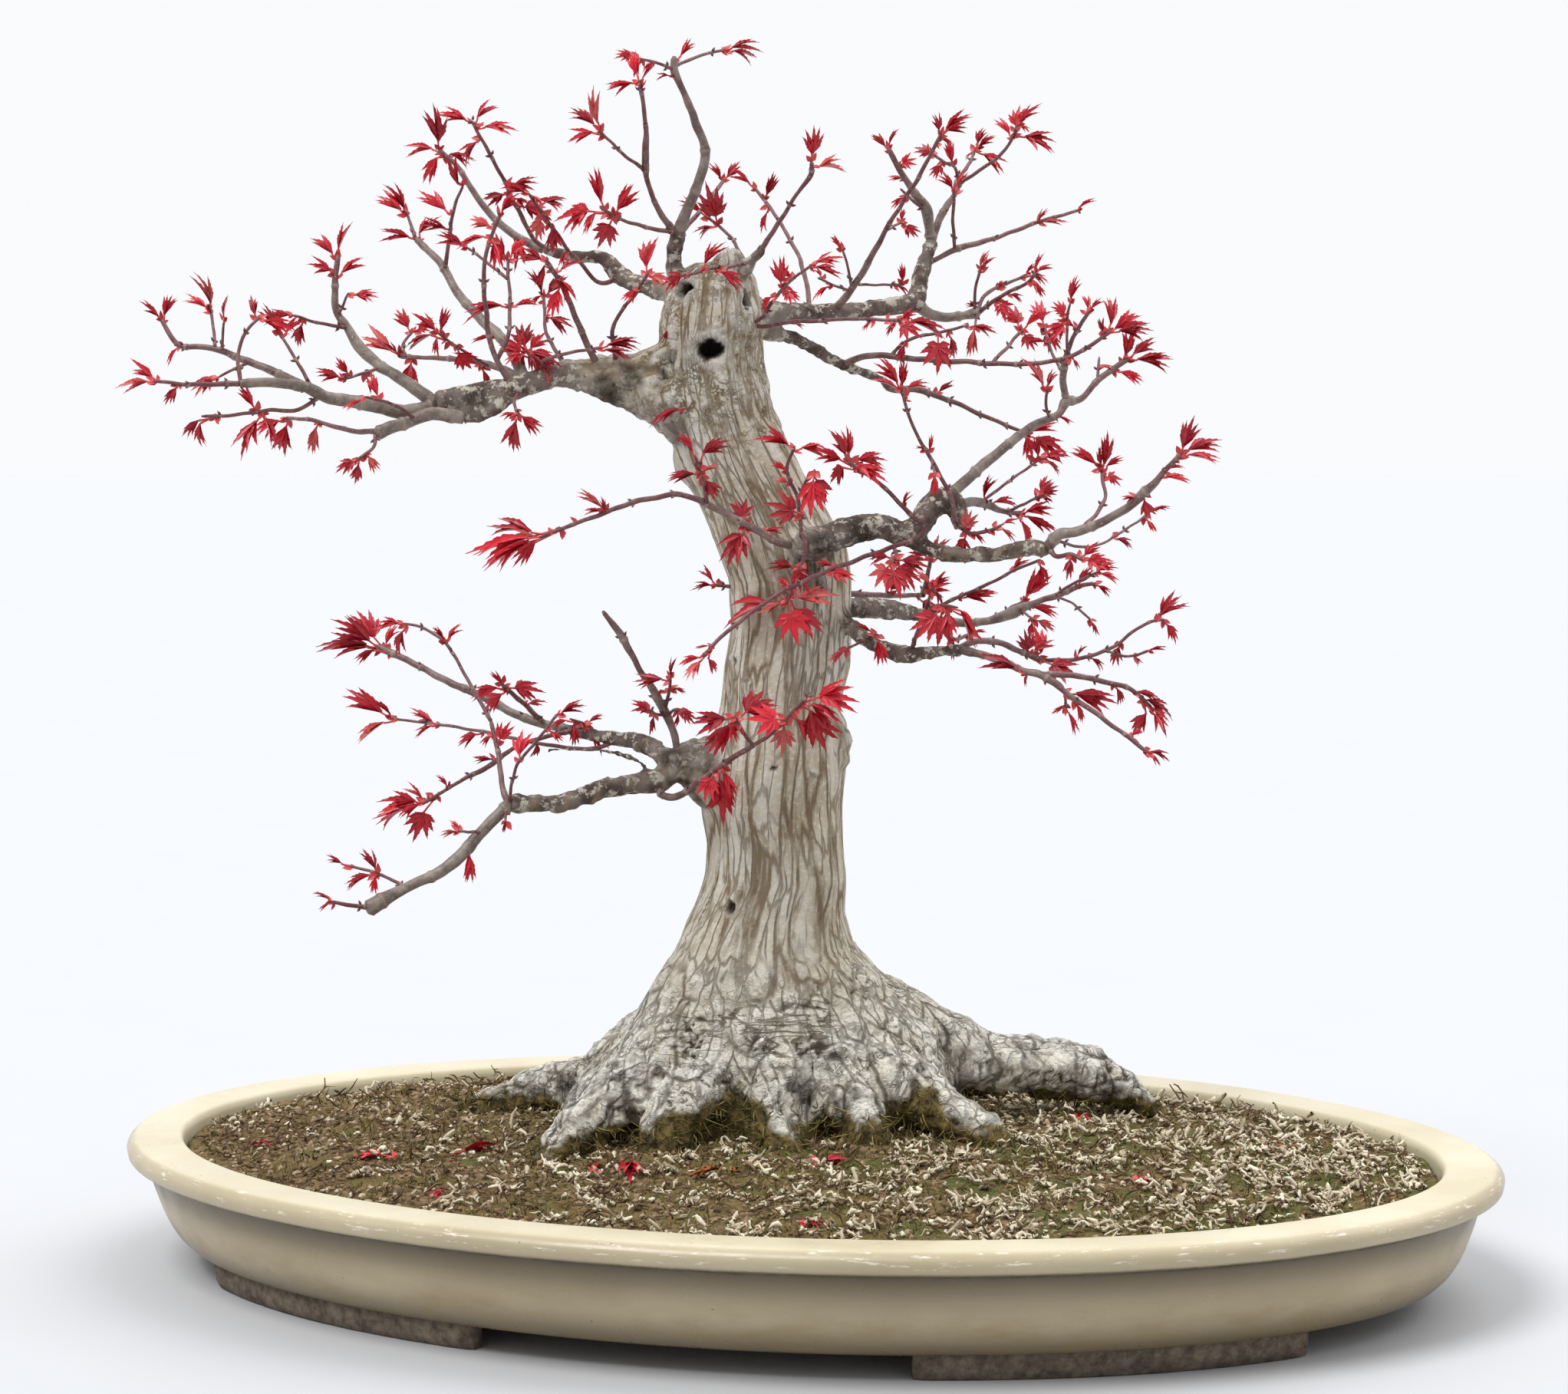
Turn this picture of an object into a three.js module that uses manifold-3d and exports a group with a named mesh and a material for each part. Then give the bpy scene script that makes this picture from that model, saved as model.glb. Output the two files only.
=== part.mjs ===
// Deshojo japanese maple bonsai in its oval pot. Millimetres, +Z up, the long axis of the pot
// along X, the origin on the surface under the middle of the pot.
import * as THREE from "three";
import { mergeVertices } from "three/addons/utils/BufferGeometryUtils.js";
import Module from "manifold-3d";

const wasm = await Module();
wasm.setup();

// Sizes of the pot
const POT_LENGTH = 600;
const POT_DEPTH = 389;
const POT_HEIGHT = 57;
const POT_SEGMENTS = 36;
const DRAIN_RADIUS = 12;
const DRAIN_OFFSET = 105;
const DRAIN_SIDES = 10;
const FLOOR_TOP = 15;
const FLOOR_UNDERSIDE = 8.5;
// Inset from the widest outline, then height, from the floor underneath round the outside,
// over the lip and down to the floor inside
const POT_PROFILE = [
  [34, FLOOR_UNDERSIDE], [26, 11], [20.5, 16], [16, 24], [12.5, 34], [9, 45.5],
  [1, 48.5], [0, 53.5], [4, POT_HEIGHT], [24, POT_HEIGHT - 0.4], [25.5, 54], [27, 30],
  [31, 19], [38, FLOOR_TOP],
];
// Feet: start and end angle of each in degrees round the oval
const FEET = [[31, 70.5], [109.5, 149], [211, 250.5], [289.5, 329]];
const FOOT_OUTER_INSET = 27;
const FOOT_INNER_INSET = 38;
const FOOT_TAPER = 2;
const FOOT_TOP = 12;
const FOOT_STEPS = 4;

// Soil, mounded from the rim to the trunk
const CLEARANCE = 0.3;
const SOIL_EDGE_INSET = 27;
const SOIL_EDGE_TOP = 51;
const SOIL_MOUND = 13;
const SOIL_RINGS = 3;
const SOIL_SEGMENTS = POT_SEGMENTS;

// Mesh screens over the drain holes
const SCREEN_SIZE = 38;
const SCREEN_THICKNESS = 1.2;
const SCREEN_CELLS = 2;
const SCREEN_BAR = 4;

// Turn of the tree on the pot, and the eye that its branches were sighted from
const TREE_TURN = 16 * Math.PI / 180;
const EYE_ACROSS = -3;
const EYE_DISTANCE = 1592;
const EYE_HEIGHT = 399;

// Gap kept between the solids of neighbouring nodes
const GAP = 0.35;
const LEAF_THICKNESS = 1.3;
const PETIOLE_RADIUS = 0.55;
const DRAW_SEED = 41;

const COLOURS = {
  pot: 0xd8cdb4, soil: 0x5f5038, screen: 0x23262a, bark: 0xb4a892, leaf: 0xb3202c,
};

// Trunk: centre across, height, centre depth, half width, half depth
const TRUNK_RINGS = [
  [-6, 44, 26, 80, 58],
  [-6, 64, 26, 82, 59],
  [-6, 82, 25, 77, 55],
  [-8, 99, 24, 69, 50],
  [-10, 115, 23, 58, 44],
  [-11, 130, 22, 48, 38],
  [-12, 143, 21, 38, 34],
  [-10, 156, 20, 33, 31],
  [-6, 171, 19, 30.5, 30],
  [-6, 186, 18, 29, 29],
  [-7, 201, 18, 30, 29],
  [-6, 215, 17, 30.5, 30],
  [-5, 230, 17, 29, 29],
  [-5, 245, 16, 25.5, 27],
  [-3, 261, 16, 27, 27],
  [-1, 279, 15, 25.5, 26],
  [-1, 298, 15, 26, 26],
  [-5, 313, 14, 28, 26],
  [-12, 330, 14, 26.5, 25],
  [-22, 350, 13, 25, 23],
  [-29, 370, 12, 23, 22],
  [-32, 390, 12, 22, 21],
  [-31, 410, 12, 22, 20],
  [-30, 424, 12, 19, 17],
  [-27, 431, 12, 11, 11],
];
const TRUNK_SIDES = 12;
// Hollows where old branches were cut: across, height, radius, depth of the cut
const HOLLOWS = [[-34, 395, 5, 9], [-45, 420.5, 3, 6], [-17, 416, 3, 7]];
const HOLLOW_SIDES = 6;

// Roots: radius, across, depth, height at each step, from the trunk into the soil
const ROOTS = [
  [[24, 10, 22, 112], [20, 44, 28, 100], [16, 66, 31, 91], [13, 86, 34, 84], [12.5, 106, 36, 81],
    [12, 125, 39, 77], [10.5, 140, 42, 71], [7, 153, 45, 61], [4, 170, 50, 47]],
  [[21, 8, 12, 102], [18, 34, 0, 89], [13.5, 50, -8, 80], [11, 62, -14, 72], [10, 74, -19, 65],
    [8.5, 84, -24, 58], [5, 93, -29, 46]],
  [[20, 10, 6, 98], [16, 22, -14, 80], [11, 29, -26, 66], [6, 34, -34, 48]],
  [[22, -9, 8, 98], [18, -11, -12, 81], [13, -10, -25, 69], [10.5, -6, -34, 60], [6, -4, -41, 47]],
  [[20, -20, 10, 100], [17, -42, -12, 82], [13, -54, -26, 68], [8, -60, -36, 50]],
  [[21, -30, 8, 106], [18, -58, -4, 89], [14, -78, -15, 76], [12, -91, -24, 66], [10, -101, -31, 57],
    [6, -109, -37, 45]],
  [[20, -32, 20, 106], [18, -60, 16, 92], [14, -80, 11, 79], [9, -94, 7, 66], [5, -105, 4, 48]],
  [[21, -32, 30, 108], [17, -66, 42, 88], [12.5, -92, 50, 74], [11, -112, 57, 67], [9.5, -131, 64, 61],
    [7, -150, 72, 53], [4, -166, 78, 43]],
  [[20, -6, 40, 104], [17, -14, 66, 86], [12, -20, 92, 70], [8, -24, 110, 59], [5, -27, 124, 46]],
  [[19, 10, 38, 104], [16, 44, 60, 86], [12, 66, 78, 72], [9, 84, 92, 62], [5, 100, 103, 46]],
];
const ROOT_SIDES = 6;

// Limbs of the trunk node. Each: name, parent, radius at the start, radius at the end, how far
// its end stands back from its start, then its points as seen from the front, across and height.
// The first point is set on the parent. A third number at a point is its own radius, and a
// fourth one moves that point back, or nearer to the eye where it is negative.
const LIMBS = [
  ["left", "trunk", 7, 5, -26, [[-36, 385], [-55, 387], [-75, 387], [-100, 384], [-117, 379]]],
  ["leftCollar", "left", 4, 9, 10, [[-95, 383], [-77, 378], [-62, 368], [-48, 350]]],
  ["callus", "left", 4.6, 6, -4, [[-116, 380], [-131, 377], [-140, 374.5], [-148, 372, 7]]],
  ["leftLow", "left", 4, 3.2, -10, [[-114, 379], [-124, 371], [-137, 367.5]]],
  ["crownLeft", "trunk", 5, 2.4, 36, [[-38, 412], [-52, 419.5], [-64, 423], [-71, 427, 4.4],
    [-76, 433], [-89, 434], [-102, 437.5]]],
  ["leader", "trunk", 4.6, 3, -10, [[-44, 416], [-47.5, 428], [-47, 436], [-45, 445, 3.6]]],
  ["crownFront", "trunk", 4.4, 2.6, -16, [[-26, 398], [-23.8, 406], [-23, 413], [-21, 420],
    [-16.5, 430], [-9, 437.5, 2.4]]],
  ["rightTop", "trunk", 5, 3.4, 34, [[-22, 409], [-10, 410.5], [16, 409.5], [38, 411.5],
    [56, 413.5, 4.6]]],
  ["rightTopFork", "rightTop", 3.8, 2.6, 12, [[55, 412], [56, 424, 4], [58, 430, 3.4],
    [61, 439.5, 3.2]]],
  ["rightMid", "trunk", 3.8, 2, 40, [[-22, 406], [-10, 402], [2, 399.3], [22, 388.5, 2.8],
    [40, 381.5]]],
  ["heart", "trunk", 7.5, 5, -12, [[-4, 310], [9, 312.5, 7, -22], [21, 316.5, 6.4, -20],
    [31, 319, 6, -17], [40, 319.5, 5.6, -14], [47, 316, 5, -12], [54, 319, 5.2, -12],
    [60, 328, 5.6, -12], [66, 331, 5.8, -12], [71, 327, 4.6, -12], [70.5, 319, 2.6, -12]]],
  ["heartLow", "heart", 3.6, 3, -22, [[47, 315], [58, 310.5], [68, 307.6], [80, 307.5],
    [91, 307.8], [97, 309.5, 3.4], [109, 310.2, 3.6]]],
  ["rightBack", "trunk", 5.6, 3, 62, [[2, 284], [25, 285.3], [42, 284.5, 4.8], [51, 283],
    [62, 280]]],
  ["rightLow", "trunk", 4.2, 2.4, -40, [[8, 286], [25, 278.5], [30, 273.5], [37, 269],
    [48, 265.3, 4], [63, 266.6], [72, 267, 3]]],
  ["collar", "trunk", 11, 8, -14, [[-22, 226], [-36, 222], [-46, 220], [-54, 219]]],
  ["lowerLeft", "collar", 4.8, 3.4, -26, [[-50, 216], [-56, 212.5, 4.6], [-70, 211.2],
    [-83, 208.6], [-95, 204], [-106, 203.3], [-120, 203.5, 4.4]]],
  ["upperLeft", "collar", 4.4, 2.6, 40, [[-51, 221], [-57, 225, 4], [-65, 229.4],
    [-78, 231.2], [-95, 235]]],
  ["under", "lowerLeft", 1.6, 1, 18, [[-58, 212.2], [-63.2, 219.7], [-71.8, 223.8],
    [-90, 226.5], [-104, 226]]],
];
const LIMB_SIDES = 6;

// Sprays: a node each. Every stem is written as the limbs are, and after its points come its
// leaves: where the blade starts, across and height, where it ends, and how open it is, from 0
// for lobes folded like a brush to 1 for an open fan.
const SPRAYS = {
  left_tip: [
    ["c", "callus", 3.6, 2.2, -36, [[-150, 372], [-161, 370], [-179, 374], [-192, 376],
      [-204, 381], [-221, 383], [-231, 382.5]], []],
    ["c2", "c", 1.6, 0.9, -8, [[-231, 382.5], [-250, 382.5], [-267, 384]], [[-266, 384, -282, 382, 0.3]]],
    ["e", "c", 1.2, 0.8, 12, [[-230, 382.5], [-231, 392.5], [-226, 406], [-221, 410.5]],
      [[-222, 410, -207, 405, 0.4]]],
    ["f", "c", 1.2, 0.8, 16, [[-200, 378], [-205, 389.5], [-213.7, 403.5]], [[-213, 403, -220, 415, 0.5]]],
    ["i", "c", 1.2, 0.9, -20, [[-196, 377.5], [-205, 372], [-220, 371], [-240, 369],
      [-247, 369]], [[-221, 370.5, -233, 354, 0.5]]],
  ],
  left_rise: [
    ["d", "c", 2.4, 1.3, 26, [[-199, 380], [-214, 386.6], [-230, 393], [-240.5, 397.5],
      [-256.5, 399.6], [-263, 410]], [[-262.5, 409, -258, 421, 0.3]]],
    ["d1", "d", 1, 0.8, 10, [[-240, 397.5], [-241, 405], [-242, 414]], [[-242, 413, -243, 428, 0.3]]],
    ["d2", "d", 0.9, 0.7, -10, [[-238, 397], [-236.5, 409]], [[-236.5, 408, -236, 420, 0.3]]],
  ],
  left_b: [
    ["b", "callus", 3.2, 1.5, 22, [[-148, 374], [-157, 380], [-172, 390], [-178, 395, 2.8],
      [-185, 406], [-189, 412], [-189.5, 424], [-188, 436]], [[-188, 435, -186, 450, 0.3]]],
    ["b2", "b", 0.9, 0.7, -12, [[-188, 411], [-184, 420]], [[-184, 419.5, -171, 418, 0.5]]],
    ["g", "b", 1.1, 0.8, -18, [[-185, 405], [-193.5, 407], [-208, 411]], [[-206, 410.5, -220, 412, 0.4]]],
    ["m", "b", 1, 0.8, -14, [[-171, 389], [-178, 386.5], [-187, 384]], [[-186, 384, -199, 388, 0.5]]],
  ],
  left_low: [
    ["a", "leftLow", 3.2, 2.8, -12, [[-137, 367.5], [-150, 369], [-165, 364], [-174, 361, 3.4]], []],
    ["j", "a", 1.6, 1, 42, [[-172, 361.5], [-186, 362.5], [-200, 367], [-212, 368]],
      [[-210, 368, -216, 352, 0.4]]],
    ["k", "a", 1.1, 0.8, -14, [[-174, 361], [-174.5, 356], [-182, 350]], [[-181, 350.5, -184, 334, 0.4]]],
  ],
  left_mid: [
    ["n", "left", 2.2, 1.3, 58, [[-108, 382], [-120, 387.5], [-141, 392], [-158, 393],
      [-163, 393.5, 1.8]], [[-163, 393, -179, 405, 0.4]]],
    ["n2", "n", 1, 0.8, 12, [[-160, 393], [-162, 397], [-157, 404]], [[-158, 403, -164, 413, 0.5]]],
    ["n3", "n", 0.9, 0.8, -20, [[-125, 388.5], [-132, 392.5], [-147, 403]], [[-146, 402, -156, 412, 0.4]]],
  ],
  left_hang: [
    ["h", "left", 1.1, 0.8, -20, [[-113, 380], [-115, 374], [-114, 368]], [[-114, 369, -117, 352, 0.4]]],
  ],
  left_near: [
    ["s", "left", 1.2, 0.8, -34, [[-96, 384], [-103, 390], [-94, 393.5], [-79, 396]],
      [[-79, 396, -62, 400, 0.3]]],
    ["t", "s", 1.1, 0.8, 12, [[-101, 388.5], [-106, 391], [-110, 395]], [[-109, 394, -98, 384, 0.5]]],
  ],
  crown_left_end: [
    ["p1", "crownLeft", 2.4, 1.3, 20, [[-102, 437.5], [-109, 440.5], [-120.5, 448.5],
      [-131, 462], [-136.5, 471], [-145, 479.5]], [[-145, 479, -146, 497, 0.4]]],
  ],
  crown_left_front: [
    ["p2", "crownLeft", 1.5, 1, -34, [[-98, 436.5], [-103, 439], [-112.5, 454.5], [-122, 474],
      [-131, 491]], [[-129, 488, -113, 489, 0.4]]],
  ],
  crown_far_left: [
    ["p3", "left", 3, 1.8, 62, [[-110, 381.5], [-118, 398], [-126.5, 406.5], [-137.5, 418.5],
      [-145, 431.5], [-155.5, 442.5]], [[-155, 442, -170, 446, 0.4]]],
    ["p3a", "p3", 1.2, 0.8, 8, [[-155, 442.5], [-159, 453.5]], [[-158.5, 452, -172, 462, 0.4]]],
    ["p3b", "p3", 1.4, 0.8, -30, [[-143.5, 430], [-141.5, 440], [-140, 452], [-135, 464.5]],
      [[-140, 452, -153, 462, 0.4]]],
  ],
  crown_stub: [
    ["p4", "left", 1.8, 1, -16, [[-116, 379.5], [-124, 396], [-126.5, 412], [-126, 436],
      [-120, 452]], [[-120.5, 451, -113, 462, 0.4]]],
    ["p5", "p4", 1.3, 0.9, 24, [[-122, 392], [-117.5, 401], [-116.5, 412], [-117, 434]],
      [[-117, 433, -124, 444, 0.4]]],
    ["p6", "p5", 1, 0.8, 16, [[-117, 424], [-125.5, 432], [-134, 438.5]], [[-133, 438, -146, 444, 0.5]]],
  ],
  crown_inner: [
    ["p7", "left", 2, 1.2, -34, [[-80, 387], [-87, 404], [-94, 421.5], [-101, 433]],
      [[-100, 432, -113, 437, 0.5]]],
  ],
  crown_inner_back: [
    ["p8", "left", 1.3, 0.9, 44, [[-92, 385], [-101.5, 405], [-102, 419]], [[-102, 417, -108, 430, 0.3]]],
  ],
  crown_near: [
    ["p9", "left", 1.4, 0.9, -46, [[-72, 387], [-73, 405], [-63, 419.5], [-58, 427]],
      [[-59, 426, -58, 443, 0.4]]],
  ],
  crown_cross: [
    ["p10", "crownLeft", 1.4, 0.9, -30, [[-70, 425], [-76.5, 423], [-88, 433], [-98.5, 447],
      [-108, 461]], [[-107, 460, -119, 466, 0.4]]],
  ],
  crown_sweep: [
    ["q4", "leader", 1.4, 0.8, -38, [[-46, 444], [-54.5, 445.2], [-69.3, 449.6], [-78, 454.5]],
      [[-78, 454.5, -97, 449, 0.6]]],
  ],
  crown_top: [
    ["q1", "leader", 2.8, 1.8, -14, [[-45, 444], [-42, 452, 2.6], [-36.2, 465.2], [-33.6, 477],
      [-38.4, 492], [-44.7, 507], [-46, 510.5, 2.2], [-46, 516.8]], [[-44.5, 515, -37, 526, 0.2]]],
    ["q1a", "q1", 1, 0.8, 24, [[-45.5, 512.5], [-38.9, 515.7], [-25, 519.3]],
      [[-25, 519.3, -8, 522.5, 0.3]]],
    ["q1b", "q1", 1, 0.8, -16, [[-46, 511], [-52.8, 514], [-61, 516]], [[-61, 516, -71, 519, 0.6]]],
  ],
  crown_second: [
    ["q2", "leader", 1.9, 1.1, -44, [[-46.5, 443], [-51, 449], [-58.4, 468.2], [-58.7, 473.2, 2],
      [-58.6, 488], [-59.8, 501.5], [-61, 507]], [[-61, 506.5, -75, 503, 0.3]]],
    ["q3", "q2", 1.1, 0.8, -24, [[-58.5, 469.5], [-68, 476.7], [-77.8, 486.7]],
      [[-77.5, 486.5, -81.5, 503, 0.3]]],
  ],
  crown_third: [
    ["q5", "leader", 1.5, 1.1, 46, [[-45, 442], [-36.2, 452.4], [-25.6, 465.7]],
      [[-26, 465, -19, 473, 0.4]]],
  ],
  crown_right_high: [
    ["q6a", "crownFront", 1.5, 1, -30, [[-11, 435.5], [-4.3, 446], [6.3, 461.6], [10.8, 468, 1.5],
      [10.8, 473]], [[11, 469.5, 29, 474, 0.3]]],
  ],
  crown_right_low: [
    ["q6b", "crownFront", 1.2, 0.8, 34, [[-17, 429], [-22.2, 440], [-28.2, 446.2],
      [-34, 451]], [[-28.5, 446.5, -33, 463.5, 0.6]]],
  ],
  crown_front_low: [
    ["q6c", "crownFront", 1.2, 0.8, -26, [[-15, 431.5], [-27, 428.9], [-34, 427.9],
      [-42, 426]], [[-36, 428, -27.4, 440.5, 0.4]]],
  ],
  crown_back: [
    ["q7", "rightTop", 1.5, 1, 66, [[9.7, 410], [8, 424], [1.3, 440.4], [-9.2, 457.4],
      [-14.1, 463]], [[-13.5, 462.5, -23, 470, 0.4]]],
  ],
  crown_leafy: [
    ["q8", "crownFront", 1.3, 0.8, -34, [[-23.5, 404], [-14, 405.8], [-2, 420], [10.8, 430]],
      [[9.5, 429.5, 27, 435, 0.4]]],
  ],
  right_top_fork: [
    ["r1", "rightTopFork", 2.6, 1.5, -8, [[61, 439], [60, 445], [59, 451, 2.8], [53, 460.6],
      [44.8, 474], [43, 478]], [[43.2, 477, 34, 487, 0.3]]],
  ],
  right_top_brown: [
    ["r2", "rightTopFork", 2.2, 1.8, 18, [[60.5, 437], [62.8, 444.5], [66.2, 452], [72, 461.5],
      [72.5, 465, 2.6]], []],
    ["r2a", "r2", 1.2, 0.9, -34, [[72.5, 463], [80.7, 468], [94.7, 480.9], [97, 487]],
      [[96, 483, 118, 477, 0.5]]],
    ["r2b", "r2", 1.2, 0.9, 32, [[72.5, 465], [76.5, 471], [80, 478]], [[79.5, 476.5, 97, 467, 0.4]]],
    ["r2c", "r2", 1.1, 0.8, -26, [[72, 464], [70.3, 470], [66.8, 471.5], [62, 475]],
      [[70, 470, 67, 484, 0.3]]],
  ],
  right_top_out: [
    ["r3", "rightTopFork", 1.6, 1, 46, [[58, 429.5], [65.6, 433], [70.5, 435.4, 1.8],
      [87.8, 440], [103.8, 445.8], [122.6, 451.4]], [[105, 446.3, 121, 447, 0.3]]],
    ["r3a", "r3", 1.1, 0.9, -16, [[70.5, 435.4], [70, 446.8], [70.5, 460.6]],
      [[70.5, 459.5, 77, 471, 0.3]]],
  ],
  right_top_rise: [
    ["r4", "rightTop", 2.1, 1, -50, [[18, 410], [23.5, 414.7], [28.5, 421.5], [37.5, 436.8],
      [41.7, 444, 1.4], [57, 468], [65.3, 484]], [[65, 483.5, 80, 496.5, 0.3]]],
    ["r4a", "r4", 0.9, 0.7, -10, [[27.5, 420], [25.6, 428.8], [23.5, 435.9]],
      [[23.7, 435, 17.5, 444, 0.3]]],
    ["r4c", "r4", 0.8, 0.7, 18, [[29, 421], [40.3, 421], [49.3, 421]], [[48.5, 421, 48.5, 432, 0.3]]],
  ],
  right_top_tip: [
    ["r5", "rightTop", 2.8, 2.2, 16, [[55, 411], [60, 408.5], [67, 407.3], [75.5, 408],
      [80.5, 409, 3]], [[80, 411, 74, 414, 0.3]]],
    ["r5a", "r5", 1.3, 0.9, 26, [[79.5, 409], [82, 415], [94.9, 422], [101, 425]],
      [[101, 425, 112, 421, 0.4]]],
    ["r5b", "r5", 1.4, 1, -28, [[80.5, 408.5], [84.5, 412.3], [94.9, 418.5], [101.2, 421.3],
      [104.7, 426]], [[88, 414.5, 96, 404, 0.8]]],
    ["r5c", "r5", 1, 0.8, -8, [[79, 408.5], [78.9, 417], [81.3, 427.5]], [[81, 426, 88, 436, 0.3]]],
  ],
  right_front: [
    ["r6", "crownFront", 1.3, 0.9, -42, [[-23, 407], [-16, 404.5], [2.3, 405.9], [36.8, 406.7],
      [48, 406]], [[47.5, 406, 74, 403, 0.3]]],
  ],
  right_mid_out: [
    ["s1", "rightMid", 2, 1, 26, [[40, 381], [42, 378.6], [54, 377, 1.9], [61.8, 374.8],
      [82, 366], [101, 357.8]], [[100, 358, 118, 350, 0.5]]],
  ],
  right_mid_rise: [
    ["s2", "rightMid", 1.9, 1.1, -56, [[23, 388], [31, 391], [54, 389.9], [82.7, 388],
      [103, 387.5], [119.7, 390.7], [136.2, 400.8]], [[135.5, 400.5, 154, 401, 0.4]]],
    ["s2a", "s2", 1.1, 0.8, -16, [[42, 390.5], [49.6, 397.3], [66.2, 401.4], [76.3, 404]],
      [[63, 400.8, 64, 384, 0.9]]],
    ["s2b", "s2", 1.1, 0.9, 28, [[85.5, 388], [96.6, 399.4], [99, 402]], [[98.5, 401.5, 109, 411, 0.4]]],
  ],
  right_arm: [
    ["t0", "heart", 2.8, 1.6, 56, [[66, 331], [72, 336.4], [86.7, 348.8], [104.2, 362],
      [114.3, 366.6], [117, 371.2, 2.6], [121.7, 372], [131.7, 381.2], [143.6, 389.4]],
      [[143, 389, 163, 387, 0.3]]],
    ["t1", "t0", 1.7, 1.1, -12, [[117, 372], [115.7, 381.3, 2], [119.8, 397.8],
      [127.2, 409.7]], [[122, 401.5, 113, 408, 0.4]]],
    ["t2", "t1", 0.9, 0.7, -20, [[117, 389], [118, 409], [119, 413]], [[118.8, 412, 122, 427, 0.3]]],
    ["t3", "t1", 1, 0.8, 22, [[115.8, 383], [108.8, 398.8], [108, 404]], [[108.2, 402.5, 104, 415, 0.5]]],
    ["t4", "t0", 1, 0.8, -16, [[110, 364.5], [108.5, 370.3], [109, 376.7]],
      [[108.8, 375.5, 101, 390, 0.4]]],
  ],
  right_slim: [
    ["u", "heart", 1.5, 0.8, -18, [[70.5, 319], [69.5, 325, null, -9], [68.4, 331.2, null, -10],
      [63, 343.2, null, -9], [53, 360.6, null, -8], [47.6, 378, null, -8]],
      [[47.8, 377, 39, 391, 0.4]]],
    ["v4", "u", 1.3, 0.9, -20, [[70.3, 320.5], [76, 316.5], [84.3, 317.6], [90, 320]],
      [[74, 316.9, 77.4, 327, 0.7]]],
  ],
  heart_out: [
    ["v2", "heartLow", 2.8, 1.3, -30, [[109, 310.5], [113.9, 315.5], [121.2, 316.8],
      [137.8, 323.6], [151.8, 334.4, 2.2], [158.2, 341.7], [165.6, 349]],
      [[165, 348.5, 182, 357, 0.4],
      [165, 348.5, 181.5, 347.5, 0.3]]],
    ["v2c", "v2", 1.3, 1, 34, [[122, 317], [127.7, 322], [133.2, 331], [132.3, 338.6],
      [132, 344]], [[132, 343, 119, 353, 0.3]]],
    ["v2d", "v2", 0.9, 0.7, 40, [[112, 313], [125.9, 310], [139.7, 316], [154.5, 326.3]],
      [[136, 314, 146, 311, 0.4]]],
    ["v2f", "v2", 1.5, 1.1, -14, [[110, 310.5], [112, 306.6], [119.3, 307], [124, 304.5]],
      [[123, 305, 136.5, 303, 0.6]]],
  ],
  heart_long: [
    ["v9", "rightBack", 1.2, 0.9, -40, [[58, 281], [64.9, 286.5], [79.7, 292.9], [93.5, 300],
      [106, 305]], [[71, 289, 88, 291, 0.4]]],
  ],
  heart_top: [
    ["v3", "heart", 2.2, 1.4, 46, [[69, 329], [80.6, 329.5, 2.4], [89.8, 325.7], [98.2, 324.6]],
      [[96.5, 324.8, 102.5, 308, 0.4]]],
    ["v3a", "v3", 1, 0.8, 22, [[80.6, 329.5], [93.5, 338.6], [106.5, 347.8]],
      [[106, 347.5, 118, 350.5, 0.5]]],
    ["v3c", "v3", 1, 0.8, -26, [[92, 325.3], [99, 328.5], [106.4, 332]],
      [[105.5, 331.7, 109, 341.5, 0.4]]],
  ],
  heart_cross: [
    ["v5", "heart", 1.5, 1.1, -36, [[62, 326], [54.9, 315.5], [42.9, 310.8], [15.8, 301],
      [-1.5, 293.5], [-18.8, 282], [-32.5, 270.4], [-37, 265]], [[-36.5, 265.5, -44.5, 256, 0.5]]],
    ["v7", "v5", 1.2, 0.9, -16, [[44, 311], [45, 308], [43, 304]], [[43.5, 306, 54, 293, 0.7]]],
  ],
  heart_rise: [
    ["v6", "heart", 1.5, 1, -26, [[61, 328], [56, 322], [47.5, 328.4], [41.2, 335.2], [32, 342.3],
      [24.6, 347.4]], [[25.5, 347, 41.5, 339, 0.4], [25.5, 347, 42, 350, 0.4]]],
  ],
  trunk_fork: [
    ["k1", "heart", 1.2, 0.9, -10, [[5, 312], [5, 318, null, -14], [3.5, 332.4, null, -15],
      [-0.8, 343.7, null, -15], [2.7, 354, null, -14]], [[2.5, 353, -13, 361, 0.3]]],
    ["k2", "k1", 0.9, 0.8, -12, [[3.6, 331], [7, 339], [11, 344]], [[10.5, 343.5, 9, 324, 0.6]]],
    ["k4", "k1", 1.3, 0.9, -4, [[5, 318], [7, 311], [1.7, 296.6], [-1.9, 287]],
      [[-1.7, 288, -30, 285, 0.4],
      [-1, 289, 19, 292, 0.5]]],
  ],
  trunk_across: [
    ["k5", "heart", 2.2, 1, -40, [[3, 311], [-4.8, 313.8, null, -16], [-15.2, 319.4, null, -15],
      [-30.3, 327.7, null, -6], [-46.6, 334, 1.5], [-61, 332], [-84, 324.5], [-105.5, 316.5]],
      [[-104.5, 317, -130, 326, 0.3],
      [-104.5, 317, -139, 312, 0.3], [-104.5, 317, -133, 304, 0.3]]],
    ["k6", "k5", 1.1, 0.8, -10, [[-34, 329.5], [-37, 342.7], [-39.5, 350.5]],
      [[-39, 349.5, -25.5, 358, 0.4]]],
  ],
  trunk_bud: [
    ["k7", "trunk", 1.1, 0.8, -6, [[-20, 294], [-27, 295], [-32, 295.5]], [[-31.5, 295.5, -38, 304, 0.3]]],
  ],
  back_out: [
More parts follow.
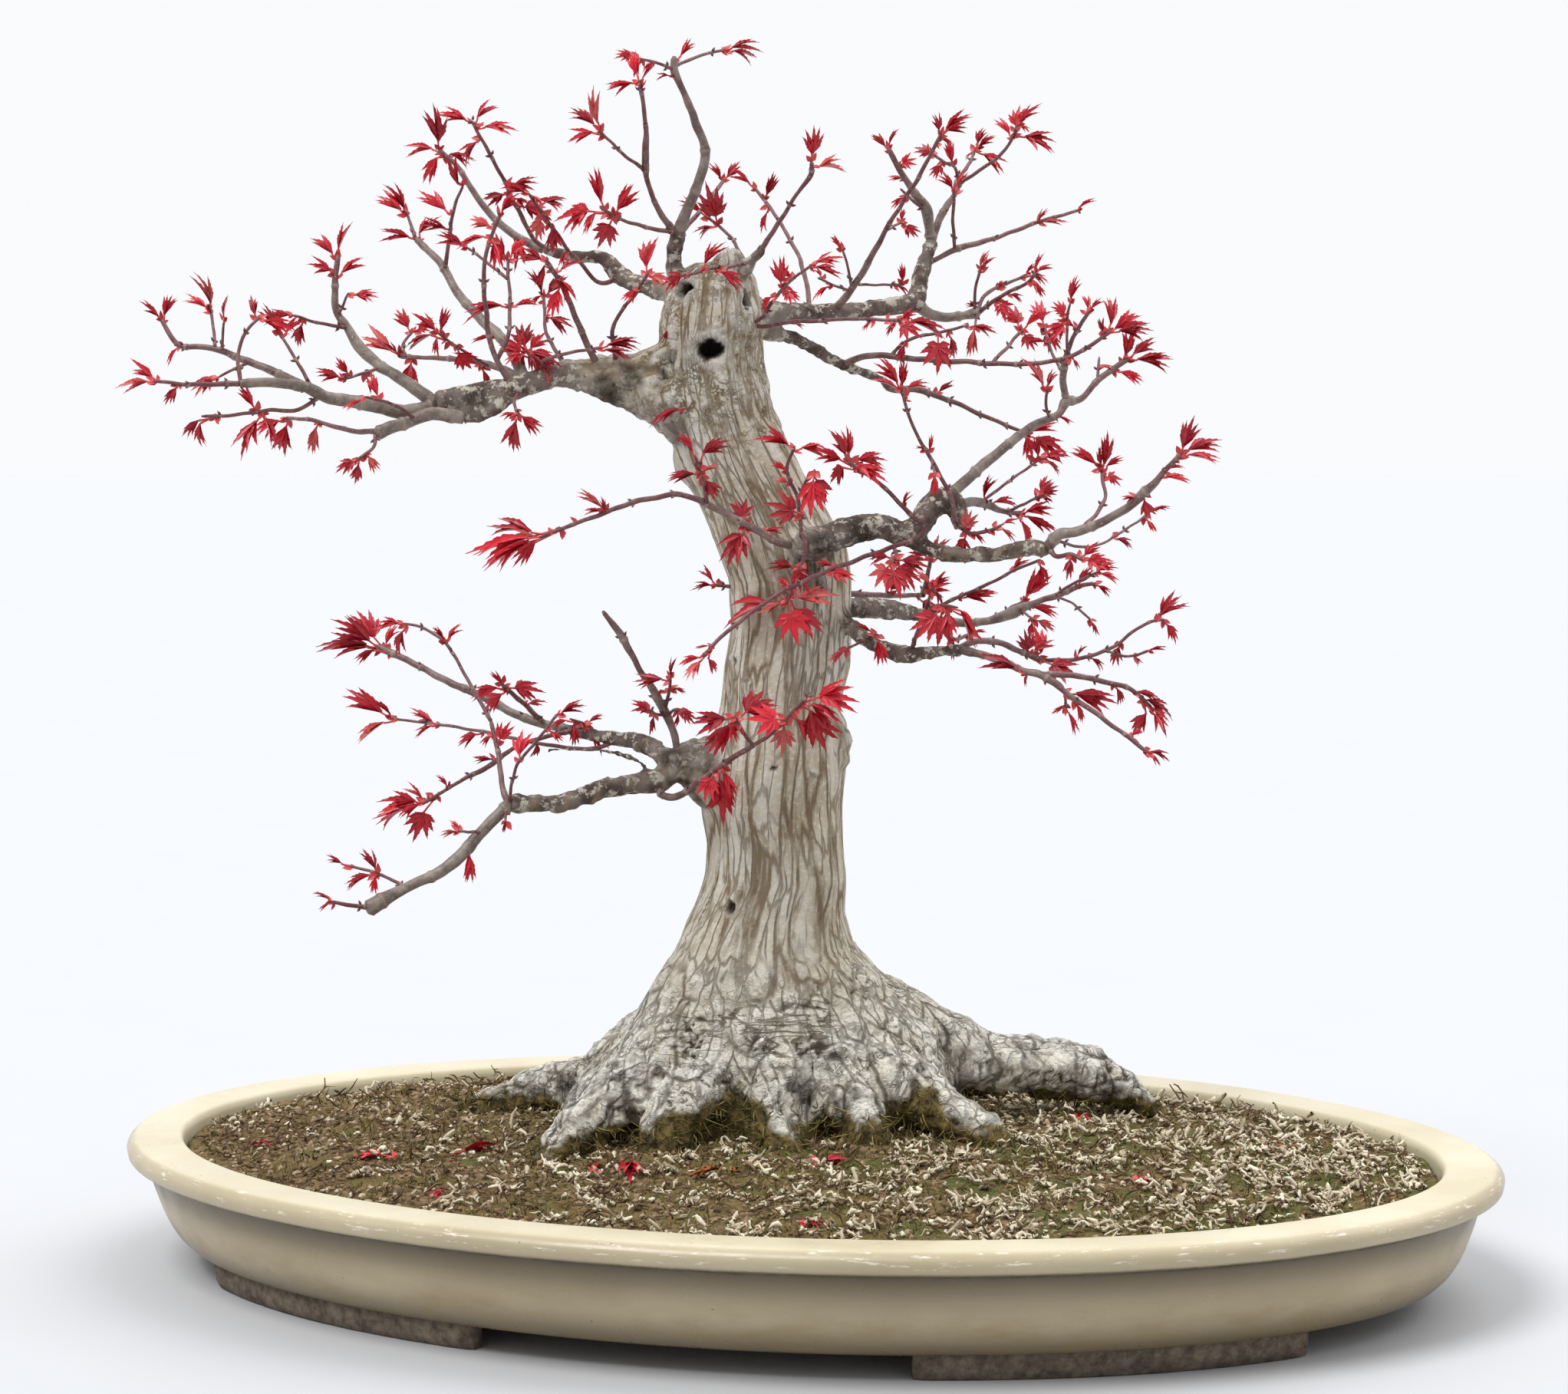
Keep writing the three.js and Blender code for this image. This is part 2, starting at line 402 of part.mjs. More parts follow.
    ["w1", "rightBack", 2.6, 1.3, 20, [[54, 282], [62, 280], [71.8, 278.7], [81.7, 279],
      [94.2, 282.5, 2.8],
      [105.8, 287.6], [112.4, 289.5, 1.9], [124, 294], [129, 294.7]], [[100, 285, 114.5, 283, 0.4]]],
    ["w2", "w1", 1, 0.8, -22, [[112, 289.5], [115.7, 292.3], [130, 299.5]], [[129, 299, 140, 297, 0.3]]],
    ["w4", "w1", 1, 0.8, 30, [[85, 279.8], [92.5, 284.6], [99.2, 287.8]], [[98.8, 287.6, 109, 301, 0.4]]],
    ["w8", "w1", 1.5, 1, 30, [[66, 279.4], [65.5, 275], [69.3, 272], [77, 274]],
      [[69, 272, 69, 263, 0.4]]],
  ],
  back_fan: [
    ["w6", "rightLow", 1.3, 0.9, -20, [[50, 265.7], [56, 281], [61, 294.5]], [[60.5, 293, 54, 302, 0.4]]],
    ["w7", "w6", 0.9, 0.8, -12, [[57, 283.5], [62, 286], [71, 285]], [[70.5, 285, 80.5, 269.5, 0.3]]],
  ],
  back_high: [
    ["w9", "trunk", 2.2, 1.4, 84, [[-2, 292], [23.8, 291.5], [42, 290.5], [56, 290.3]],
      [[55, 290.3, 68, 297, 0.6]]],
    ["w10", "w9", 1.8, 1.2, -14, [[56, 290.2], [58, 297], [59.6, 306]], [[59.5, 305, 66, 316, 0.5]]],
  ],
  low_right_out: [
    ["x1", "rightLow", 2.2, 1.1, -34, [[72, 267], [87.4, 263.2], [99.8, 257.4], [105.6, 256.2, 2],
      [116.4, 248.3], [133, 236.7], [151.2, 222.7]], [[99, 257.8, 79, 264.5, 0.4]]],
    ["x1a", "x1", 0.9, 0.8, 18, [[107, 255.3], [113.9, 252.4], [116.4, 246.6], [116.4, 241.7]],
      [[116, 248.5, 138, 245, 0.4]]],
    ["x2", "x1", 1.8, 1.2, 24, [[105.6, 256.2], [116.4, 256], [134.6, 252.5], [146.2, 248.2],
      [152.8, 241]], [[148, 246.5, 162.5, 238, 0.3]]],
  ],
  low_right_arch: [
    ["x3", "rightLow", 1.9, 1.6, 26, [[70, 266.8], [77.5, 270.3], [90, 269.4], [100.7, 264.7],
      [107.5, 262, 2]], [[107, 262.2, 122, 255.5, 0.8]]],
    ["x4", "x3", 1.3, 0.9, 18, [[107, 262], [120.5, 262.6], [135.4, 267], [152.8, 278.3],
      [158.5, 279]], [[154, 278.5, 167, 288, 0.3]]],
  ],
  low_right_hang: [
    ["x6", "rightLow", 0.9, 0.8, -14, [[32, 272.5], [35, 273.5], [37, 274]],
      [[36.5, 274, 39.5, 260, 0.4]]],
  ],
  low_left_tail: [
    ["y1", "lowerLeft", 2.9, 2, -26, [[-120, 203.5], [-130, 193.9], [-144.4, 178.7, 2.9],
      [-151, 174.1, 2.7], [-164.8, 168, 2.5], [-182, 158.5, 4]], [[-138, 185, -137.5, 166.5, 0.3]]],
    ["y1a", "y1", 1.3, 1, -14, [[-181, 159], [-188.9, 160.6], [-197, 162.3]],
      [[-196.5, 162.2, -205, 168, 0.2]]],
    ["y1b", "y1", 1.1, 0.8, 18, [[-164.6, 168.6], [-177.2, 174.3], [-191.4, 178]],
      [[-177, 174.2, -193.6, 169, 0.3]]],
    ["y2", "y1", 1.8, 1.3, 22, [[-121, 203], [-123.2, 211.8], [-124.8, 226.9],
      [-127.5, 239]], [[-125, 229, -119, 240, 0.6]]],
    ["y3", "y2", 1.2, 0.8, 36, [[-127.5, 239], [-137.5, 257.4], [-145.4, 271.6],
      [-155.7, 278.9], [-164, 280.7]], [[-163, 280.5, -168, 264, 0.4]]],
    ["y4", "y1", 1, 0.8, -34, [[-121, 203], [-116.5, 220], [-108.8, 229.6],
      [-98.9, 241.7]], [[-116, 220.6, -113.6, 238.5, 0.5]]],
  ],
  low_left_cross: [
    ["z1", "upperLeft", 1.4, 1, -46, [[-92, 234.3], [-104.7, 231.9], [-115.8, 228.3],
      [-128.7, 219.6, 1.6], [-142.1, 212.4], [-156.5, 204]], [[-155.8, 204.4, -178, 205.5, 0.4],
      [-155.5, 204.6, -183, 197.5, 0.3]]],
    ["z6", "z1", 1.1, 0.8, -10, [[-94, 234], [-88, 237], [-94, 239.5]], [[-87.5, 236.5, -76.5, 224, 0.4]]],
  ],
  low_left_arm: [
    ["z2", "upperLeft", 2.4, 1.8, 44, [[-95, 235], [-111.6, 239.4], [-126.6, 247],
      [-145, 255.8], [-165.7, 266.8], [-175, 271, 2.3]], [[-174.5, 270.8, -203, 275, 0.3]]],
    ["z3", "z2", 1.7, 1.3, -22, [[-104.2, 237.5], [-111.5, 244.3], [-122.5, 254.5]],
      [[-121, 253, -102.5, 252, 0.6]]],
  ],
  low_left_whip: [
    ["z4", "upperLeft", 1.3, 0.8, 62, [[-72, 230.3], [-83, 227], [-108.4, 229.4], [-134.5, 235],
      [-170.2, 240.5]], [[-169.5, 240.4, -193, 254.5, 0.3]]],
  ],
  cut_stem: [
    ["o1", "collar", 2.1, 1.4, -10, [[-48, 222], [-50.2, 233.7], [-54.1, 243.7, 2.4],
      [-65.2, 261.8], [-71.1, 273.8, 2], [-79.3, 285.2, 1.3]], []],
    ["o2", "o1", 1.2, 0.8, -14, [[-53.5, 242.5], [-51.3, 251.6], [-50.9, 257]],
      [[-51, 255.5, -67.5, 256.5, 0.4]]],
    ["o3", "o1", 1, 0.8, -16, [[-52.5, 240.5], [-57, 241], [-60, 243]], [[-59, 242.5, -68, 246, 0.6]]],
  ],
  front_arm: [
    ["j1", "lowerLeft", 2.1, 1.5, -34, [[-57.2, 212.3], [-55.3, 206.4], [-52.6, 205.7],
      [-38.5, 212.9], [-28.5, 220], [-15.2, 228]], [[-31, 218, -29, 193.5, 0.4]]],
    ["j2", "j1", 1.1, 0.9, -8, [[-17, 227.5], [-21, 234], [-24, 240]], [[-23.7, 239.5, -37, 222, 0.4]]],
    ["j3", "j1", 1.2, 0.9, -12, [[-16, 227.6], [-9, 232], [-1, 239.5], [7, 248]],
      [[6.5, 247.5, 15, 223, 0.5]]],
  ],
};
const TWIG_SIDES = 4;
const FINE_TWIG_SIDES = 3;
const FINE_TWIG_RADIUS = 1.7;

// Numbers drawn in a fixed order
function drawer(seed) {
  let state = seed;
  return () => {
    state = (state + 0x6d2b79f5) | 0;
    let mixed = Math.imul(state ^ (state >>> 15), 1 | state);
    mixed = (mixed + Math.imul(mixed ^ (mixed >>> 7), 61 | mixed)) ^ mixed;
    return ((mixed ^ (mixed >>> 14)) >>> 0) / 4294967296;
  };
}

// A point seen in the front plane, carried back along the line of sight to a depth, in the
// frame of the tree
function seen(across, height, depth) {
  const scale = 1 + depth / EYE_DISTANCE;
  return new THREE.Vector3(
    EYE_ACROSS + (across - EYE_ACROSS) * scale,
    depth,
    EYE_HEIGHT + (height - EYE_HEIGHT) * scale,
  );
}

// The frame of the tree turned onto the pot
function onPot(point) {
  return point.clone().applyAxisAngle(new THREE.Vector3(0, 0, 1), TREE_TURN);
}

function closedSolid(points, triangles) {
  return new wasm.Manifold(new wasm.Mesh({
    numProp: 3,
    vertProperties: new Float32Array(points.flatMap((p) => [p.x, p.y, p.z])),
    triVerts: new Uint32Array(triangles.flat()),
  }));
}

// Skin over rings of equal count, each given anticlockwise seen from its end, with flat ends
function loft(rings) {
  const sides = rings[0].length;
  const points = rings.flat();
  const triangles = [];
  for (let i = 0; i + 1 < rings.length; i += 1) {
    for (let j = 0; j < sides; j += 1) {
      const a = i * sides + j;
      const b = i * sides + (j + 1) % sides;
      triangles.push([a, b, b + sides], [a, b + sides, a + sides]);
    }
  }
  const last = (rings.length - 1) * sides;
  for (let j = 1; j + 1 < sides; j += 1) {
    triangles.push([0, j + 1, j], [last, last + j, last + j + 1]);
  }
  return closedSolid(points, triangles);
}

// Round stem along a path, its rings carried along without twist
function tube(path, radii, sides) {
  const along = path.map((p, i) => {
    const before = path[Math.max(i - 1, 0)];
    const after = path[Math.min(i + 1, path.length - 1)];
    return after.clone().sub(before).normalize();
  });
  const first = Math.abs(along[0].z) < 0.9 ? new THREE.Vector3(0, 0, 1) : new THREE.Vector3(1, 0, 0);
  let sideways = first.cross(along[0]).normalize();
  const rings = path.map((centre, i) => {
    sideways = sideways.clone().addScaledVector(along[i], -sideways.dot(along[i])).normalize();
    const upward = along[i].clone().cross(sideways);
    return Array.from({ length: sides }, (_, j) => {
      const angle = 2 * Math.PI * j / sides;
      return centre.clone()
        .addScaledVector(sideways, radii[i] * Math.cos(angle))
        .addScaledVector(upward, radii[i] * Math.sin(angle));
    });
  });
  return loft(rings);
}

function nearest(path, point) {
  let best = null;
  for (let i = 0; i + 1 < path.length; i += 1) {
    const line = new THREE.Line3(path[i], path[i + 1]);
    const near = line.closestPointToPoint(point, true, new THREE.Vector3());
    if (!best || near.distanceTo(point) < best.distanceTo(point)) {
      best = near;
    }
  }
  return best;
}

// The point of a stem that is seen nearest to a place in the front plane
function nearestSeen(path, across, height) {
  let best = null;
  let bestDistance = Infinity;
  for (let i = 0; i + 1 < path.length; i += 1) {
    for (let step = 0; step <= 12; step += 1) {
      const point = path[i].clone().lerp(path[i + 1], step / 12);
      const place = seen(across, height, point.y);
      const distance = Math.hypot(place.x - point.x, place.z - point.z);
      if (distance < bestDistance) {
        bestDistance = distance;
        best = point;
      }
    }
  }
  return best;
}

const stems = {
  trunk: { path: TRUNK_RINGS.map(([across, height, depth]) => seen(across, height, depth)) },
};

function makeStem([name, parent, startRadius, endRadius, lean, points]) {
  const start = nearestSeen(stems[parent].path, points[0][0], points[0][1]);
  const lengths = [0];
  for (let i = 1; i < points.length; i += 1) {
    const [x0, z0] = points[i - 1];
    const [x1, z1] = points[i];
    lengths.push(lengths[i - 1] + Math.hypot(x1 - x0, z1 - z0));
  }
  const total = lengths[lengths.length - 1];
  const path = points.map(([across, height, , nearer = 0], i) => (
    i === 0 ? start : seen(across, height, start.y + lean * lengths[i] / total + nearer)
  ));
  const radii = points.map((point, i) => (
    point[2] ?? startRadius + (endRadius - startRadius) * lengths[i] / total
  ));
  stems[name] = { path, radii };
  return stems[name];
}

// Outline of a leaf from its palm: its lobes and the notches between them, as angle from the
// middle lobe and reach
const LOBES = [[-80, 0.56], [-41, 0.84], [0, 1], [41, 0.84], [80, 0.56]];
const NOTCHES = [[-60, 0.3], [-20, 0.34], [20, 0.34], [60, 0.3]];
const BASE_SPREAD = 28;
const BASE_REACH = 0.15;
const PALM_AT = 0.3;
const LEAF_PITCH = 1.7;

// A place along a stem, back from its end
function along(stem, distance) {
  let left = distance;
  for (let i = stem.path.length - 1; i > 0; i -= 1) {
    const piece = stem.path[i].distanceTo(stem.path[i - 1]);
    if (left <= piece) {
      return stem.path[i].clone().lerp(stem.path[i - 1], left / piece);
    }
    left -= piece;
  }
  return stem.path[0].clone();
}

function makeLeaf(stem, index, [across, height, tipAcross, tipHeight, open], draw) {
  let root = nearestSeen(stem.path, across, height);
  const end = stem.path[stem.path.length - 1];
  if (root.distanceTo(end) < 4) {
    root = along(stem, 0.6 + LEAF_PITCH * index);
  }
  const reach = Math.hypot(tipAcross - across, tipHeight - height);
  const outward = (0.3 + 0.35 * draw()) * (index % 2 ? 1 : -1) * reach;
  const start = seen(across, height, root.y + outward * 0.12);
  const tip = seen(tipAcross, tipHeight, root.y + outward);
  const axis = tip.clone().sub(start);
  const length = axis.length();
  axis.normalize();
  const facing = new THREE.Vector3((draw() - 0.5) * 0.8, -0.45 - 0.6 * open, 0.9 - 0.5 * open);
  const normal = facing.addScaledVector(axis, -facing.dot(axis)).normalize();
  const side = axis.clone().cross(normal);
  const palm = start.clone().addScaledVector(axis, length * PALM_AT);
  return { root, palm, axis, side, normal, length, open, droop: 0.1 + 0.16 * draw() };
}

// A blade with its stalk, one closed solid: a star that is thick at the palm and sharp at its
// edge, with a three-sided stalk that runs from the palm into the stem
function leafSolid(leaf, grow) {
  const { root, palm, axis, side, normal, length, open, droop } = leaf;
  const fold = 0.3 + 0.7 * open;
  const ring = [];
  const mark = (angle, reach) => {
    const turn = angle * Math.PI / 180;
    const distance = length * (1 - PALM_AT) * reach + grow * 1.5;
    const fall = -droop * distance * (distance / length);
    ring.push(palm.clone()
      .addScaledVector(axis, distance * Math.cos(turn))
      .addScaledVector(side, distance * Math.sin(turn))
      .addScaledVector(normal, fall));
  };
  const stalk = root.clone().sub(palm);
  const stalkAngle = Math.atan2(stalk.dot(side), stalk.dot(axis)) * 180 / Math.PI;
  const behind = Math.min(Math.max((stalkAngle + 360) % 360, 130), 230);
  mark(behind + BASE_SPREAD - 360, BASE_REACH);
  LOBES.forEach(([angle, reach], i) => {
    mark(angle * fold, reach);
    if (i < NOTCHES.length) {
      const [notchAngle, notchReach] = NOTCHES[i];
      mark(notchAngle * fold, notchReach + 0.2 * (1 - open));
    }
  });
  mark(behind - BASE_SPREAD, BASE_REACH);
  const half = LEAF_THICKNESS / 2 + grow;
  const thick = PETIOLE_RADIUS + grow;
  const across = normal.clone().cross(stalk).normalize();
  const up = stalk.clone().cross(across).normalize();
  const top = ring.length;
  const points = [
    ...ring,
    palm.clone().addScaledVector(normal, half),
    palm.clone().addScaledVector(normal, -half),
    root.clone().addScaledVector(across, thick).addScaledVector(up, -thick / 2),
    root.clone().addScaledVector(across, -thick).addScaledVector(up, -thick / 2),
    root.clone().addScaledVector(up, thick),
  ];
  const bottom = top + 1;
  const [left, right, crest] = [top + 2, top + 3, top + 4];
  const last = top - 1;
  const triangles = [];
  for (let i = 0; i < last; i += 1) {
    triangles.push([i, top, i + 1], [i + 1, bottom, i]);
  }
  triangles.push(
    [last, top, left], [left, top, crest], [crest, top, right], [right, top, 0],
    [0, bottom, right], [right, bottom, left], [left, bottom, last], [left, crest, right],
  );
  return closedSolid(points.map(onPot), triangles);
}

function stemSolid(stem, sides, grow) {
  return tube(stem.path.map(onPot), stem.radii.map((radius) => radius + grow), sides);
}

function joined(solids) {
  return solids.reduce((whole, solid) => whole.add(solid));
}

// The biggest body of a solid, without the loose scraps that a cut leaves
function largest(solid) {
  const { vertProperties, triVerts } = solid.getMesh();
  const owner = Array.from({ length: vertProperties.length / 3 }, (_, i) => i);
  const find = (i) => {
    let at = i;
    while (owner[at] !== at) {
      at = owner[at];
    }
    owner[i] = at;
    return at;
  };
  for (let i = 0; i < triVerts.length; i += 3) {
    owner[find(triVerts[i + 1])] = find(triVerts[i]);
    owner[find(triVerts[i + 2])] = find(triVerts[i]);
  }
  const corner = (i) => new THREE.Vector3().fromArray(vertProperties, 3 * triVerts[i]);
  const volumes = new Map();
  for (let i = 0; i < triVerts.length; i += 3) {
    const body = find(triVerts[i]);
    const volume = corner(i).dot(corner(i + 1).cross(corner(i + 2)));
    volumes.set(body, (volumes.get(body) ?? 0) + volume);
  }
  const chosen = [...volumes].reduce((best, next) => (next[1] > best[1] ? next : best))[0];
  const kept = [];
  for (let i = 0; i < triVerts.length; i += 3) {
    if (find(triVerts[i]) === chosen) {
      kept.push(triVerts[i], triVerts[i + 1], triVerts[i + 2]);
    }
  }
  const numbers = new Map();
  const points = [];
  const renumbered = kept.map((i) => {
    if (!numbers.has(i)) {
      numbers.set(i, points.length / 3);
      points.push(...vertProperties.slice(3 * i, 3 * i + 3));
    }
    return numbers.get(i);
  });
  return { points, triangles: renumbered };
}

function oval(inset, height, segments, from = 0, to = 360, skipEnd = true) {
  const count = skipEnd ? segments : segments + 1;
  return Array.from({ length: count }, (_, i) => {
    const angle = (from + (to - from) * i / segments) * Math.PI / 180;
    return new THREE.Vector3(
      (POT_LENGTH / 2 - inset) * Math.cos(angle),
      (POT_DEPTH / 2 - inset) * Math.sin(angle),
      height,
    );
  });
}

// A closed geometry as a solid, its shared corners merged
function solidOf(geometry) {
  geometry.deleteAttribute("normal");
  geometry.deleteAttribute("uv");
  const merged = mergeVertices(geometry);
  return new wasm.Manifold(new wasm.Mesh({
    numProp: 3,
    vertProperties: merged.getAttribute("position").array,
    triVerts: merged.getIndex().array,
  }));
}

function box(x, y, z, width, depth, height) {
  const geometry = new THREE.BoxGeometry(width, depth, height);
  return solidOf(geometry.translate(x, y, z + height / 2));
}

// Pot: one lofted shell, with four curved feet under it and two drain holes through its floor
function potSolid() {
  let pot = loft(POT_PROFILE.map(([inset, height]) => oval(inset, height, POT_SEGMENTS)));
  for (const [from, to] of FEET) {
    const level = (outer, inner, height) => [
      ...oval(outer, height, FOOT_STEPS, from, to, false),
      ...oval(inner, height, FOOT_STEPS, from, to, false).reverse(),
    ];
    const foot = loft([
      level(FOOT_OUTER_INSET + FOOT_TAPER, FOOT_INNER_INSET, 0),
      level(FOOT_OUTER_INSET, FOOT_INNER_INSET, FOOT_TOP),
    ]);
    pot = pot.add(foot);
  }
  for (const side of [-1, 1]) {
    const hole = new THREE.CylinderGeometry(DRAIN_RADIUS, DRAIN_RADIUS, FLOOR_TOP, DRAIN_SIDES);
    hole.rotateX(Math.PI / 2).translate(side * DRAIN_OFFSET, 0, FLOOR_TOP - 3);
    pot = pot.subtract(solidOf(hole));
  }
  return pot;
}

function screenSolid(side, grow) {
  const x = side * DRAIN_OFFSET;
  const size = SCREEN_SIZE + 2 * grow;
  let plate = box(x, 0, FLOOR_TOP + CLEARANCE - grow, size, size, SCREEN_THICKNESS + 2 * grow);
  if (grow === 0) {
    const pitch = SCREEN_SIZE / SCREEN_CELLS;
    for (let i = 0; i < SCREEN_CELLS; i += 1) {
      for (let j = 0; j < SCREEN_CELLS; j += 1) {
        const offset = (k) => (k - (SCREEN_CELLS - 1) / 2) * (pitch - 0.4);
        plate = plate.subtract(box(x + offset(i), offset(j), FLOOR_TOP - 2,
          pitch - SCREEN_BAR, pitch - SCREEN_BAR, 8));
      }
    }
  }
  return plate;
}

// Soil: fills the pot to just under its rim and rises in a soft uneven mound to the trunk
function soilSolid() {
  const rings = [
    oval(38 + 2 * CLEARANCE, FLOOR_TOP + CLEARANCE, SOIL_SEGMENTS),
    oval(31 + 1.5 * CLEARANCE, 19 + CLEARANCE, SOIL_SEGMENTS),
    oval(27 + 1.5 * CLEARANCE, 30, SOIL_SEGMENTS),
    oval(SOIL_EDGE_INSET, SOIL_EDGE_TOP - 1, SOIL_SEGMENTS),
  ];
  for (let ring = 1; ring <= SOIL_RINGS; ring += 1) {
    const inward = ring / SOIL_RINGS;
    const scale = 1 - 0.9 * inward;
    rings.push(oval(SOIL_EDGE_INSET, 0, SOIL_SEGMENTS).map((point) => {
      const x = point.x * scale;
      const y = point.y * scale;
      const uneven = 1.3 * Math.sin(x / 23) * Math.cos(y / 19) + 0.8 * Math.sin((x + y) / 11);
      return new THREE.Vector3(x, y, SOIL_EDGE_TOP + SOIL_MOUND * (1 - scale) ** 0.8 + uneven);
    }));
  }
  return loft(rings);
}

// Trunk: an uneven fluted column that spreads over the roots
function trunkColumn(grow) {
  const rings = TRUNK_RINGS.map(([across, height, depth, halfWidth, halfDepth]) => {
    const centre = seen(across, height, depth);
    return Array.from({ length: TRUNK_SIDES }, (_, j) => {
      const angle = 2 * Math.PI * j / TRUNK_SIDES;
      const flute = 1 + 0.045 * Math.sin(3 * angle + height / 37)
        + 0.03 * Math.sin(5 * angle - height / 23 + 1);
      return onPot(new THREE.Vector3(
        centre.x + (halfWidth * flute + grow) * Math.cos(angle),
        centre.y + (halfDepth * flute + grow) * Math.sin(angle),
        centre.z,
      ));
    });
  });
  return loft(rings);
}

function rootSolid(root, grow) {
  const path = root.map(([, across, depth, height]) => new THREE.Vector3(across, depth, height));
  return tube(path.map(onPot), root.map(([radius]) => radius + grow), ROOT_SIDES);
}

const draw = drawer(DRAW_SEED);
const limbs = LIMBS.map(makeStem);
const buildTrunk = (grow) => joined([
  trunkColumn(grow),
  ...ROOTS.map((root) => rootSolid(root, grow)),
  ...limbs.map((limb) => stemSolid(limb, LIMB_SIDES, grow)),
]);

let trunk = buildTrunk(0);
for (const [across, height, radius, cut] of HOLLOWS) {
  const surface = seen(across, height, -30);
  const inner = nearest(stems.trunk.path, surface);
  const outward = surface.clone().sub(inner).setZ(0).normalize();
  const mouth = inner.clone().setZ(surface.z).addScaledVector(outward, 26);
  const end = inner.clone().setZ(surface.z - 2).addScaledVector(outward, 20 - cut);
  trunk = trunk.subtract(tube([mouth, end].map(onPot), [radius * 1.3, radius * 0.7], HOLLOW_SIDES));
}
const group = new THREE.Group();
group.name = "deshojo_maple_bonsai";

function addNode(name, solid, colour, roughness) {
  const { points, triangles } = largest(solid);
  const geometry = new THREE.BufferGeometry();
  geometry.setAttribute("position", new THREE.Float32BufferAttribute(points, 3));
  geometry.setIndex(triangles);
  geometry.computeVertexNormals();
  const node = new THREE.Mesh(geometry, new THREE.MeshStandardMaterial({ color: colour, roughness }));
  node.name = name;
  group.add(node);
}

const fatTrunk = buildTrunk(GAP);
const soil = soilSolid().subtract(fatTrunk)
  .subtract(screenSolid(-1, CLEARANCE)).subtract(screenSolid(1, CLEARANCE));
addNode("pot", potSolid(), COLOURS.pot, 0.45);
addNode("drain_screen_left", screenSolid(-1, 0), COLOURS.screen, 0.7);
addNode("drain_screen_right", screenSolid(1, 0), COLOURS.screen, 0.7);
addNode("soil", soil, COLOURS.soil, 0.95);
addNode("trunk", trunk, COLOURS.bark, 0.85);

const standing = [fatTrunk];

function apart(a, b) {
  const first = a.boundingBox();
  const second = b.boundingBox();
  return [0, 1, 2].some((k) => first.min[k] > second.max[k] || second.min[k] > first.max[k]);
}

for (const [name, rows] of Object.entries(SPRAYS)) {
  const parts = rows.map((row) => {
    const stem = makeStem(row);
    return { stem, leaves: row[6].map((leaf, i) => makeLeaf(stem, i, leaf, draw)) };
  });
  const build = (grow) => joined(parts.flatMap(({ stem, leaves }) => [
    stemSolid(stem, stem.radii[0] > FINE_TWIG_RADIUS ? TWIG_SIDES : FINE_TWIG_SIDES, grow),
    ...leaves.map((leaf) => leafSolid(leaf, grow)),
  ]));
  let spray = build(0);
  for (const other of standing) {
    if (!apart(spray, other)) {
      spray = spray.subtract(other);
    }
  }
  addNode(`spray_${name}`, spray, COLOURS.leaf, 0.6);
  standing.push(build(GAP));
}

export default group;
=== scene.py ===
# Deshojo japanese maple bonsai in its oval pot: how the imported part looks.
# Lengths are millimetres until a mesh is made. The long axis of the pot lies along X, +Z is up.
import itertools
import math
import random

import bpy
import numpy as np
from mathutils import Matrix, Vector


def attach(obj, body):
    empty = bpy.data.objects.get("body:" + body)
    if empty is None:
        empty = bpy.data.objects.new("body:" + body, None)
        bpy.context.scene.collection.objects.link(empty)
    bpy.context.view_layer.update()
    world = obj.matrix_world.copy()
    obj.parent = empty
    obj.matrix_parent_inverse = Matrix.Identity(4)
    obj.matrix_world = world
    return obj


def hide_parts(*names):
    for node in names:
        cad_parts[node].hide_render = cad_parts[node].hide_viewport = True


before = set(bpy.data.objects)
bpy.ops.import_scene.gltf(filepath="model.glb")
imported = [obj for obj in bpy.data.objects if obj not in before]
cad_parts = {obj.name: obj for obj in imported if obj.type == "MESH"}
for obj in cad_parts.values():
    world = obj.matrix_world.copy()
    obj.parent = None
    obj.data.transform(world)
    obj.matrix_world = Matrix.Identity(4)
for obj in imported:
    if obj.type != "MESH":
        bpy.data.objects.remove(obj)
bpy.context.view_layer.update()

MM = 0.001

# Turn of the tree on the pot, and the eye that its branches were sighted from, in its own frame
TREE_TURN = math.radians(16)
EYE_ACROSS = -3
EYE_DISTANCE = 1592
EYE_HEIGHT = 399

# Camera: the same eye, its pitch and roll, and its focal length on a frame of this many pixels
PITCH = math.radians(5.425)
ROLL = math.radians(-0.59)
FOCAL_PIXELS = 4916.6
FRAME_PIXELS = 2044
SENSOR_WIDTH = 36
FLOOR_SIZE = 18000

# Pot
POT_LENGTH = 600
POT_DEPTH = 389
POT_HEIGHT = 57
POT_SEGMENTS = 288
FLOOR_TOP = 15
FLOOR_UNDERSIDE = 8.5
DRAIN_RADIUS = 12
DRAIN_OFFSET = 105
# Inset from the widest outline, height, and the radius that rounds the corner there
POT_PROFILE = [
    [34, FLOOR_UNDERSIDE, 1.5], [26, 11, 2], [20.5, 16, 5], [16, 24, 8], [12.5, 34, 8],
    [9, 45.5, 1.6], [1, 48.5, 1.2], [0, 53.5, 2.4], [4, POT_HEIGHT, 2.6],
    [24, POT_HEIGHT - 0.4, 1.4], [25.5, 54, 2], [27, 30, 8], [31, 19, 4], [38, FLOOR_TOP, 4],
]
FEET = [[31, 70.5], [109.5, 149], [211, 250.5], [289.5, 329]]
FOOT_OUTER_INSET = 27
FOOT_INNER_INSET = 38
FOOT_TAPER = 2
FOOT_TOP = 12

# Screens over the drain holes
SCREEN_SIZE = 38
SCREEN_PITCH = 3.1
SCREEN_BAR = 0.9

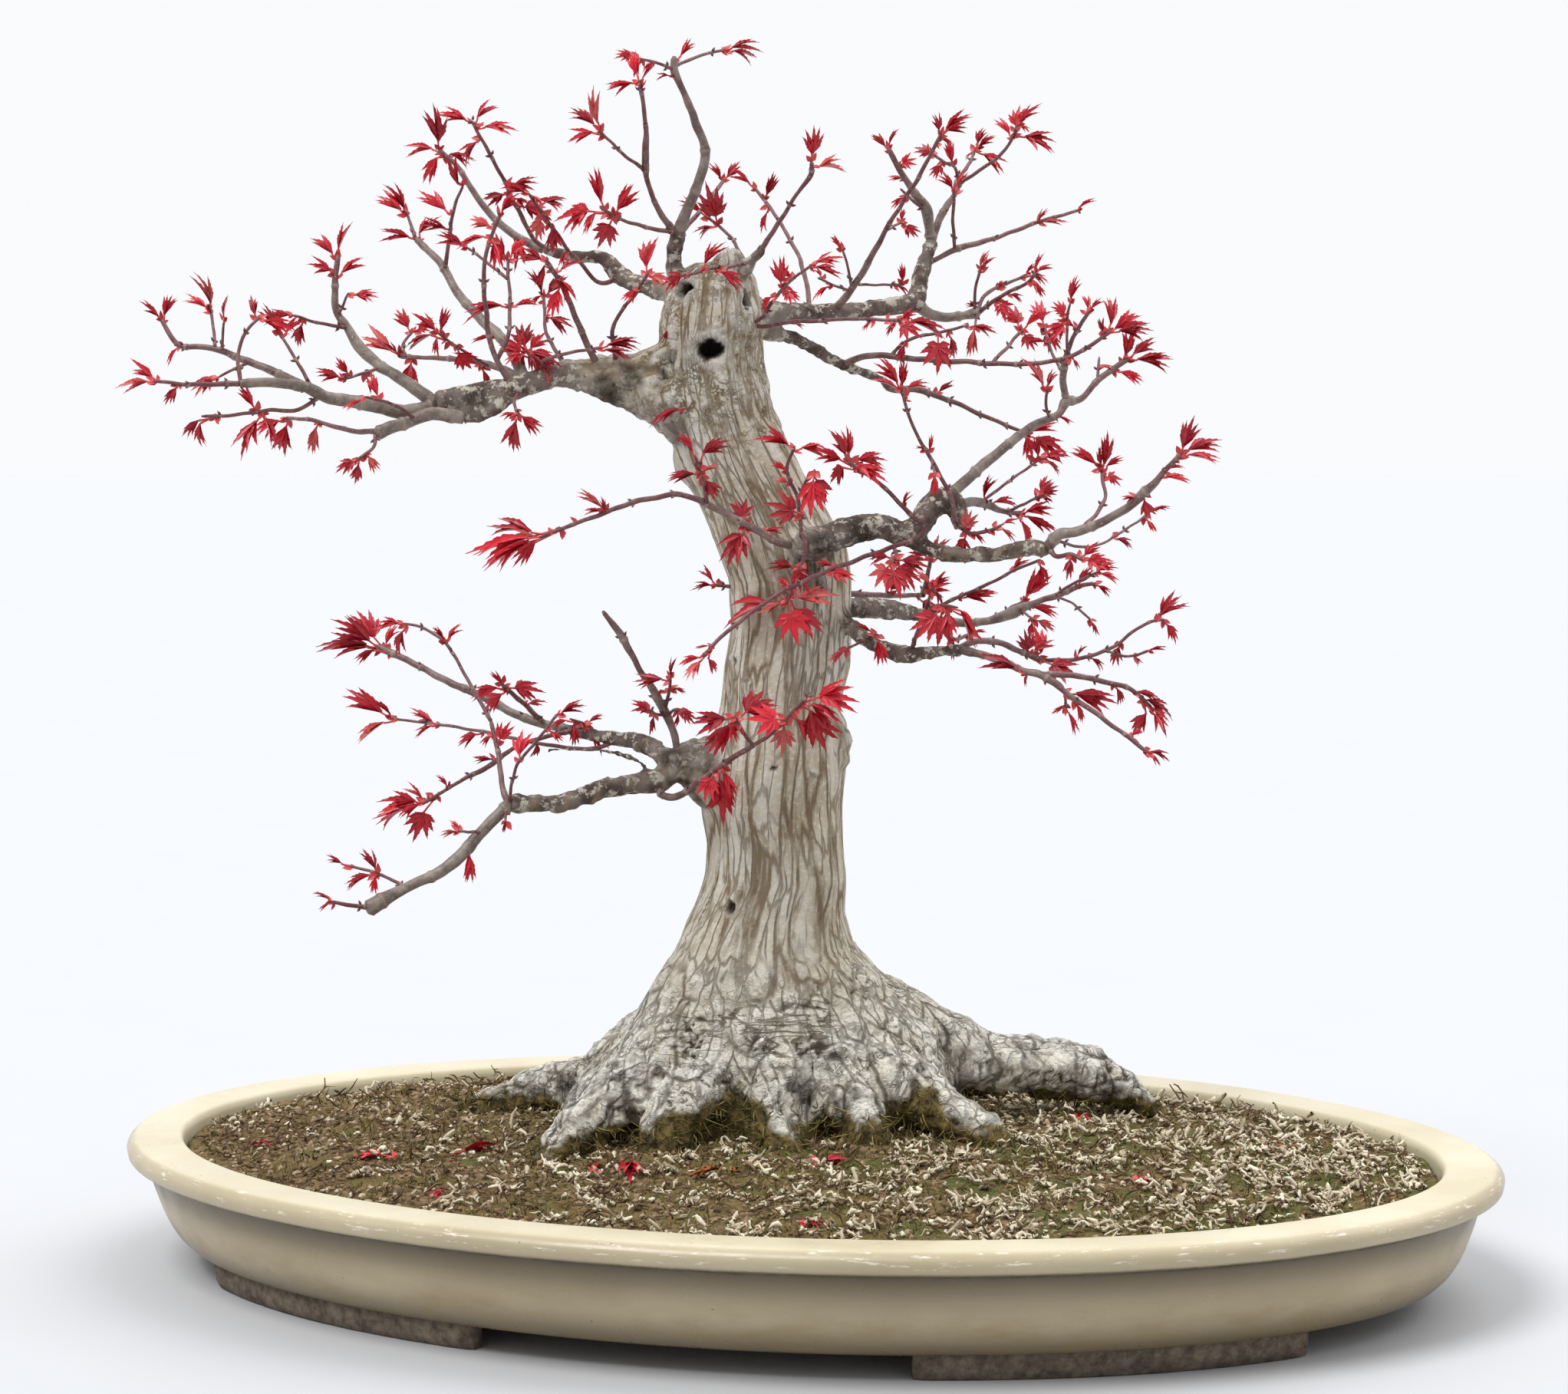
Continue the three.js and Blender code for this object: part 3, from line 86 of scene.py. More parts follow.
# Soil
CLEARANCE = 0.3
SOIL_EDGE_INSET = 27
SOIL_EDGE_TOP = 51
SOIL_MOUND = 13
SOIL_SIDES = 560
SOIL_RINGS = 86

# How many of each small thing lie on the soil
SPHAGNUM_TUFTS = 1000
STRANDS_IN_TUFT = 4
SPHAGNUM_FLECKS = 2500
FINE_ROOTS = 2400
MOSS_BLADES = 6400
TRUNK_MOSS_BLADES = 4200
SOIL_CRUMBS = 3400

# The tree's points are written as seen from the front: across and height in the front plane

# Trunk: centre across, height, centre depth, half width, half depth
TRUNK_RINGS = np.array([
    [-6, 44, 26, 80, 58], [-6, 64, 26, 82, 59], [-6, 82, 25, 77, 55], [-8, 99, 24, 69, 50],
    [-10, 115, 23, 58, 44], [-11, 130, 22, 48, 38], [-12, 143, 21, 38, 34],
    [-10, 156, 20, 33, 31], [-6, 171, 19, 30.5, 30], [-6, 186, 18, 29, 29], [-7, 201, 18, 30, 29],
    [-6, 215, 17, 30.5, 30], [-5, 230, 17, 29, 29], [-5, 245, 16, 25.5, 27],
    [-3, 261, 16, 27, 27], [-1, 279, 15, 25.5, 26], [-1, 298, 15, 26, 26], [-5, 313, 14, 28, 26],
    [-12, 330, 14, 26.5, 25], [-22, 350, 13, 25, 23], [-29, 370, 12, 23, 22],
    [-32, 390, 12, 22, 21], [-31, 410, 12, 22, 20], [-30, 424, 12, 19, 17],
    [-27, 431, 12, 11, 11],
], float)

# Roots: radius, across, depth, height at each step
ROOTS = [
    [[24, 10, 22, 112], [20, 44, 28, 100], [16, 66, 31, 91], [13, 86, 34, 84],
     [12.5, 106, 36, 81], [12, 125, 39, 77], [10.5, 140, 42, 71], [7, 153, 45, 61],
     [4, 170, 50, 47]],
    [[21, 8, 12, 102], [18, 34, 0, 89], [13.5, 50, -8, 80], [11, 62, -14, 72], [10, 74, -19, 65],
     [8.5, 84, -24, 58], [5, 93, -29, 46]],
    [[20, 10, 6, 98], [16, 22, -14, 80], [11, 29, -26, 66], [6, 34, -34, 48]],
    [[22, -9, 8, 98], [18, -11, -12, 81], [13, -10, -25, 69], [10.5, -6, -34, 60],
     [6, -4, -41, 47]],
    [[20, -20, 10, 100], [17, -42, -12, 82], [13, -54, -26, 68], [8, -60, -36, 50]],
    [[21, -30, 8, 106], [18, -58, -4, 89], [14, -78, -15, 76], [12, -91, -24, 66],
     [10, -101, -31, 57], [6, -109, -37, 45]],
    [[20, -32, 20, 106], [18, -60, 16, 92], [14, -80, 11, 79], [9, -94, 7, 66], [5, -105, 4, 48]],
    [[21, -32, 30, 108], [17, -66, 42, 88], [12.5, -92, 50, 74], [11, -112, 57, 67],
     [9.5, -131, 64, 61], [7, -150, 72, 53], [4, -166, 78, 43]],
    [[20, -6, 40, 104], [17, -14, 66, 86], [12, -20, 92, 70], [8, -24, 110, 59],
     [5, -27, 124, 46]],
    [[19, 10, 38, 104], [16, 44, 60, 86], [12, 66, 78, 72], [9, 84, 92, 62], [5, 100, 103, 46]],
]


def read_stems(text):
    """Stems from lines that end with a semicolon, their parts divided by slashes.

    First the name, the parent, the radius at the start and at the end, and how far the end stands
    back from the start. Then the points: across, height, a radius of its own or _, and how far it
    is moved back. Then any leaves: where the blade starts, where it ends, and how open it is, from
    0 for folded lobes to 1 for an open fan."""
    rows = []
    for line in text.split(";")[:-1]:
        head, *parts = line.split("/")
        name, parent, *numbers = head.split()
        lists = [[[None if word == "_" else float(word) for word in item.split()]
                  for item in part.split(",") if item.strip()] for part in parts]
        rows.append([name, parent, *map(float, numbers), *lists])
    return rows


LIMBS = read_stems("""
left trunk 7 5 -26 / -36 385, -55 387, -75 387, -100 384, -117 379;
leftCollar left 4 7 10 / -95 383, -82 380.5, -70 376, -57 371 7, -44 361.5 8;
callus left 4.6 6 -4 / -116 380, -131 377, -140 374.5, -148 372 7;
leftLow left 4 3.2 -10 / -114 379, -124 371, -137 367.5;
crownLeft trunk 5 2.4 36 / -38 412, -52 419.5, -64 423, -71 427 4.4, -76 433, -89 434, -102 437.5;
leader trunk 4.6 3 -10 / -44 416, -47.5 428, -47 436, -45 445 3.6;
crownFront trunk 4.4 2.6 -16 / -26 398, -23.8 406, -23 413, -21 420, -16.5 430, -9 437.5 2.4;
rightTop trunk 5 3.4 34 / -22 409, -10 410.5, 16 409.5, 38 411.5, 56 413.5 4.6;
rightTopFork rightTop 3.8 2.6 12 / 55 412, 56 424 4, 58 430 3.4, 61 439.5 3.2;
rightMid trunk 3.8 2 40 / -22 406, -10 402, 2 399.3, 22 388.5 2.8, 40 381.5;
heart trunk 7.5 5 -12 / -4 310, 9 312.5 7 -22, 21 316.5 6.4 -20, 31 319 6 -17, 40 319.5 5.6 -14,
  47 316 5 -12, 54 319 5.2 -12, 60 328 5.6 -12, 66 331 5.8 -12, 71 327 4.6 -12, 70.5 319 2.6 -12;
heartLow heart 3.6 3 -22 / 47 315, 58 310.5, 68 307.6, 80 307.5, 91 307.8, 97 309.5 3.4, 109 310.2
  3.6;
rightBack trunk 5.6 3 62 / 2 284, 25 285.3, 42 284.5 4.8, 51 283, 62 280;
rightLow trunk 4.2 2.4 -40 / 8 286, 25 278.5, 30 273.5, 37 269, 48 265.3 4, 63 266.6, 72 267 3;
collar trunk 11 8 -14 / -22 226, -36 222, -46 220, -54 219;
lowerLeft collar 4.8 3.4 -26 / -50 216, -56 212.5 4.6, -70 211.2, -83 208.6, -95 204, -106 203.3,
  -120 203.5 4.4;
upperLeft collar 4.4 2.6 40 / -51 221, -57 225 4, -65 229.4, -78 231.2, -95 235;
under lowerLeft 1.6 1 18 / -58 212.2, -63.2 219.7, -71.8 223.8, -90 226.5, -104 226;
""")

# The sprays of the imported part, each a few stems with their leaves
SPRAYS = {name.strip(): read_stems(rows) for name, rows in (
    block.split(":") for block in """
left_tip:
c callus 3.6 2.2 -36 / -150 372, -161 370, -179 374, -192 376, -204 381, -221 383, -231 382.5 /;
c2 c 1.6 .9 -8 / -231 382.5, -250 382.5, -267 384 / -266 384 -282 382 .3, -265 384 -276 392 .4,
  -256 383 -262 374 .4;
e c 1.2 .8 12 / -230 382.5, -231 392.5, -226 406, -221 410.5 / -222 410 -207 405 .4, -223 409 -225
  420 .3;
f c 1.2 .8 16 / -200 378, -205 389.5, -213.7 403.5 / -213 403 -220 415 .5, -212 402 -204 411 .3;
i c 1.2 .9 -20 / -196 377.5, -205 372, -220 371, -240 369, -247 369 / -221 370.5 -233 354 .5, -222
  371 -214 356 .3, -224 371 -231 383 .3, -247 369 -249 355 .3, -246 369 -256 361 .4;

left_rise:
d c 2.4 1.3 26 / -199 380, -214 386.6, -230 393, -240.5 397.5, -256.5 399.6, -263 410 / -262.5 409
  -270 418 .4, -262.5 409 -258 421 .3, -255 399 -262 392 .3;
d1 d 1 .8 10 / -240 397.5, -241 405, -242 414 / -242 413 -243 428 .3, -242 413 -252 420 .3;
d2 d .9 .7 -10 / -238 397, -236.5 409 / -236.5 408 -236 420 .3;
d3 d .9 .7 -8 / -226 391, -234 388, -240 385 / -239 385.5 -252 380 .6;

left_b:
b callus 3.2 1.5 22 / -148 374, -157 380, -172 390, -178 395 2.8, -185 406, -189 412, -189.5 424,
  -188 436 / -188 435 -186 450 .3, -188.5 434 -198 445 .4, -189 428 -200 434 .5, -189 426 -178 436
  .4;
b2 b .9 .7 -12 / -188 411, -184 420 / -184 419.5 -171 418 .5;
g b 1.1 .8 -18 / -185 405, -193.5 407, -208 411 / -206 410.5 -220 412 .4, -203 409.5 -207 397 .4;
m b 1 .8 -14 / -171 389, -178 386.5, -187 384 / -186 384 -199 388 .5, -178 386 -173 377 .3, -184
  385 -190 393 .4;

left_low:
a leftLow 3.2 2.8 -12 / -137 367.5, -150 369, -165 364, -174 361 3.4 /;
j a 1.6 1 42 / -172 361.5, -186 362.5, -200 367, -212 368 / -211 368 -226 362 .5, -210 368 -216
  352 .4, -198 366.5 -202 353 .4;
k a 1.1 .8 -14 / -174 361, -174.5 356, -182 350 / -181 350.5 -191.2 345.4 .6, -181 350.5 -183
  339.3 .4, -178 353 -173.2 344.8 .4;
l a 1.1 .8 -26 / -156 367.5, -166 373, -178 376.5 / -177 376 -188 371 .4, -172 375 -176 387 .3;

left_mid:
n left 2.2 1.3 58 / -108 382, -120 387.5, -141 392, -158 393, -163 393.5 1.8 / -163 393.5 -170 400
  .3, -163 393 -179 405 .4, -158 393 -160 379 .5, -129.5 389.5 -141 395 .4, -129 389.5 -125 377
  .25;
n2 n 1 .8 12 / -160 393, -162 397, -157 404 / -157 403.5 -148 408 .6, -158 403 -164 413 .5;
n3 n .9 .8 -20 / -125 388.5, -132 392.5, -147 403 / -146 402 -156 412 .4, -140 397 -132 386 .6,
  -146 402 -143 414 .3, -147 403 -161 398 .25, -147 403 -148 393 .3;

left_hang:
h left 1.1 .8 -20 / -113 380, -115 374, -114 368 / -114 369 -122 368 .4, -114 369 -117 352 .4,
  -114 369 -104 361 .4;

left_near:
s left 1.2 .8 -34 / -96 384, -103 390, -94 393.5, -79 396 / -79 396 -62 400 .3, -80 395.5 -64
  392.5 .3;
t s 1.1 .8 12 / -101 388.5, -106 391, -110 395 / -109 394 -122 398 .7, -110 394 -112 408 .6, -109
  394 -98 384 .5, -110 394 -101 403 .5, -110 395 -119 390 .6, -110 395 -114 386 .45, -110 395 -105
  387 .45, -110 395 -97 393 .4, -110 395 -95 389 .3, -110 395 -113 403 .35, -104.5 390 -99 381
  .25;

crown_left_end:
p1 crownLeft 2.4 1.3 20 / -102 437.5, -109 440.5, -120.5 448.5, -131 462, -136.5 471, -145 479.5 /
  -145 479 -146 497 .4, -144.5 479 -160 481 .4, -144 478.5 -152 466 .4, -143 478 -130 474 .3, -115
  444.5 -110 430 .35;

crown_left_front:
p2 crownLeft 1.5 1 -34 / -98 436.5, -103 439, -112.5 454.5, -122 474, -131 491 / -130.5 490 -145
  496 .4, -130.5 490 -121 500 .3, -129 488 -113 489 .4, -127 484 -137 474 .3, -117 463.5 -104 466
  .5, -113 456 -98 452 .6, -116 461.5 -127 456 .5, -115 459.5 -107 455 .3;

crown_far_left:
p3 left 3 1.8 62 / -110 381.5, -118 398, -126.5 406.5, -137.5 418.5, -145 431.5, -155.5 442.5 /
  -155 442 -170 446 .4, -155.5 442 -147 453 .3, -122 402 -133 399 .25;
p3a p3 1.2 .8 8 / -155 442.5, -159 453.5 / -158.5 452 -166.5 466 .3, -158.5 452 -172 462 .4;
p3b p3 1.4 .8 -30 / -143.5 430, -141.5 440, -140 452, -135 464.5 / -136 462 -141 476 .3, -140 452
  -153 462 .4, -141 446 -153 449 .15;

crown_stub:
p4 left 1.8 1 -16 / -116 379.5, -124 396, -126.5 412, -126 436, -120 452 / -120.5 451 -113 462 .4,
  -122 446 -133 451 .4, -123.5 443 -120 429 .35, -123.5 443 -139 441 .2;
p5 p4 1.3 .9 24 / -122 392, -117.5 401, -116.5 412, -117 434 / -117 433 -124 444 .4, -117 433 -109
  443 .4, -116.5 413.5 -135 415 .2, -116.5 413 -104 417 .2;
p6 p5 1 .8 16 / -117 424, -125.5 432, -134 438.5 / -133 438 -146 444 .5;

crown_inner:
p7 left 2 1.2 -34 / -80 387, -87 404, -94 421.5, -101 433 / -100 432 -113 437 .5, -97 427 -86 434
  .4, -95 423 -99 410 .5, -101 433 -105 421 .25, -97 426.5 -88 416 .35, -96.5 425.5 -92 420 .25;

crown_inner_back:
p8 left 1.3 .9 44 / -92 385, -101.5 405, -102 419 / -102 417 -108 430 .3, -102 417 -93 427 .4,
  -102 410 -90 404 .4, -102 419 -108 414 .2;

crown_near:
p9 left 1.4 .9 -46 / -72 387, -73 405, -63 419.5, -58 427 / -59 426 -49 424 .6, -59 426 -58 443
  .4, -62 421 -69 415 .5;

crown_cross:
p10 crownLeft 1.4 .9 -30 / -70 425, -76.5 423, -88 433, -98.5 447, -108 461 / -107 460 -119 466
  .4, -104 456 -91 459 .4, -99 448 -96 436 .5, -102 452 -106 441 .62, -97 445 -100 436 .5, -91.5
  438 -95 429 .2, -108 461 -102 455 .3, -106.5 458.5 -92 456 .35;

crown_sweep:
q4 leader 1.4 .8 -38 / -46 444, -54.5 445.2, -69.3 449.6, -78 454.5 / -72.5 451 -62.7 464 .4,
  -72.5 451 -78.5 437 .7, -77 454 -80 471 .3, -78 454.5 -97 449 .6, -78 454.5 -86 444 .4;

crown_top:
q1 leader 2.8 1.8 -14 / -45 444, -42 452 2.6, -36.2 465.2, -33.6 477, -38.4 492, -44.7 507, -46
  510.5 2.2, -46 516.8 / -47 508.5 -54 509.4 .2, -44.5 515 -37.9 524.7 .2;
q1a q1 1 .8 24 / -45.5 512.5, -38.9 515.7, -25 519.3 / -25 519.3 -10 522.1 .3, -24 519 -10.8 516.8
  .3;
q1b q1 1 .8 -16 / -46 511, -52.8 514, -61 516 / -61 516 -71 519 .6, -60 515.5 -63 508 .3, -55
  514.5 -59.4 510.5 .2;

crown_second:
q2 leader 1.9 1.1 -44 / -46.5 443, -51 449, -58.4 468.2, -58.7 473.2 2, -58.6 488, -59.8 501.5,
  -61 507 / -61 506.5 -75 503 .3, -61 507 -64.5 520 .4, -60.5 506 -54 515 .2;
q3 q2 1.1 .8 -24 / -58.5 469.5, -68 476.7, -77.8 486.7 / -77.5 486.5 -81.5 503 .3, -77.5 486.5
  -89.5 497 .4, -77 486 -92 484 .5;

crown_third:
q5 leader 1.5 1.1 46 / -45 442, -36.2 452.4, -25.6 465.7 / -26.5 464.5 -31.5 473 .2, -26 465 -19
  473 .4;

crown_right_high:
q6a crownFront 1.5 1 -30 / -11 435.5, -4.3 446, 6.3 461.6, 10.8 468 1.5, 10.8 473 / 10.8 472.5
  11.8 487.3 .5, 11 469.5 25.4 473.1 .3;

crown_right_low:
q6b crownFront 1.2 .8 34 / -17 429, -22.2 440, -28.2 446.2, -34 451 / -28.5 446.5 -33 463.5 .6,
  -29 446.5 -39 443.5 .2, -33.5 450.5 -44 458 .4;

crown_front_low:
q6c crownFront 1.2 .8 -26 / -15 431.5, -27 428.9, -34 427.9, -42 426 / -36 428 -27.4 440.5 .4, -41
  426.5 -54 422.5 .6, -30 428.4 -18 422 .4;

crown_back:
q7 rightTop 1.5 1 66 / 9.7 410, 8 424, 1.3 440.4, -9.2 457.4, -14.1 463 / -9 457 -4 468 .3, -7 454
  -11 443 .4, -13.5 462.5 -23 470 .4;

crown_leafy:
q8 crownFront 1.3 .8 -34 / -23.5 404, -14 405.8, -2 420, 10.8 430 / 9.5 429.5 23.5 433.9 .4, 9.5
  429 23.9 427.4 .3, -2.5 420 -2.9 432.8 .5, -5 418 -12 411 .5, -1 420.5 4.6 412.9 .6, 3 423 -3.4
  429.4 .3;

right_top_fork:
r1 rightTopFork 2.6 1.5 -8 / 61 439, 60 445, 59 451 2.8, 53 460.6, 44.8 474, 43 478 / 43 477.5
  45.8 486.7 .2, 43.2 477 35.8 485 .3, 47 470.5 55 474.1 .8, 50 465 42.8 465.8 .4;
r1l r1 1 .8 -14 / 58.5 452, 52 457, 48 461 / 51 458 43.8 454 .4;

right_top_brown:
r2 rightTopFork 2.2 1.8 18 / 60.5 437, 62.8 444.5, 66.2 452, 72 461.5, 72.5 465 2.6 /;
r2a r2 1.2 .9 -34 / 72.5 463, 80.7 468, 94.7 480.9, 97 487 / 96.5 486 104.9 496 .3, 96 484 97.6
  495.2 .6, 96 483 113.6 478.2 .5, 95 481 88.6 491.4 .4, 97 487 102.6 484.6 .4;
r2b r2 1.2 .9 32 / 72.5 465, 76.5 471, 80 478 / 79.5 477 87.1 483.4 .3, 79 476 74.6 473.2 .3, 79.5
  476.5 93.5 468.9 .4, 80 477.5 82.4 486.7 .4;
r2c r2 1.1 .8 -26 / 72 464, 70.3 470, 66.8 471.5, 62 475 / 66 472 61.2 465.2 .6, 62.5 474.5 54.1
  478.9 .7, 70 470 67.6 481.2 .3;

right_top_out:
r3 rightTopFork 1.6 1 46 / 58 429.5, 65.6 433, 70.5 435.4 1.8, 87.8 440, 103.8 445.8, 122.6 451.4
  / 122 451.2 128.4 457.4 .2, 105 446.3 117.8 446.9 .3, 105 446.2 109 452.4 .3;
r3a r3 1.1 .9 -16 / 70.5 435.4, 70 446.8, 70.5 460.6 / 70.5 459.5 65.3 467.9 .3, 70.5 459.5 75.7
  468.7 .3;

right_top_rise:
r4 rightTop 2.1 1 -50 / 18 410, 23.5 414.7, 28.5 421.5, 37.5 436.8, 41.7 444 1.4, 57 468, 65.3 484
  / 64.5 483 62.9 492.6 .5, 65 483.5 76.2 489.1 .5, 65 483.5 77 493.9 .3, 64 482 70.4 478.8 .4;
r4a r4 .9 .7 -10 / 27.5 420, 25.6 428.8, 23.5 435.9 / 23.7 435 18.7 442.2 .3;
r4b r4 .9 .7 12 / 41.5 443.5, 47 446.5, 49 447 / 48 446.5 56 441.3 .6, 48 446.5 49.2 453.3 .3;
r4c r4 .8 .7 18 / 29 421, 40.3 421, 49.3 421 / 48.5 421 48.5 429.8 .3, 45 421 52.2 417.8 .3;
r4d r4 .8 .7 -16 / 26.5 418.5, 20 421, 14 424 / 19 421.5 10.2 416.3 .4, 15 423.5 11.8 429.5 .4;

right_top_tip:
r5 rightTop 2.8 2.2 16 / 55 411, 60 408.5, 67 407.3, 75.5 408, 80.5 409 3 / 80 411 75.2 413.4 .3;
r5a r5 1.3 .9 26 / 79.5 409, 82 415, 94.9 422, 101 425 / 100 424.5 104 429.7 .3, 88 418.5 91.2
  422.9 .4, 101 425 109.8 421.8 .4;
r5b r5 1.4 1 -28 / 80.5 408.5, 84.5 412.3, 94.9 418.5, 101.2 421.3, 104.7 426 / 103.8 425 107.2
  434.6 .3, 103.8 425 111.2 429.8 .4, 88 414.5 94.4 406.1 .8, 92 416.8 100 415 .4, 102 422 108.4
  415.6 .4;
r5c r5 1 .8 -8 / 79 408.5, 78.9 417, 81.3 427.5 / 81 426.5 82.6 435.3 .2, 81 426 86.6 434 .3;
r5d r5 .9 .7 -18 / 80 408, 79 403.6 / 79 404.5 76.5 391 .3;

right_front:
r6 crownFront 1.3 .9 -42 / -23 407, -16 404.5, 2.3 405.9, 36.8 406.7, 48 406 / 47 406 55 398.8 .9,
  47.5 406 68.7 403.6 .3, 46 406 41.2 400.4 .4, 1 405.8 7.4 404 .3, 47 406 54.2 410.8 .6, 36.5
  406.7 31.3 402.1 .4;

right_mid_out:
s1 rightMid 2 1 26 / 40 381, 42 378.6, 54 377 1.9, 61.8 374.8, 82 366, 101 357.8 / 100 358 118 350
  .5, 100 358.2 114 362 .3, 99 359 104 347 .5, 62 374.7 70 381 .3;

right_mid_rise:
s2 rightMid 1.9 1.1 -56 / 23 388, 31 391, 54 389.9, 82.7 388, 103 387.5, 119.7 390.7, 136.2 400.8
  / 135.5 400.5 154 401 .4, 135.5 400.5 137 416 .3, 133 399 131 407 .3, 134.5 400 150 408 .4, 119
  390.5 123 385 .3;
s2a s2 1.1 .8 -16 / 42 390.5, 49.6 397.3, 66.2 401.4, 76.3 404 / 63 400.8 64 384 .9, 75.5 403.8 88
  401 .3, 50 397.5 46 389 .3, 68 401.6 70 389 .4;
s2b s2 1.1 .9 28 / 85.5 388, 96.6 399.4, 99 402 / 98.5 401.5 104 393 .7, 98.5 401.5 92 413 .7,
  98.5 401.5 109 411 .4;

right_arm:
t0 heart 2.8 1.6 56 / 66 331, 72 336.4, 86.7 348.8, 104.2 362, 114.3 366.6, 117 371.2 2.6, 121.7
  372, 131.7 381.2, 143.6 389.4 / 143 389 163 387 .3, 143 389 154.5 398 .4, 141 387.7 145 402 .4,
  112 365.8 120 362.5 .2, 137 384.8 150 379 .4;
t1 t0 1.7 1.1 -12 / 117 372, 115.7 381.3 2, 119.8 397.8, 127.2 409.7 / 126.5 408.5 132.1 414.9 .4,
  126.5 408.5 125.3 416.9 .4, 122 401.5 113 408 .4;
t2 t1 .9 .7 -20 / 117 389, 118 409, 119 413 / 118.8 412 121.4 424 .3, 118 407 111.6 413.4 .6, 118
  405 109 398 .6;
t3 t1 1 .8 22 / 115.8 383, 108.8 398.8, 108 404 / 108.2 402.5 113 392 .6, 108.2 402.5 104 415 .5,
  110 396 101 398 .3;
t4 t0 1 .8 -16 / 110 364.5, 108.5 370.3, 109 376.7 / 108.8 375.5 101 390 .4, 109 376 112 386 .3;
t5 t0 .9 .8 8 / 130 379.5, 131 390 / 131 386 138 385 .3;

right_slim:
u heart 1.5 .8 -18 / 70.5 319, 69.5 325 _ -9, 68.4 331.2 _ -10, 63 343.2 _ -9, 53 360.6 _ -8, 47.6
  378 _ -8 / 47.8 377 39 391 .4, 48 376.5 35 384 .3, 47.8 377 49 389 .3, 48 377 59.5 381 .4, 58
  351.5 53.5 353.5 .2, 59 350 60.5 358.5 .2;
v4 u 1.3 .9 -20 / 70.3 320.5, 76 316.5, 84.3 317.6, 90 320 / 74 316.9 77.4 327 .7, 74.5 316.8 72.5
  306.5 .6, 77 316.7 83 312.5 .3, 89 319.7 97 323 .3, 88 319 96 314 .3;
u2 u .9 .7 -10 / 60 348.5, 61.5 342 / 61.5 343 61.5 332 .3;

heart_out:
v2 heartLow 2.8 1.3 -30 / 109 310.5, 113.9 315.5, 121.2 316.8, 137.8 323.6, 151.8 334.4 2.2, 158.2
  341.7, 165.6 349 / 165 348.5 170.5 364 .4, 165 348.5 182 357 .4, 165 348.5 181.5 347.5 .3, 157.5
  341 166.5 347.5 .3, 156 339.5 170 338 .3, 149 332 153 321 .5, 147 331 140 330 .4;
v2c v2 1.3 1 34 / 122 317, 127.7 322, 133.2 331, 132.3 338.6, 132 344 / 132 343 130.5 352 .3, 132
  343 119 353 .3, 132.2 342 135.5 358 .3, 132.3 340 141 338 .7, 132 343 141.5 348 .4;
v2d v2 .9 .7 40 / 112 313, 125.9 310, 139.7 316, 154.5 326.3 / 153 325.5 161 327 .3, 136 314 146
  311 .4, 150 322.5 155 316 .3;
v2f v2 1.5 1.1 -14 / 110 310.5, 112 306.6, 119.3 307, 124 304.5 / 123 305 136.5 303 .6, 123 305
  130.5 312 .5, 119 307 117 297 .4;

heart_long:
v9 rightBack 1.2 .9 -40 / 58 281, 64.9 286.5, 79.7 292.9, 93.5 300, 106 305 / 105 304.6 109 294
  .4, 93 299.8 101 306.5 .3, 71 289 88 291 .4;

heart_top:
v3 heart 2.2 1.4 46 / 69 329, 80.6 329.5 2.4, 89.8 325.7, 98.2 324.6 / 97 324.7 111.5 327 .4, 96.5
  324.8 102.5 308 .4, 97 324.7 113 317 .3, 84 328.8 96.5 331 .3, 82 329.5 84.5 341 .2;
v3a v3 1 .8 22 / 80.6 329.5, 93.5 338.6, 106.5 347.8 / 106 347.5 118 350.5 .5, 106 347.5 115.5
  342.5 .4, 105.5 347 104 357 .3;
v3c v3 1 .8 -26 / 92 325.3, 99 328.5, 106.4 332 / 105.5 331.7 113.5 337 .6, 105.5 331.7 109 341.5
  .4, 105 331.5 112 329.5 .3;

heart_cross:
v5 heart 1.5 1.1 -36 / 62 326, 54.9 315.5, 42.9 310.8, 15.8 301, -1.5 293.5, -18.8 282, -32.5
  270.4, -37 265 / -33 270 -40.5 269 .2, -36.5 265.5 -47.5 262 .3, -36.5 265.5 -44.5 256 .5, -36
  266 -31 258 .4, 16 301 27 298 .6, 20 302.5 10 306 .4;
v7 v5 1.2 .9 -16 / 44 311, 45 308, 43 304 / 43.2 305 46 289 .9, 43.2 305 35 294 .9, 43.5 306 54
  293 .7, 44 306.5 33 307 .5, 44 306 60 303 .5;

heart_rise:
v6 heart 1.5 1 -26 / 61 328, 56 322, 47.5 328.4, 41.2 335.2, 32 342.3, 24.6 347.4 / 25 347 19.5
  361.5 .5, 25 347 25 362 .3, 25.5 347 41.5 339 .4, 25.5 347 42 350 .4, 25 347 10 352 .5, 25 347
  17 338 .6, 48 328 50.5 335 .2;

trunk_fork:
k1 heart 1.2 .9 -10 / 5 312, 5 318 _ -14, 3.5 332.4 _ -15, -.8 343.7 _ -15, 2.7 354 _ -14 / 2.5
  353 -13 361 .3, 2.5 353 18 353 .3, -.5 343 -7 348 .5, 1 338 -6 341 .5;
k2 k1 .9 .8 -12 / 3.6 331, 7 339, 11 344 / 10.5 343.5 9 324 .6, 10.5 343.5 15 328 .6;
k3 k1 .9 .8 -14 / 4 323, 6 325 / 5.5 324.5 -9 332 .9, 5.5 324.5 -7 324 .3;
k4 k1 1.3 .9 -4 / 5 318, 7 311, 1.7 296.6, -1.9 287 / -1.5 288 -14 284 .4, -1.7 288 -30 285 .4,
  -1.5 288 3 270 .9, -1.5 288 13 274 .5, -1 289 19 292 .5, 4 302 -10 305 .4, 5 305 4 292 .6, 0 293
  -5 300 .5;

trunk_across:
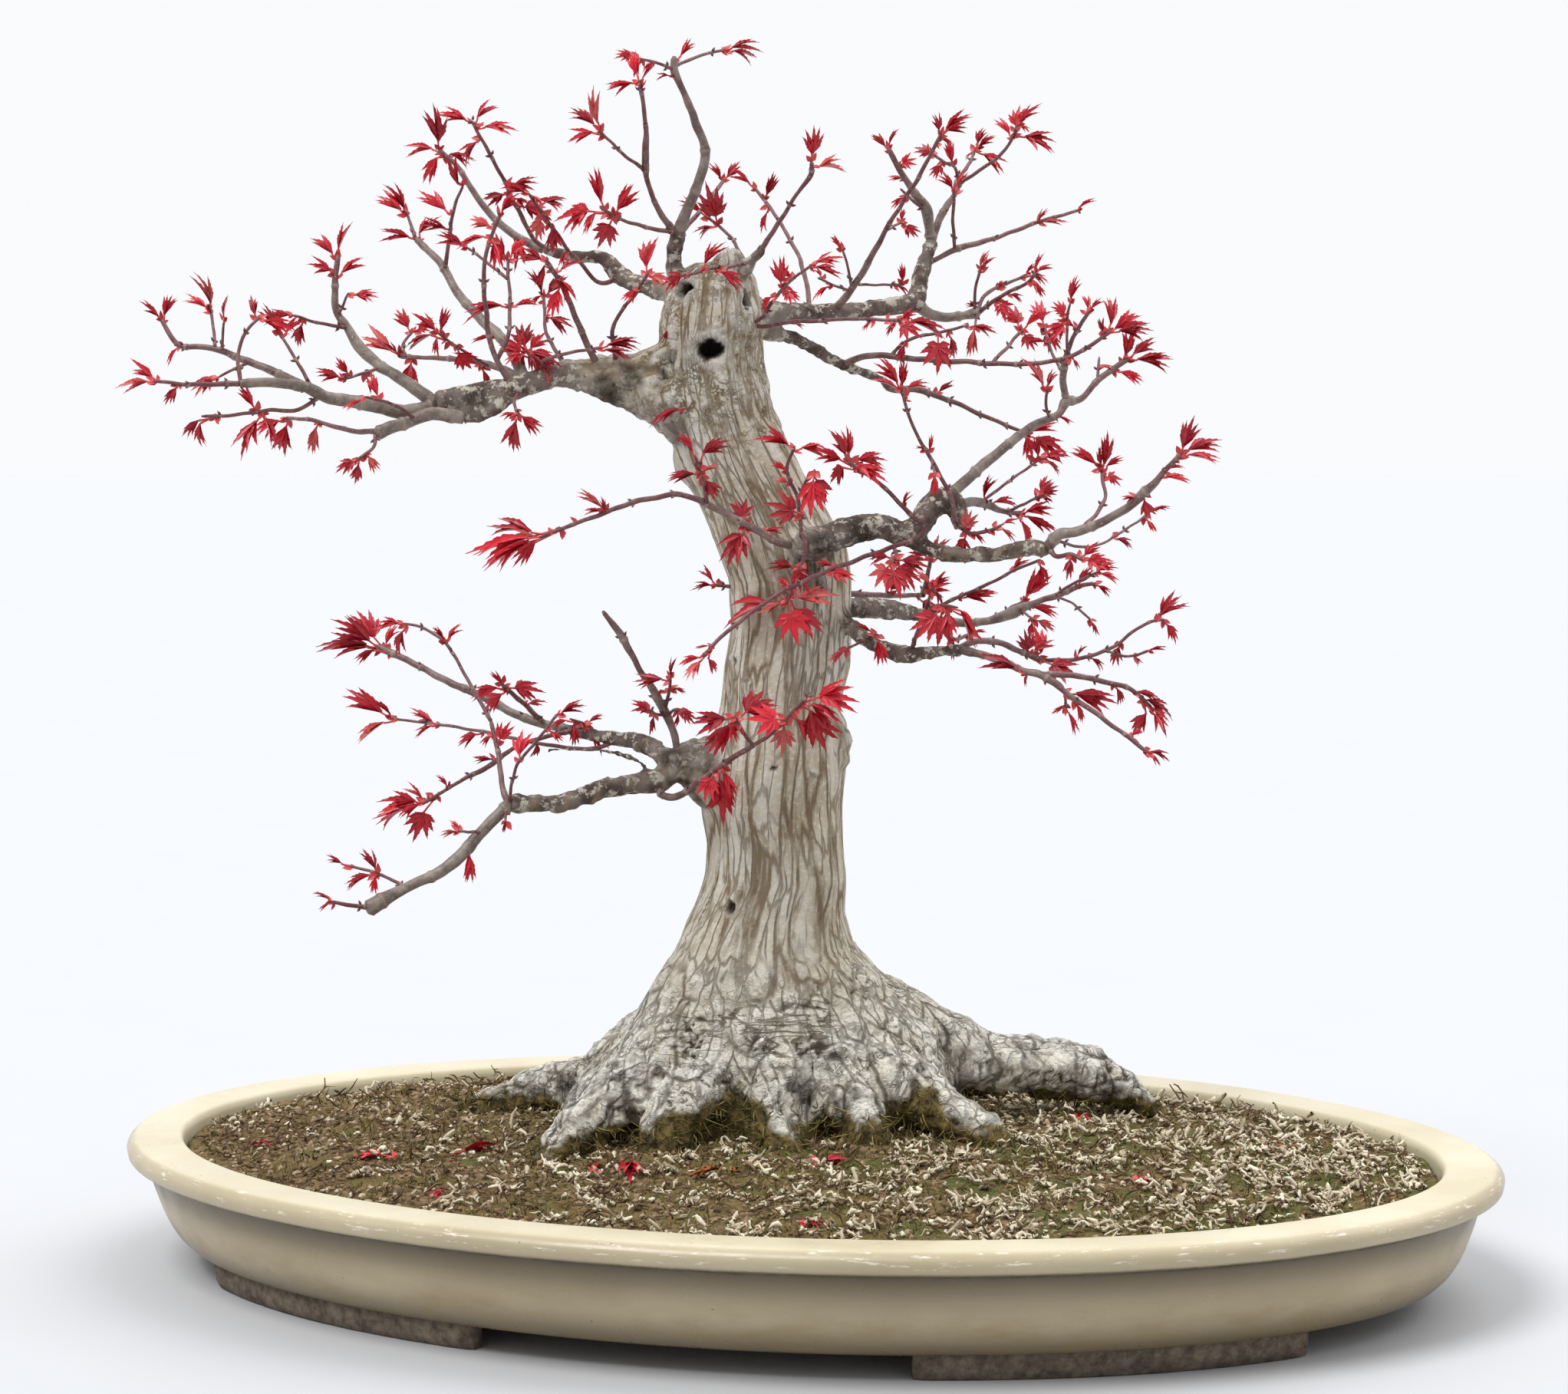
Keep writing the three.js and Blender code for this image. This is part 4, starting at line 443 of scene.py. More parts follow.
k5 heart 2.2 1 -40 / 3 311, -4.8 313.8 _ -16, -15.2 319.4 _ -15, -30.3 327.7 _ -6, -46.6 334 1.5,
  -61 332, -84 324.5, -105.5 316.5 / -77 327 -87.9 336.5 .3, -77 327 -87.2 328 .3, -78 326.5 -78.7
  333.6 .2, -104.5 317 -126.9 324.9 .3, -104.5 317 -134.9 312.6 .3, -104.5 317 -129.6 305.6 .3,
  -105 316.8 -116.4 306.4 .4, -18 321.5 -22.5 333 .9, -18 321 -27 305 .6, -12 318 -2 319 .3, -105
  316.8 -119.1 317.9 .5;
k6 k5 1.1 .8 -10 / -34 329.5, -37 342.7, -39.5 350.5 / -37 343 -30 347 .3, -36.8 342 -29 332 .5,
  -37 343 -52 341 .3, -39 349.5 -25.5 358 .4, -39.3 350 -46 360 .3;

trunk_bud:
k7 trunk 1.1 .8 -6 / -20 294, -27 295, -32 295.5 / -31.5 295.5 -41.5 295 .2, -31.5 295.5 -38 304
  .3;

back_out:
w1 rightBack 2.6 1.3 20 / 54 282, 62 280, 71.8 278.7, 81.7 279, 94.2 282.5 2.8, 105.8 287.6, 112.4
  289.5 1.9, 124 294, 129 294.7 / 128.5 294.6 136.5 289.5 .2, 100 285 114.5 283 .4, 121 293 127
  302 .4;
w2 w1 1 .8 -22 / 112 289.5, 115.7 292.3, 130 299.5 / 129 299 137.5 304 .4, 129 299 140 297 .3;
w3 w1 .8 .8 26 / 112 289.4, 117.4 287.4, 127 279.4 / 126 280.2 131 273 .3;
w4 w1 1 .8 30 / 85 279.8, 92.5 284.6, 99.2 287.8 / 98.8 287.6 109 301 .4, 98.8 287.6 104 297 .3;
w8 w1 1.5 1 30 / 66 279.4, 65.5 275, 69.3 272, 77 274 / 69 272 69 263 .4, 76.5 274 83 275.5 .3, 76
  273.7 79 268 .3;
w5 w1 .8 .8 -24 / 97 283.6, 103.3 279.4 / 102.5 280 112.5 275.5 .4, 102.5 280 101.5 272 .4;

back_fan:
w6 rightLow 1.3 .9 -20 / 50 265.7, 56 281, 61 294.5 / 60.8 293.8 67 300.5 .4, 60.8 293.8 64 285
  .3, 60.5 293 54 302 .4;
w7 w6 .9 .8 -12 / 57 283.5, 62 286, 71 285 / 64 285.7 53.5 271 .8, 64 285.7 63.5 268 .8, 65 285.6
  69 272.5 .5, 70.5 285 80.5 269.5 .3, 70.5 285 77 279 .3;

back_high:
w9 trunk 2.2 1.4 84 / -2 292, 23.8 291.5, 42 290.5, 56 290.3 / 55 290.3 68 297 .6, 54 290.3 62 280
  .6, 42 290.4 46 302 .6, 30 291.2 34 281 .5;
w10 w9 1.8 1.2 -14 / 56 290.2, 58 297, 59.6 306 / 59.4 305 51 314 .5, 59.5 305 66 316 .5;

low_right_out:
x1 rightLow 2.2 1.1 -34 / 72 267, 87.4 263.2, 99.8 257.4, 105.6 256.2 2, 116.4 248.3, 133 236.7,
  151.2 222.7 / 150.5 223.2 161.5 221 .2, 150.5 223.2 157 217 .3, 99 257.8 79 264.5 .4, 100 257.4
  98.5 251 .2, 120 245.8 124.5 235 .3, 143 229 150 233 .3;
x1a x1 .9 .8 18 / 107 255.3, 113.9 252.4, 116.4 246.6, 116.4 241.7 / 116.4 242.5 110.5 240 .3,
  116.4 242.5 121 230 .3, 116 248.5 138 245 .4;
x2 x1 1.8 1.2 24 / 105.6 256.2, 116.4 256, 134.6 252.5, 146.2 248.2, 152.8 241 / 152 242 160 236.5
  .4, 148 246.5 162.5 238 .3, 152.5 241.5 159 229 .4, 152.5 241.5 144 230 .5, 137 252 141.5 243
  .4, 144 249 157 245.5 .3;

low_right_arch:
x3 rightLow 1.9 1.6 26 / 70 266.8, 77.5 270.3, 90 269.4, 100.7 264.7, 107.5 262 2 / 101 264.5 99
  275 .6, 101 264.5 111.5 272.5 .5, 107 262.2 122 255.5 .8, 107 262.2 103.5 277 .5;
x4 x3 1.3 .9 18 / 107 262, 120.5 262.6, 135.4 267, 152.8 278.3, 158.5 279 / 158 279 164 269.5 .5,
  155 278.7 163 291 .4, 154 278.5 167 288 .3, 140 270 136.5 259.5 .5, 121 262.7 124 269 .3, 126
  264 133 258 .3;
x5 x4 .8 .8 -20 / 133 266.2, 143.7 263.6, 152 266 / 151 265.7 159 268 .2, 145 264 149 260 .2;

low_right_hang:
x6 rightLow .9 .8 -14 / 32 272.5, 35 273.5, 37 274 / 36.5 274 39.5 260 .4, 36 273.8 27 279 .3;
x7 x6 .8 .8 -8 / 34 273.2, 30 271, 24 268 / 24.5 268.3 16 263 .3;

low_left_tail:
y1 lowerLeft 2.9 2 -26 / -120 203.5, -130 193.9, -144.4 178.7 2.9, -151 174.1 2.7, -164.8 168 2.5,
  -182 158.5 4 / -138 185 -137.6 168.7 .3;
y1a y1 1.3 1 -14 / -181 159, -188.9 160.6, -197 162.3 / -196.5 162.2 -204 167.3 .2, -196.5 162
  -202.2 158.5 .3;
y1b y1 1.1 .8 18 / -164.6 168.6, -177.2 174.3, -191.4 178 / -176.5 174 -183.1 185 .4, -177 174.2
  -191.6 169.6 .3, -177 174.2 -179.6 165.2 .4, -190.5 177.8 -198.9 181.5 .3;
y1c y1 .9 .8 -22 / -132 192, -142.1 191.9 / -141.5 191.9 -149.9 190.7 .2, -141 191.9 -145.4 197.3
  .3;
y2 y1 1.8 1.3 22 / -121 203, -123.2 211.8, -124.8 226.9, -127.5 239 / -125 229 -119.7 238.7 .6,
  -126 233 -133 229 .5;
y3 y2 1.2 .8 36 / -127.5 239, -137.5 257.4, -145.4 271.6, -155.7 278.9, -164 280.7 / -163 280.5
  -176.2 280.9 .4, -163 280.5 -167.4 266 .4, -146 272 -150.4 279.9 .2, -146 272 -139.8 281.7 .3;
y4 y1 1 .8 -34 / -121 203, -116.5 220, -108.8 229.6, -98.9 241.7 / -99.5 241 -87.6 246.7 .3, -116
  220.6 -113.9 236.4 .5, -104 235.5 -97 229.8 .4;
y5 y1 .9 .8 -10 / -122 201.5, -122 196 / -122 197 -122.9 190.8 .2;

low_left_cross:
z1 upperLeft 1.4 1 -46 / -92 234.3, -104.7 231.9, -115.8 228.3, -128.7 219.6 1.6, -142.1 212.4,
  -156.5 204 / -155.8 204.4 -175.3 205.4 .4, -155.8 204.4 -163.9 213.3 .2, -146 210.2 -150 216.2
  .3, -155.8 204.4 -168.3 198.8 .4, -155.8 204.4 -160.4 187.3 .7, -155.5 204.6 -179.7 198.4 .3,
  -125 222 -135.6 223.3 .2, -108 231 -108.9 222.2 .4;
z6 z1 1.1 .8 -10 / -94 234, -88 237, -94 239.5 / -87.5 236.5 -77.8 225.5 .4, -87.5 237 -79.1 241.4
  .3, -93 239 -91.2 227.6 .4, -93 239 -102.7 237.2 .4;

low_left_arm:
z2 upperLeft 2.4 1.8 44 / -95 235, -111.6 239.4, -126.6 247, -145 255.8, -165.7 266.8, -175 271
  2.3 / -174.5 270.8 -199.6 274.5 .3, -174.5 270.8 -195.2 270.1 .4, -174.5 270.8 -193 283.7 .4,
  -174.5 270.8 -182 287.7 .6, -174.5 270.8 -184.6 264.8 .3, -172 269.6 -167.6 281.4 .4;
z3 z2 1.7 1.3 -22 / -104.2 237.5, -111.5 244.3, -122.5 254.5 / -122 254 -126.4 260.2 .3, -121 253
  -104.7 252.1 .6, -121.5 253.5 -136 250.4 .4, -120 252.3 -131.4 243.2 .5, -113 245.8 -104.2 246.9
  .4;

low_left_whip:
z4 upperLeft 1.3 .8 62 / -72 230.3, -83 227, -108.4 229.4, -134.5 235, -170.2 240.5 / -169 240.3
  -176 249.3 .2, -169.5 240.4 -190.2 252.8 .3, -169.5 240.4 -185.8 231.2 .3, -150 237.4 -161.9
  243.6 .3, -150.5 237.5 -160.6 234.4 .3, -131 234.2 -142.4 229.6 .5;

cut_stem:
o1 collar 2.1 1.4 -10 / -48 222, -50.2 233.7, -54.1 243.7 2.4, -65.2 261.8, -71.1 273.8 2, -79.3
  285.2 1.3 /;
o2 o1 1.2 .8 -14 / -53.5 242.5, -51.3 251.6, -50.9 257 / -51 256 -50.2 265 .2, -51 255.5 -67.5
  256.5 .4, -51.2 252 -44 251 .3, -51.3 251 -58 250 .3;
o3 o1 1 .8 -16 / -52.5 240.5, -57 241, -60 243 / -59 242.5 -68 246 .6, -58 241.8 -59.5 232.5 .3;
o4 o1 1 .8 -16 / -52.5 240.5, -49 243, -47 243 / -48 243 -40.5 237.5 .6, -48 243 -49 234.5 .3;

front_arm:
j1 lowerLeft 2.1 1.5 -34 / -57.2 212.3, -55.3 206.4, -52.6 205.7, -38.5 212.9, -28.5 220, -15.2
  228 / -33 217 -38 203 .7, -31 218 -29 193.5 .4, -30 219 -24 204 .3;
j2 j1 1.1 .9 -8 / -17 227.5, -21 234, -24 240 / -23.7 239.5 -43 236 .5, -23.5 239 -6.5 249.5 .6,
  -23.7 239.5 -37 222 .4, -23.5 239 -26 228 .5;
j3 j1 1.2 .9 -12 / -16 227.6, -9 232, -1 239.5, 7 248 / -2 238.5 -20 238.5 .9, -3 237.5 -4 223.5
  .7, 6.5 247.5 29 249 .6, 6.5 247.5 15 223 .5, 6 247 20.5 235 .3, 0 240.5 11 229 .4;
""".strip().split("\n\n"))}

# Thickened bark where limbs join, and pale stubs of old cuts
COLLARS = read_stems("""
leftWeb left 7 10 8 / -84 384.5, -72 381 8, -61 377 10, -50 372 11;
leftShoulder left 6 8 4 / -66 388, -56 390 7, -46 392 8;
leftFill trunk 9 6 0 / -41.5 354 9, -41.5 348 8.2, -37.4 342.4 7.5, -32.9 335.3 7, -29 325.9 6.5,
  -27.5 317 6;
lowerWeb collar 7 8 4 / -44 219, -40 213 7.5, -33 206 8;
paleStub trunk 2.6 2.2 -10 / -25 400, -22.8 395, -23.2 389.5;
topStub trunk 4.2 3.6 -6 / -36 402, -41 407, -45 412;
""")

# Limbs with the tan ridges that a training wire left: pitch of the turns, where they start and end
WIRED = {
    "lowerLeft": [15, 4, 70], "upperLeft": [12, 2, 26], "heartLow": [11, 20, 66],
    "left": [21, 30, 62],
}

# Knots and old scars on the front of the trunk: across, height, radius
KNOTS = [
    [24, 226, 7], [23, 218, 5], [22, 234, 5], [9, 212.4, 3.4], [-7, 216, 3.6], [-25, 262.5, 3.8],
    [-10, 257, 3], [-23.6, 431, 6.5], [-88, 101, 6], [16, 232, 4], [-50, 392, 3.4], [-10, 377, 3],
    [-36, 371, 3], [-28, 383, 2.6], [-97, 54, 10], [-3, 55, 8],
]

# Dark crusted bark under and beside the limbs, partly painted shade: across, height, radius
DARK_CRUST_AND_SHADE = [
    [-76, 377, 9], [-66, 383, 6], [-51, 222, 5], [-46, 209, 5], [-40, 203, 4], [8, 303, 8],
    [14, 311, 6], [12, 293, 6], [28, 283, 5], [66, 325, 6], [30, 316, 6], [-132, 374, 6],
    [5, 77, 6], [-1, 80, 4], [20, 72, 5], [26, 77, 4], [73, 80, 7], [84, 74, 6], [-84, 57, 6],
    [-72, 60, 5], [-112, 76, 8], [-123, 74, 7], [-98, 82, 6], [54, 88, 3], [100, 75, 6],
    [120, 73, 6], [135, 76, 6],
]

# How far up the front of the roots the moss climbs: across, height
MOSS_TOP = np.array([
    [-180, 40], [-100, 50], [-72, 55], [-62, 64], [-55, 70], [-45, 71], [-36, 72], [-28, 79],
    [-18, 78], [-12, 68], [-8, 56], [2, 58], [8, 70], [20, 67], [34, 64], [42, 71], [50, 79],
    [57, 79], [65, 68], [73, 55], [100, 50], [180, 40],
])

# Hollows and small scars of fallen twigs: across, height, radius, depth, darkness, how far the rim
# stands up, and height over width
HOLES = [
    [-33.5, 394.8, 4.6, 9, 1, 1, 0.82], [-45, 420.5, 3, 6, 0.95, 0.8, 1],
    [-17, 416, 2.8, 7, 1, 0.2, 1.7], [-50, 392, 2.6, 1.2, 0.6, 0.15, 1.3],
    [-8, 217, 1.4, 1.5, 0.7, 0.3, 1], [9, 212.4, 1.6, 1.2, 0.4, 0.5, 1],
    [-24, 262, 1.3, 1.2, 0.5, 0.3, 1], [27, 231, 1.7, 1.8, 0.6, 0.4, 1],
    [-28, 156, 2.2, 2.4, 0.8, 0.3, 1.8],
]

# Small shoots on the front of the trunk
FRONT_SHOOT = read_stems("""
f1 trunk 1.7 1.2 -16 / -21 373.5, -24 376.5, -32 376.8, -38 373, -44 370.5 / -43 371 -59 364 .3,
  -44 371 -56 369.5 .1, -45 370.5 -50 374 0;
f2 f1 1.1 .9 1 / -44 370, -46 366, -45 359.5 / -45 359.5 -43.5 354 0;
f3 trunk 2 1.4 -9 / -24 375.5, -25.5 381, -23.5 386, -20 384.5, -19.5 380.5 / -19.5 383 -17 388 0;
f4 trunk 1.2 .9 -12 / -29 392, -30 398, -35 404, -40 406.5, -46 404.5 / -40 406.5 -46 412.5 0, -47
  404.5 -52 414 0, -47 404.5 -54 399 0;
""")

# Mesh size of the trunk in mm, sides of its plain column, and seeds
VOXEL = 1.56
COLUMN_SIDES = 48
STEM_SIDES = 14
GRADIENT_COUNT = 256
DRAW_SEED = 41


# Smooth noise and cell patterns, for many points at once

GRADIENTS = np.random.default_rng(7).normal(size=(GRADIENT_COUNT, 3))
GRADIENTS /= np.linalg.norm(GRADIENTS, axis=1)[:, None]


def scrambled(keys, seed):
    mixed = keys[:, 0] * 73856093 ^ keys[:, 1] * 19349663 ^ keys[:, 2] * 83492791 ^ seed * 7919
    mixed = (mixed ^ (mixed >> 11)) * 1103515245
    return (mixed ^ (mixed >> 15)) & 0x7FFFFFFF


def grain(points, size, seed=0):
    """Smooth noise from about -1 to 1, with bumps of this size in mm, or one per axis."""
    scaled = points / np.asarray(size, float)
    base = np.floor(scaled).astype(np.int64)
    part = scaled - base
    ease = part ** 3 * (part * (part * 6 - 15) + 10)
    total = np.zeros(len(points))
    for corner in itertools.product((0, 1), repeat=3):
        gradient = GRADIENTS[scrambled(base + corner, seed) % GRADIENT_COUNT]
        weight = np.prod(np.where(corner, ease, 1 - ease), axis=1)
        total += weight * np.sum(gradient * (part - corner), axis=1)
    return total * 1.7


def cells(points, size, seed=0):
    """Distance to the nearest cell centre, the gap to the second nearest, and the cell's tone."""
    scaled = points / np.asarray(size, float)
    base = np.floor(scaled).astype(np.int64)
    nearest = np.full(len(points), 9.0)
    second = np.full(len(points), 9.0)
    tone = np.zeros(len(points))
    for step in itertools.product((-1, 0, 1), repeat=3):
        keys = base + step
        drawn = [scrambled(keys, seed + k) % 4096 / 4096 for k in range(4)]
        centre = keys + np.stack(drawn[:3], axis=1)
        distance = np.linalg.norm(scaled - centre, axis=1)
        closer = distance < nearest
        second = np.where(closer, nearest, np.minimum(second, distance))
        nearest = np.where(closer, distance, nearest)
        tone = np.where(closer, drawn[3], tone)
    return nearest, second - nearest, tone


def ramp(values, low, high):
    """0 at low, 1 at high, eased between."""
    share = np.clip((values - low) / (high - low), 0, 1)
    return share * share * (3 - 2 * share)


# Meshes

class Shape:
    """Points and faces gathered for one piece, with marks: named numbers at each point."""

    def __init__(self):
        self.points = []
        self.faces = []
        self.marks = {}
        self.count = 0

    def add(self, points, faces, **marks):
        points = np.asarray(points, float).reshape(-1, 3)
        for name in marks:
            self.marks.setdefault(name, [np.zeros(self.count)] if self.count else [])
        for name, parts in self.marks.items():
            value = marks.get(name, 0.0)
            parts.append(np.broadcast_to(np.asarray(value, float).ravel(), (len(points),)))
        self.faces += [tuple(int(i) + self.count for i in face) for face in faces]
        self.points.append(points)
        self.count += len(points)

    def build(self, name, material, slot, *nodes, smooth=True):
        """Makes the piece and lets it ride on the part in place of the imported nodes."""
        piece = mesh_object(name, np.concatenate(self.points), self.faces, material, smooth)
        for mark, parts in self.marks.items():
            set_mark(piece, mark, np.concatenate(parts))
        return dress(piece, slot, *nodes)


def mesh_object(name, points, faces, material, smooth=True):
    mesh = bpy.data.meshes.new(name)
    mesh.from_pydata((np.asarray(points) * MM).tolist(), [], [list(face) for face in faces])
    mesh.shade_smooth() if smooth else mesh.shade_flat()
    piece = bpy.data.objects.new(name, mesh)
    bpy.context.scene.collection.objects.link(piece)
    mesh.materials.append(material)
    return piece


def set_mark(piece, name, values):
    values = np.asarray(values, np.float32)
    kind, field = ("FLOAT", "value") if values.ndim == 1 else ("FLOAT_VECTOR", "vector")
    layer = piece.data.attributes.new(name, kind, "POINT")
    layer.data.foreach_set(field, values.ravel())


def dress(piece, slot, *nodes):
    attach(piece, "root")
    if nodes:
        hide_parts(*nodes)
    return piece


def unit(vectors):
    vectors = np.asarray(vectors, float)
    return vectors / np.maximum(np.linalg.norm(vectors, axis=-1, keepdims=True), 1e-9)


def skin_faces(rings, sides):
    """Quads over rings of points, with a flat cap on each end."""
    faces = []
    for i in range(rings - 1):
        for j in range(sides):
            a = i * sides + j
            b = i * sides + (j + 1) % sides
            faces.append((a, b, b + sides, a + sides))
    faces.append(tuple(range(sides))[::-1])
    faces.append(tuple(range((rings - 1) * sides, rings * sides)))
    return faces


def tube(path, radii, sides):
    """Points of a round stem along a path, ring after ring, carried along without twist."""
    path = np.asarray(path, float)
    forward = unit(np.gradient(path, axis=0))
    sideways = np.cross((0, 0, 1), forward[0])
    if np.linalg.norm(sideways) < 0.1:
        sideways = np.cross((1, 0, 0), forward[0])
    angles = 2 * np.pi * np.arange(sides) / sides
    rings = []
    for centre, ahead, radius in zip(path, forward, radii):
        sideways = unit(sideways - ahead * np.dot(sideways, ahead))
        upward = np.cross(ahead, sideways)
        spokes = np.outer(np.cos(angles), sideways) + np.outer(np.sin(angles), upward)
        rings.append(centre + spokes * radius)
    return np.concatenate(rings)


def flowing(points, radii, step):
    """A smooth curve through the points, with a point every step mm, and its radii."""
    points = np.asarray(points, float)
    radii = np.asarray(radii, float)
    values = np.column_stack([points, radii])
    lengths = np.concatenate([[0], np.cumsum(np.linalg.norm(np.diff(points, axis=0), axis=1))])
    if len(points) > 2:
        slopes = np.gradient(values, lengths, axis=0)
    else:
        slopes = np.repeat([(values[1] - values[0]) / lengths[1]], 2, axis=0)
    count = max(3, int(lengths[-1] / step) + 1)
    places = np.linspace(0, lengths[-1], count)
    index = np.clip(np.searchsorted(lengths, places, side="right") - 1, 0, len(points) - 2)
    span = (lengths[index + 1] - lengths[index])[:, None]
    t = (places - lengths[index])[:, None] / span
    curve = ((2 * t ** 3 - 3 * t ** 2 + 1) * values[index]
             + (t ** 3 - 2 * t ** 2 + t) * span * slopes[index]
             + (3 * t ** 2 - 2 * t ** 3) * values[index + 1]
             + (t ** 3 - t ** 2) * span * slopes[index + 1])
    return curve[:, :3], np.maximum(curve[:, 3], 0.2), places


# Skeleton of the tree, in its own frame

def seen(across, height, depth):
    """A point sighted in the front plane, carried back along the line of sight to a depth."""
    scale = 1 + depth / EYE_DISTANCE
    return np.array([
        EYE_ACROSS + (across - EYE_ACROSS) * scale,
        depth,
        EYE_HEIGHT + (height - EYE_HEIGHT) * scale,
    ])


def on_pot(points):
    """The frame of the tree turned onto the pot."""
    points = np.asarray(points, float)
    turned = points.copy()
    turned[..., 0] = points[..., 0] * math.cos(TREE_TURN) - points[..., 1] * math.sin(TREE_TURN)
    turned[..., 1] = points[..., 0] * math.sin(TREE_TURN) + points[..., 1] * math.cos(TREE_TURN)
    return turned


def as_seen(points):
    """Where some points show in the front plane: across and height."""
    scale = EYE_DISTANCE / (EYE_DISTANCE + points[:, 1])
    return (EYE_ACROSS + (points[:, 0] - EYE_ACROSS) * scale,
            EYE_HEIGHT + (points[:, 2] - EYE_HEIGHT) * scale)


def nearest_seen(path, across, height):
    """The point of a stem that is seen nearest to a place in the front plane."""
    best = None
    best_distance = math.inf
    for a, b in zip(path[:-1], path[1:]):
        for share in np.linspace(0, 1, 13):
            point = a + (b - a) * share
            place = seen(across, height, point[1])
            distance = math.hypot(place[0] - point[0], place[2] - point[2])
            if distance < best_distance:
                best_distance = distance
                best = point
    return best


stems = {"trunk": {"path": np.array([seen(u, z, d) for u, z, d, _, _ in TRUNK_RINGS])}}


def make_stem(row):
    name, parent, start_radius, end_radius, lean, points = row[:6]
    start = nearest_seen(stems[parent]["path"], points[0][0], points[0][1])
    lengths = [0.0]
    for (x0, z0, *_), (x1, z1, *_) in zip(points[:-1], points[1:]):
        lengths.append(lengths[-1] + math.hypot(x1 - x0, z1 - z0))
    path = [start]
    for point, length in list(zip(points, lengths))[1:]:
        nearer = point[3] if len(point) > 3 else 0
        depth = start[1] + lean * length / lengths[-1] + nearer
        path.append(seen(point[0], point[1], depth))
    radii = [
        point[2] if len(point) > 2 and point[2] is not None
        else start_radius + (end_radius - start_radius) * length / lengths[-1]
        for point, length in zip(points, lengths)
    ]
    stems[name] = {"path": np.array(path), "radii": np.array(radii)}
    return stems[name]


limbs = [make_stem(row) for row in LIMBS + COLLARS]


# Node materials

class Finish:
    """A material of nodes. Inputs are numbers, colours or the outputs of other nodes."""

    def __init__(self, name, roughness, specular=0.35):
        self.material = bpy.data.materials.new(name)
        self.material.use_nodes = True
        self.tree = self.material.node_tree
        self.shader = self.tree.nodes["Principled BSDF"]
        self.shader.inputs["Roughness"].default_value = roughness
        self.shader.inputs["Specular IOR Level"].default_value = specular
        self.place = self.node("ShaderNodeTexCoord", output="Object")

    def put(self, socket, value):
        if isinstance(value, bpy.types.NodeSocket):
            self.tree.links.new(value, socket)
        elif isinstance(value, (tuple, list)) and len(socket.default_value) == 4:
            socket.default_value = (*value, 1)[:4]
        else:
            socket.default_value = value

    def node(self, kind, inputs=None, settings=None, output=0):
        node = self.tree.nodes.new(kind)
        for key, value in (settings or {}).items():
            setattr(node, key, value)
        for key, value in (inputs or {}).items():
            self.put(node.inputs[key], value)
        return node.outputs[output]

    def mark(self, name):
        return self.node("ShaderNodeAttribute", settings={"attribute_name": name}, output="Fac")

    def stretched(self, x, y, z):
        """Places with each axis measured in features of this many mm."""
        scale = (1 / (x * MM), 1 / (y * MM), 1 / (z * MM))
        return self.node("ShaderNodeMapping", {"Vector": self.place, "Scale": scale})

    def along_bark(self, x, y, z):
        """Places that run with the trunk and roots, each axis in features of this many mm."""
        flow = self.node("ShaderNodeAttribute", settings={"attribute_name": "flow"},
                         output="Vector")
        return self.node("ShaderNodeMapping", {"Vector": flow, "Scale": (1 / x, 1 / y, 1 / z)})

    def seams(self, place, wander, half):
        """Thin lines between plates, each as wide as the others."""
        sway = self.node("ShaderNodeTexNoise", {"Vector": place, "Scale": 1.1, "Detail": 3},
                         output="Color")
        swayed = self.node("ShaderNodeVectorMath", {0: sway, 1: (wander,) * 3, 2: place},
                           {"operation": "MULTIPLY_ADD"})
        gap = self.cell(1, "DISTANCE_TO_EDGE", place=swayed)
        return self.steps(gap, (half * 0.25, 1.0), (half, 0.0))

    def lines(self, factor, half):
        """Curved lines where a noise passes its middle."""
        full = half * 0.4
        return self.steps(factor, (0.5 - half, 0.0), (0.5 - full, 1.0), (0.5 + full, 1.0),
                          (0.5 + half, 0.0))

    def noise(self, size, detail=3, roughness=0.55, place=None, distortion=0):
        """Smooth noise with features of this many mm, or of one unit of the given places."""
        return self.node("ShaderNodeTexNoise", {
            "Vector": place or self.place, "Scale": size if place else 1 / (size * MM),
            "Detail": detail, "Roughness": roughness, "Distortion": distortion,
        })

    def cell(self, size, feature="F1", output="Distance", place=None):
        return self.node("ShaderNodeTexVoronoi", {
            "Vector": place or self.place, "Scale": size if place else 1 / (size * MM),
        }, {"feature": feature}, output)

    def steps(self, factor, *stops):
        """Colours or greys at places along a factor."""
        node = self.tree.nodes.new("ShaderNodeValToRGB")
        self.tree.links.new(factor, node.inputs[0])
        elements = node.color_ramp.elements
        while len(elements) < len(stops):
            elements.new(0.5)
        for element, (position, colour) in zip(elements, stops):
            element.position = position
            colour = colour if isinstance(colour, tuple) else (colour,) * 3
            element.color = (*colour, 1)
        return node.outputs[0]

    def mix(self, factor, a, b):
        node = self.tree.nodes.new("ShaderNodeMix")
        node.data_type = "RGBA"
        for key, value in (("Factor_Float", factor), ("A_Color", a), ("B_Color", b)):
            socket = next(s for s in node.inputs if s.identifier == key)
            self.put(socket, value)
        return next(s for s in node.outputs if s.identifier == "Result_Color")

    def blend(self, factor, low, high, a, b):
        """One colour where a factor is low, another where it is high."""
        return self.mix(self.steps(factor, (low, 0.0), (high, 1.0)), a, b)

    def maths(self, operation, a, b):
        return self.node("ShaderNodeMath", {0: a, 1: b}, {"operation": operation})

    def times(self, a, b):
        return self.maths("MULTIPLY", a, b)

    def plus(self, a, b):
        return self.maths("ADD", a, b)

    def most(self, a, b):
        return self.maths("MAXIMUM", a, b)

    def bump(self, height, distance, strength):
        inputs = {"Height": height, "Distance": distance * MM, "Strength": strength}
        return self.node("ShaderNodeBump", inputs)

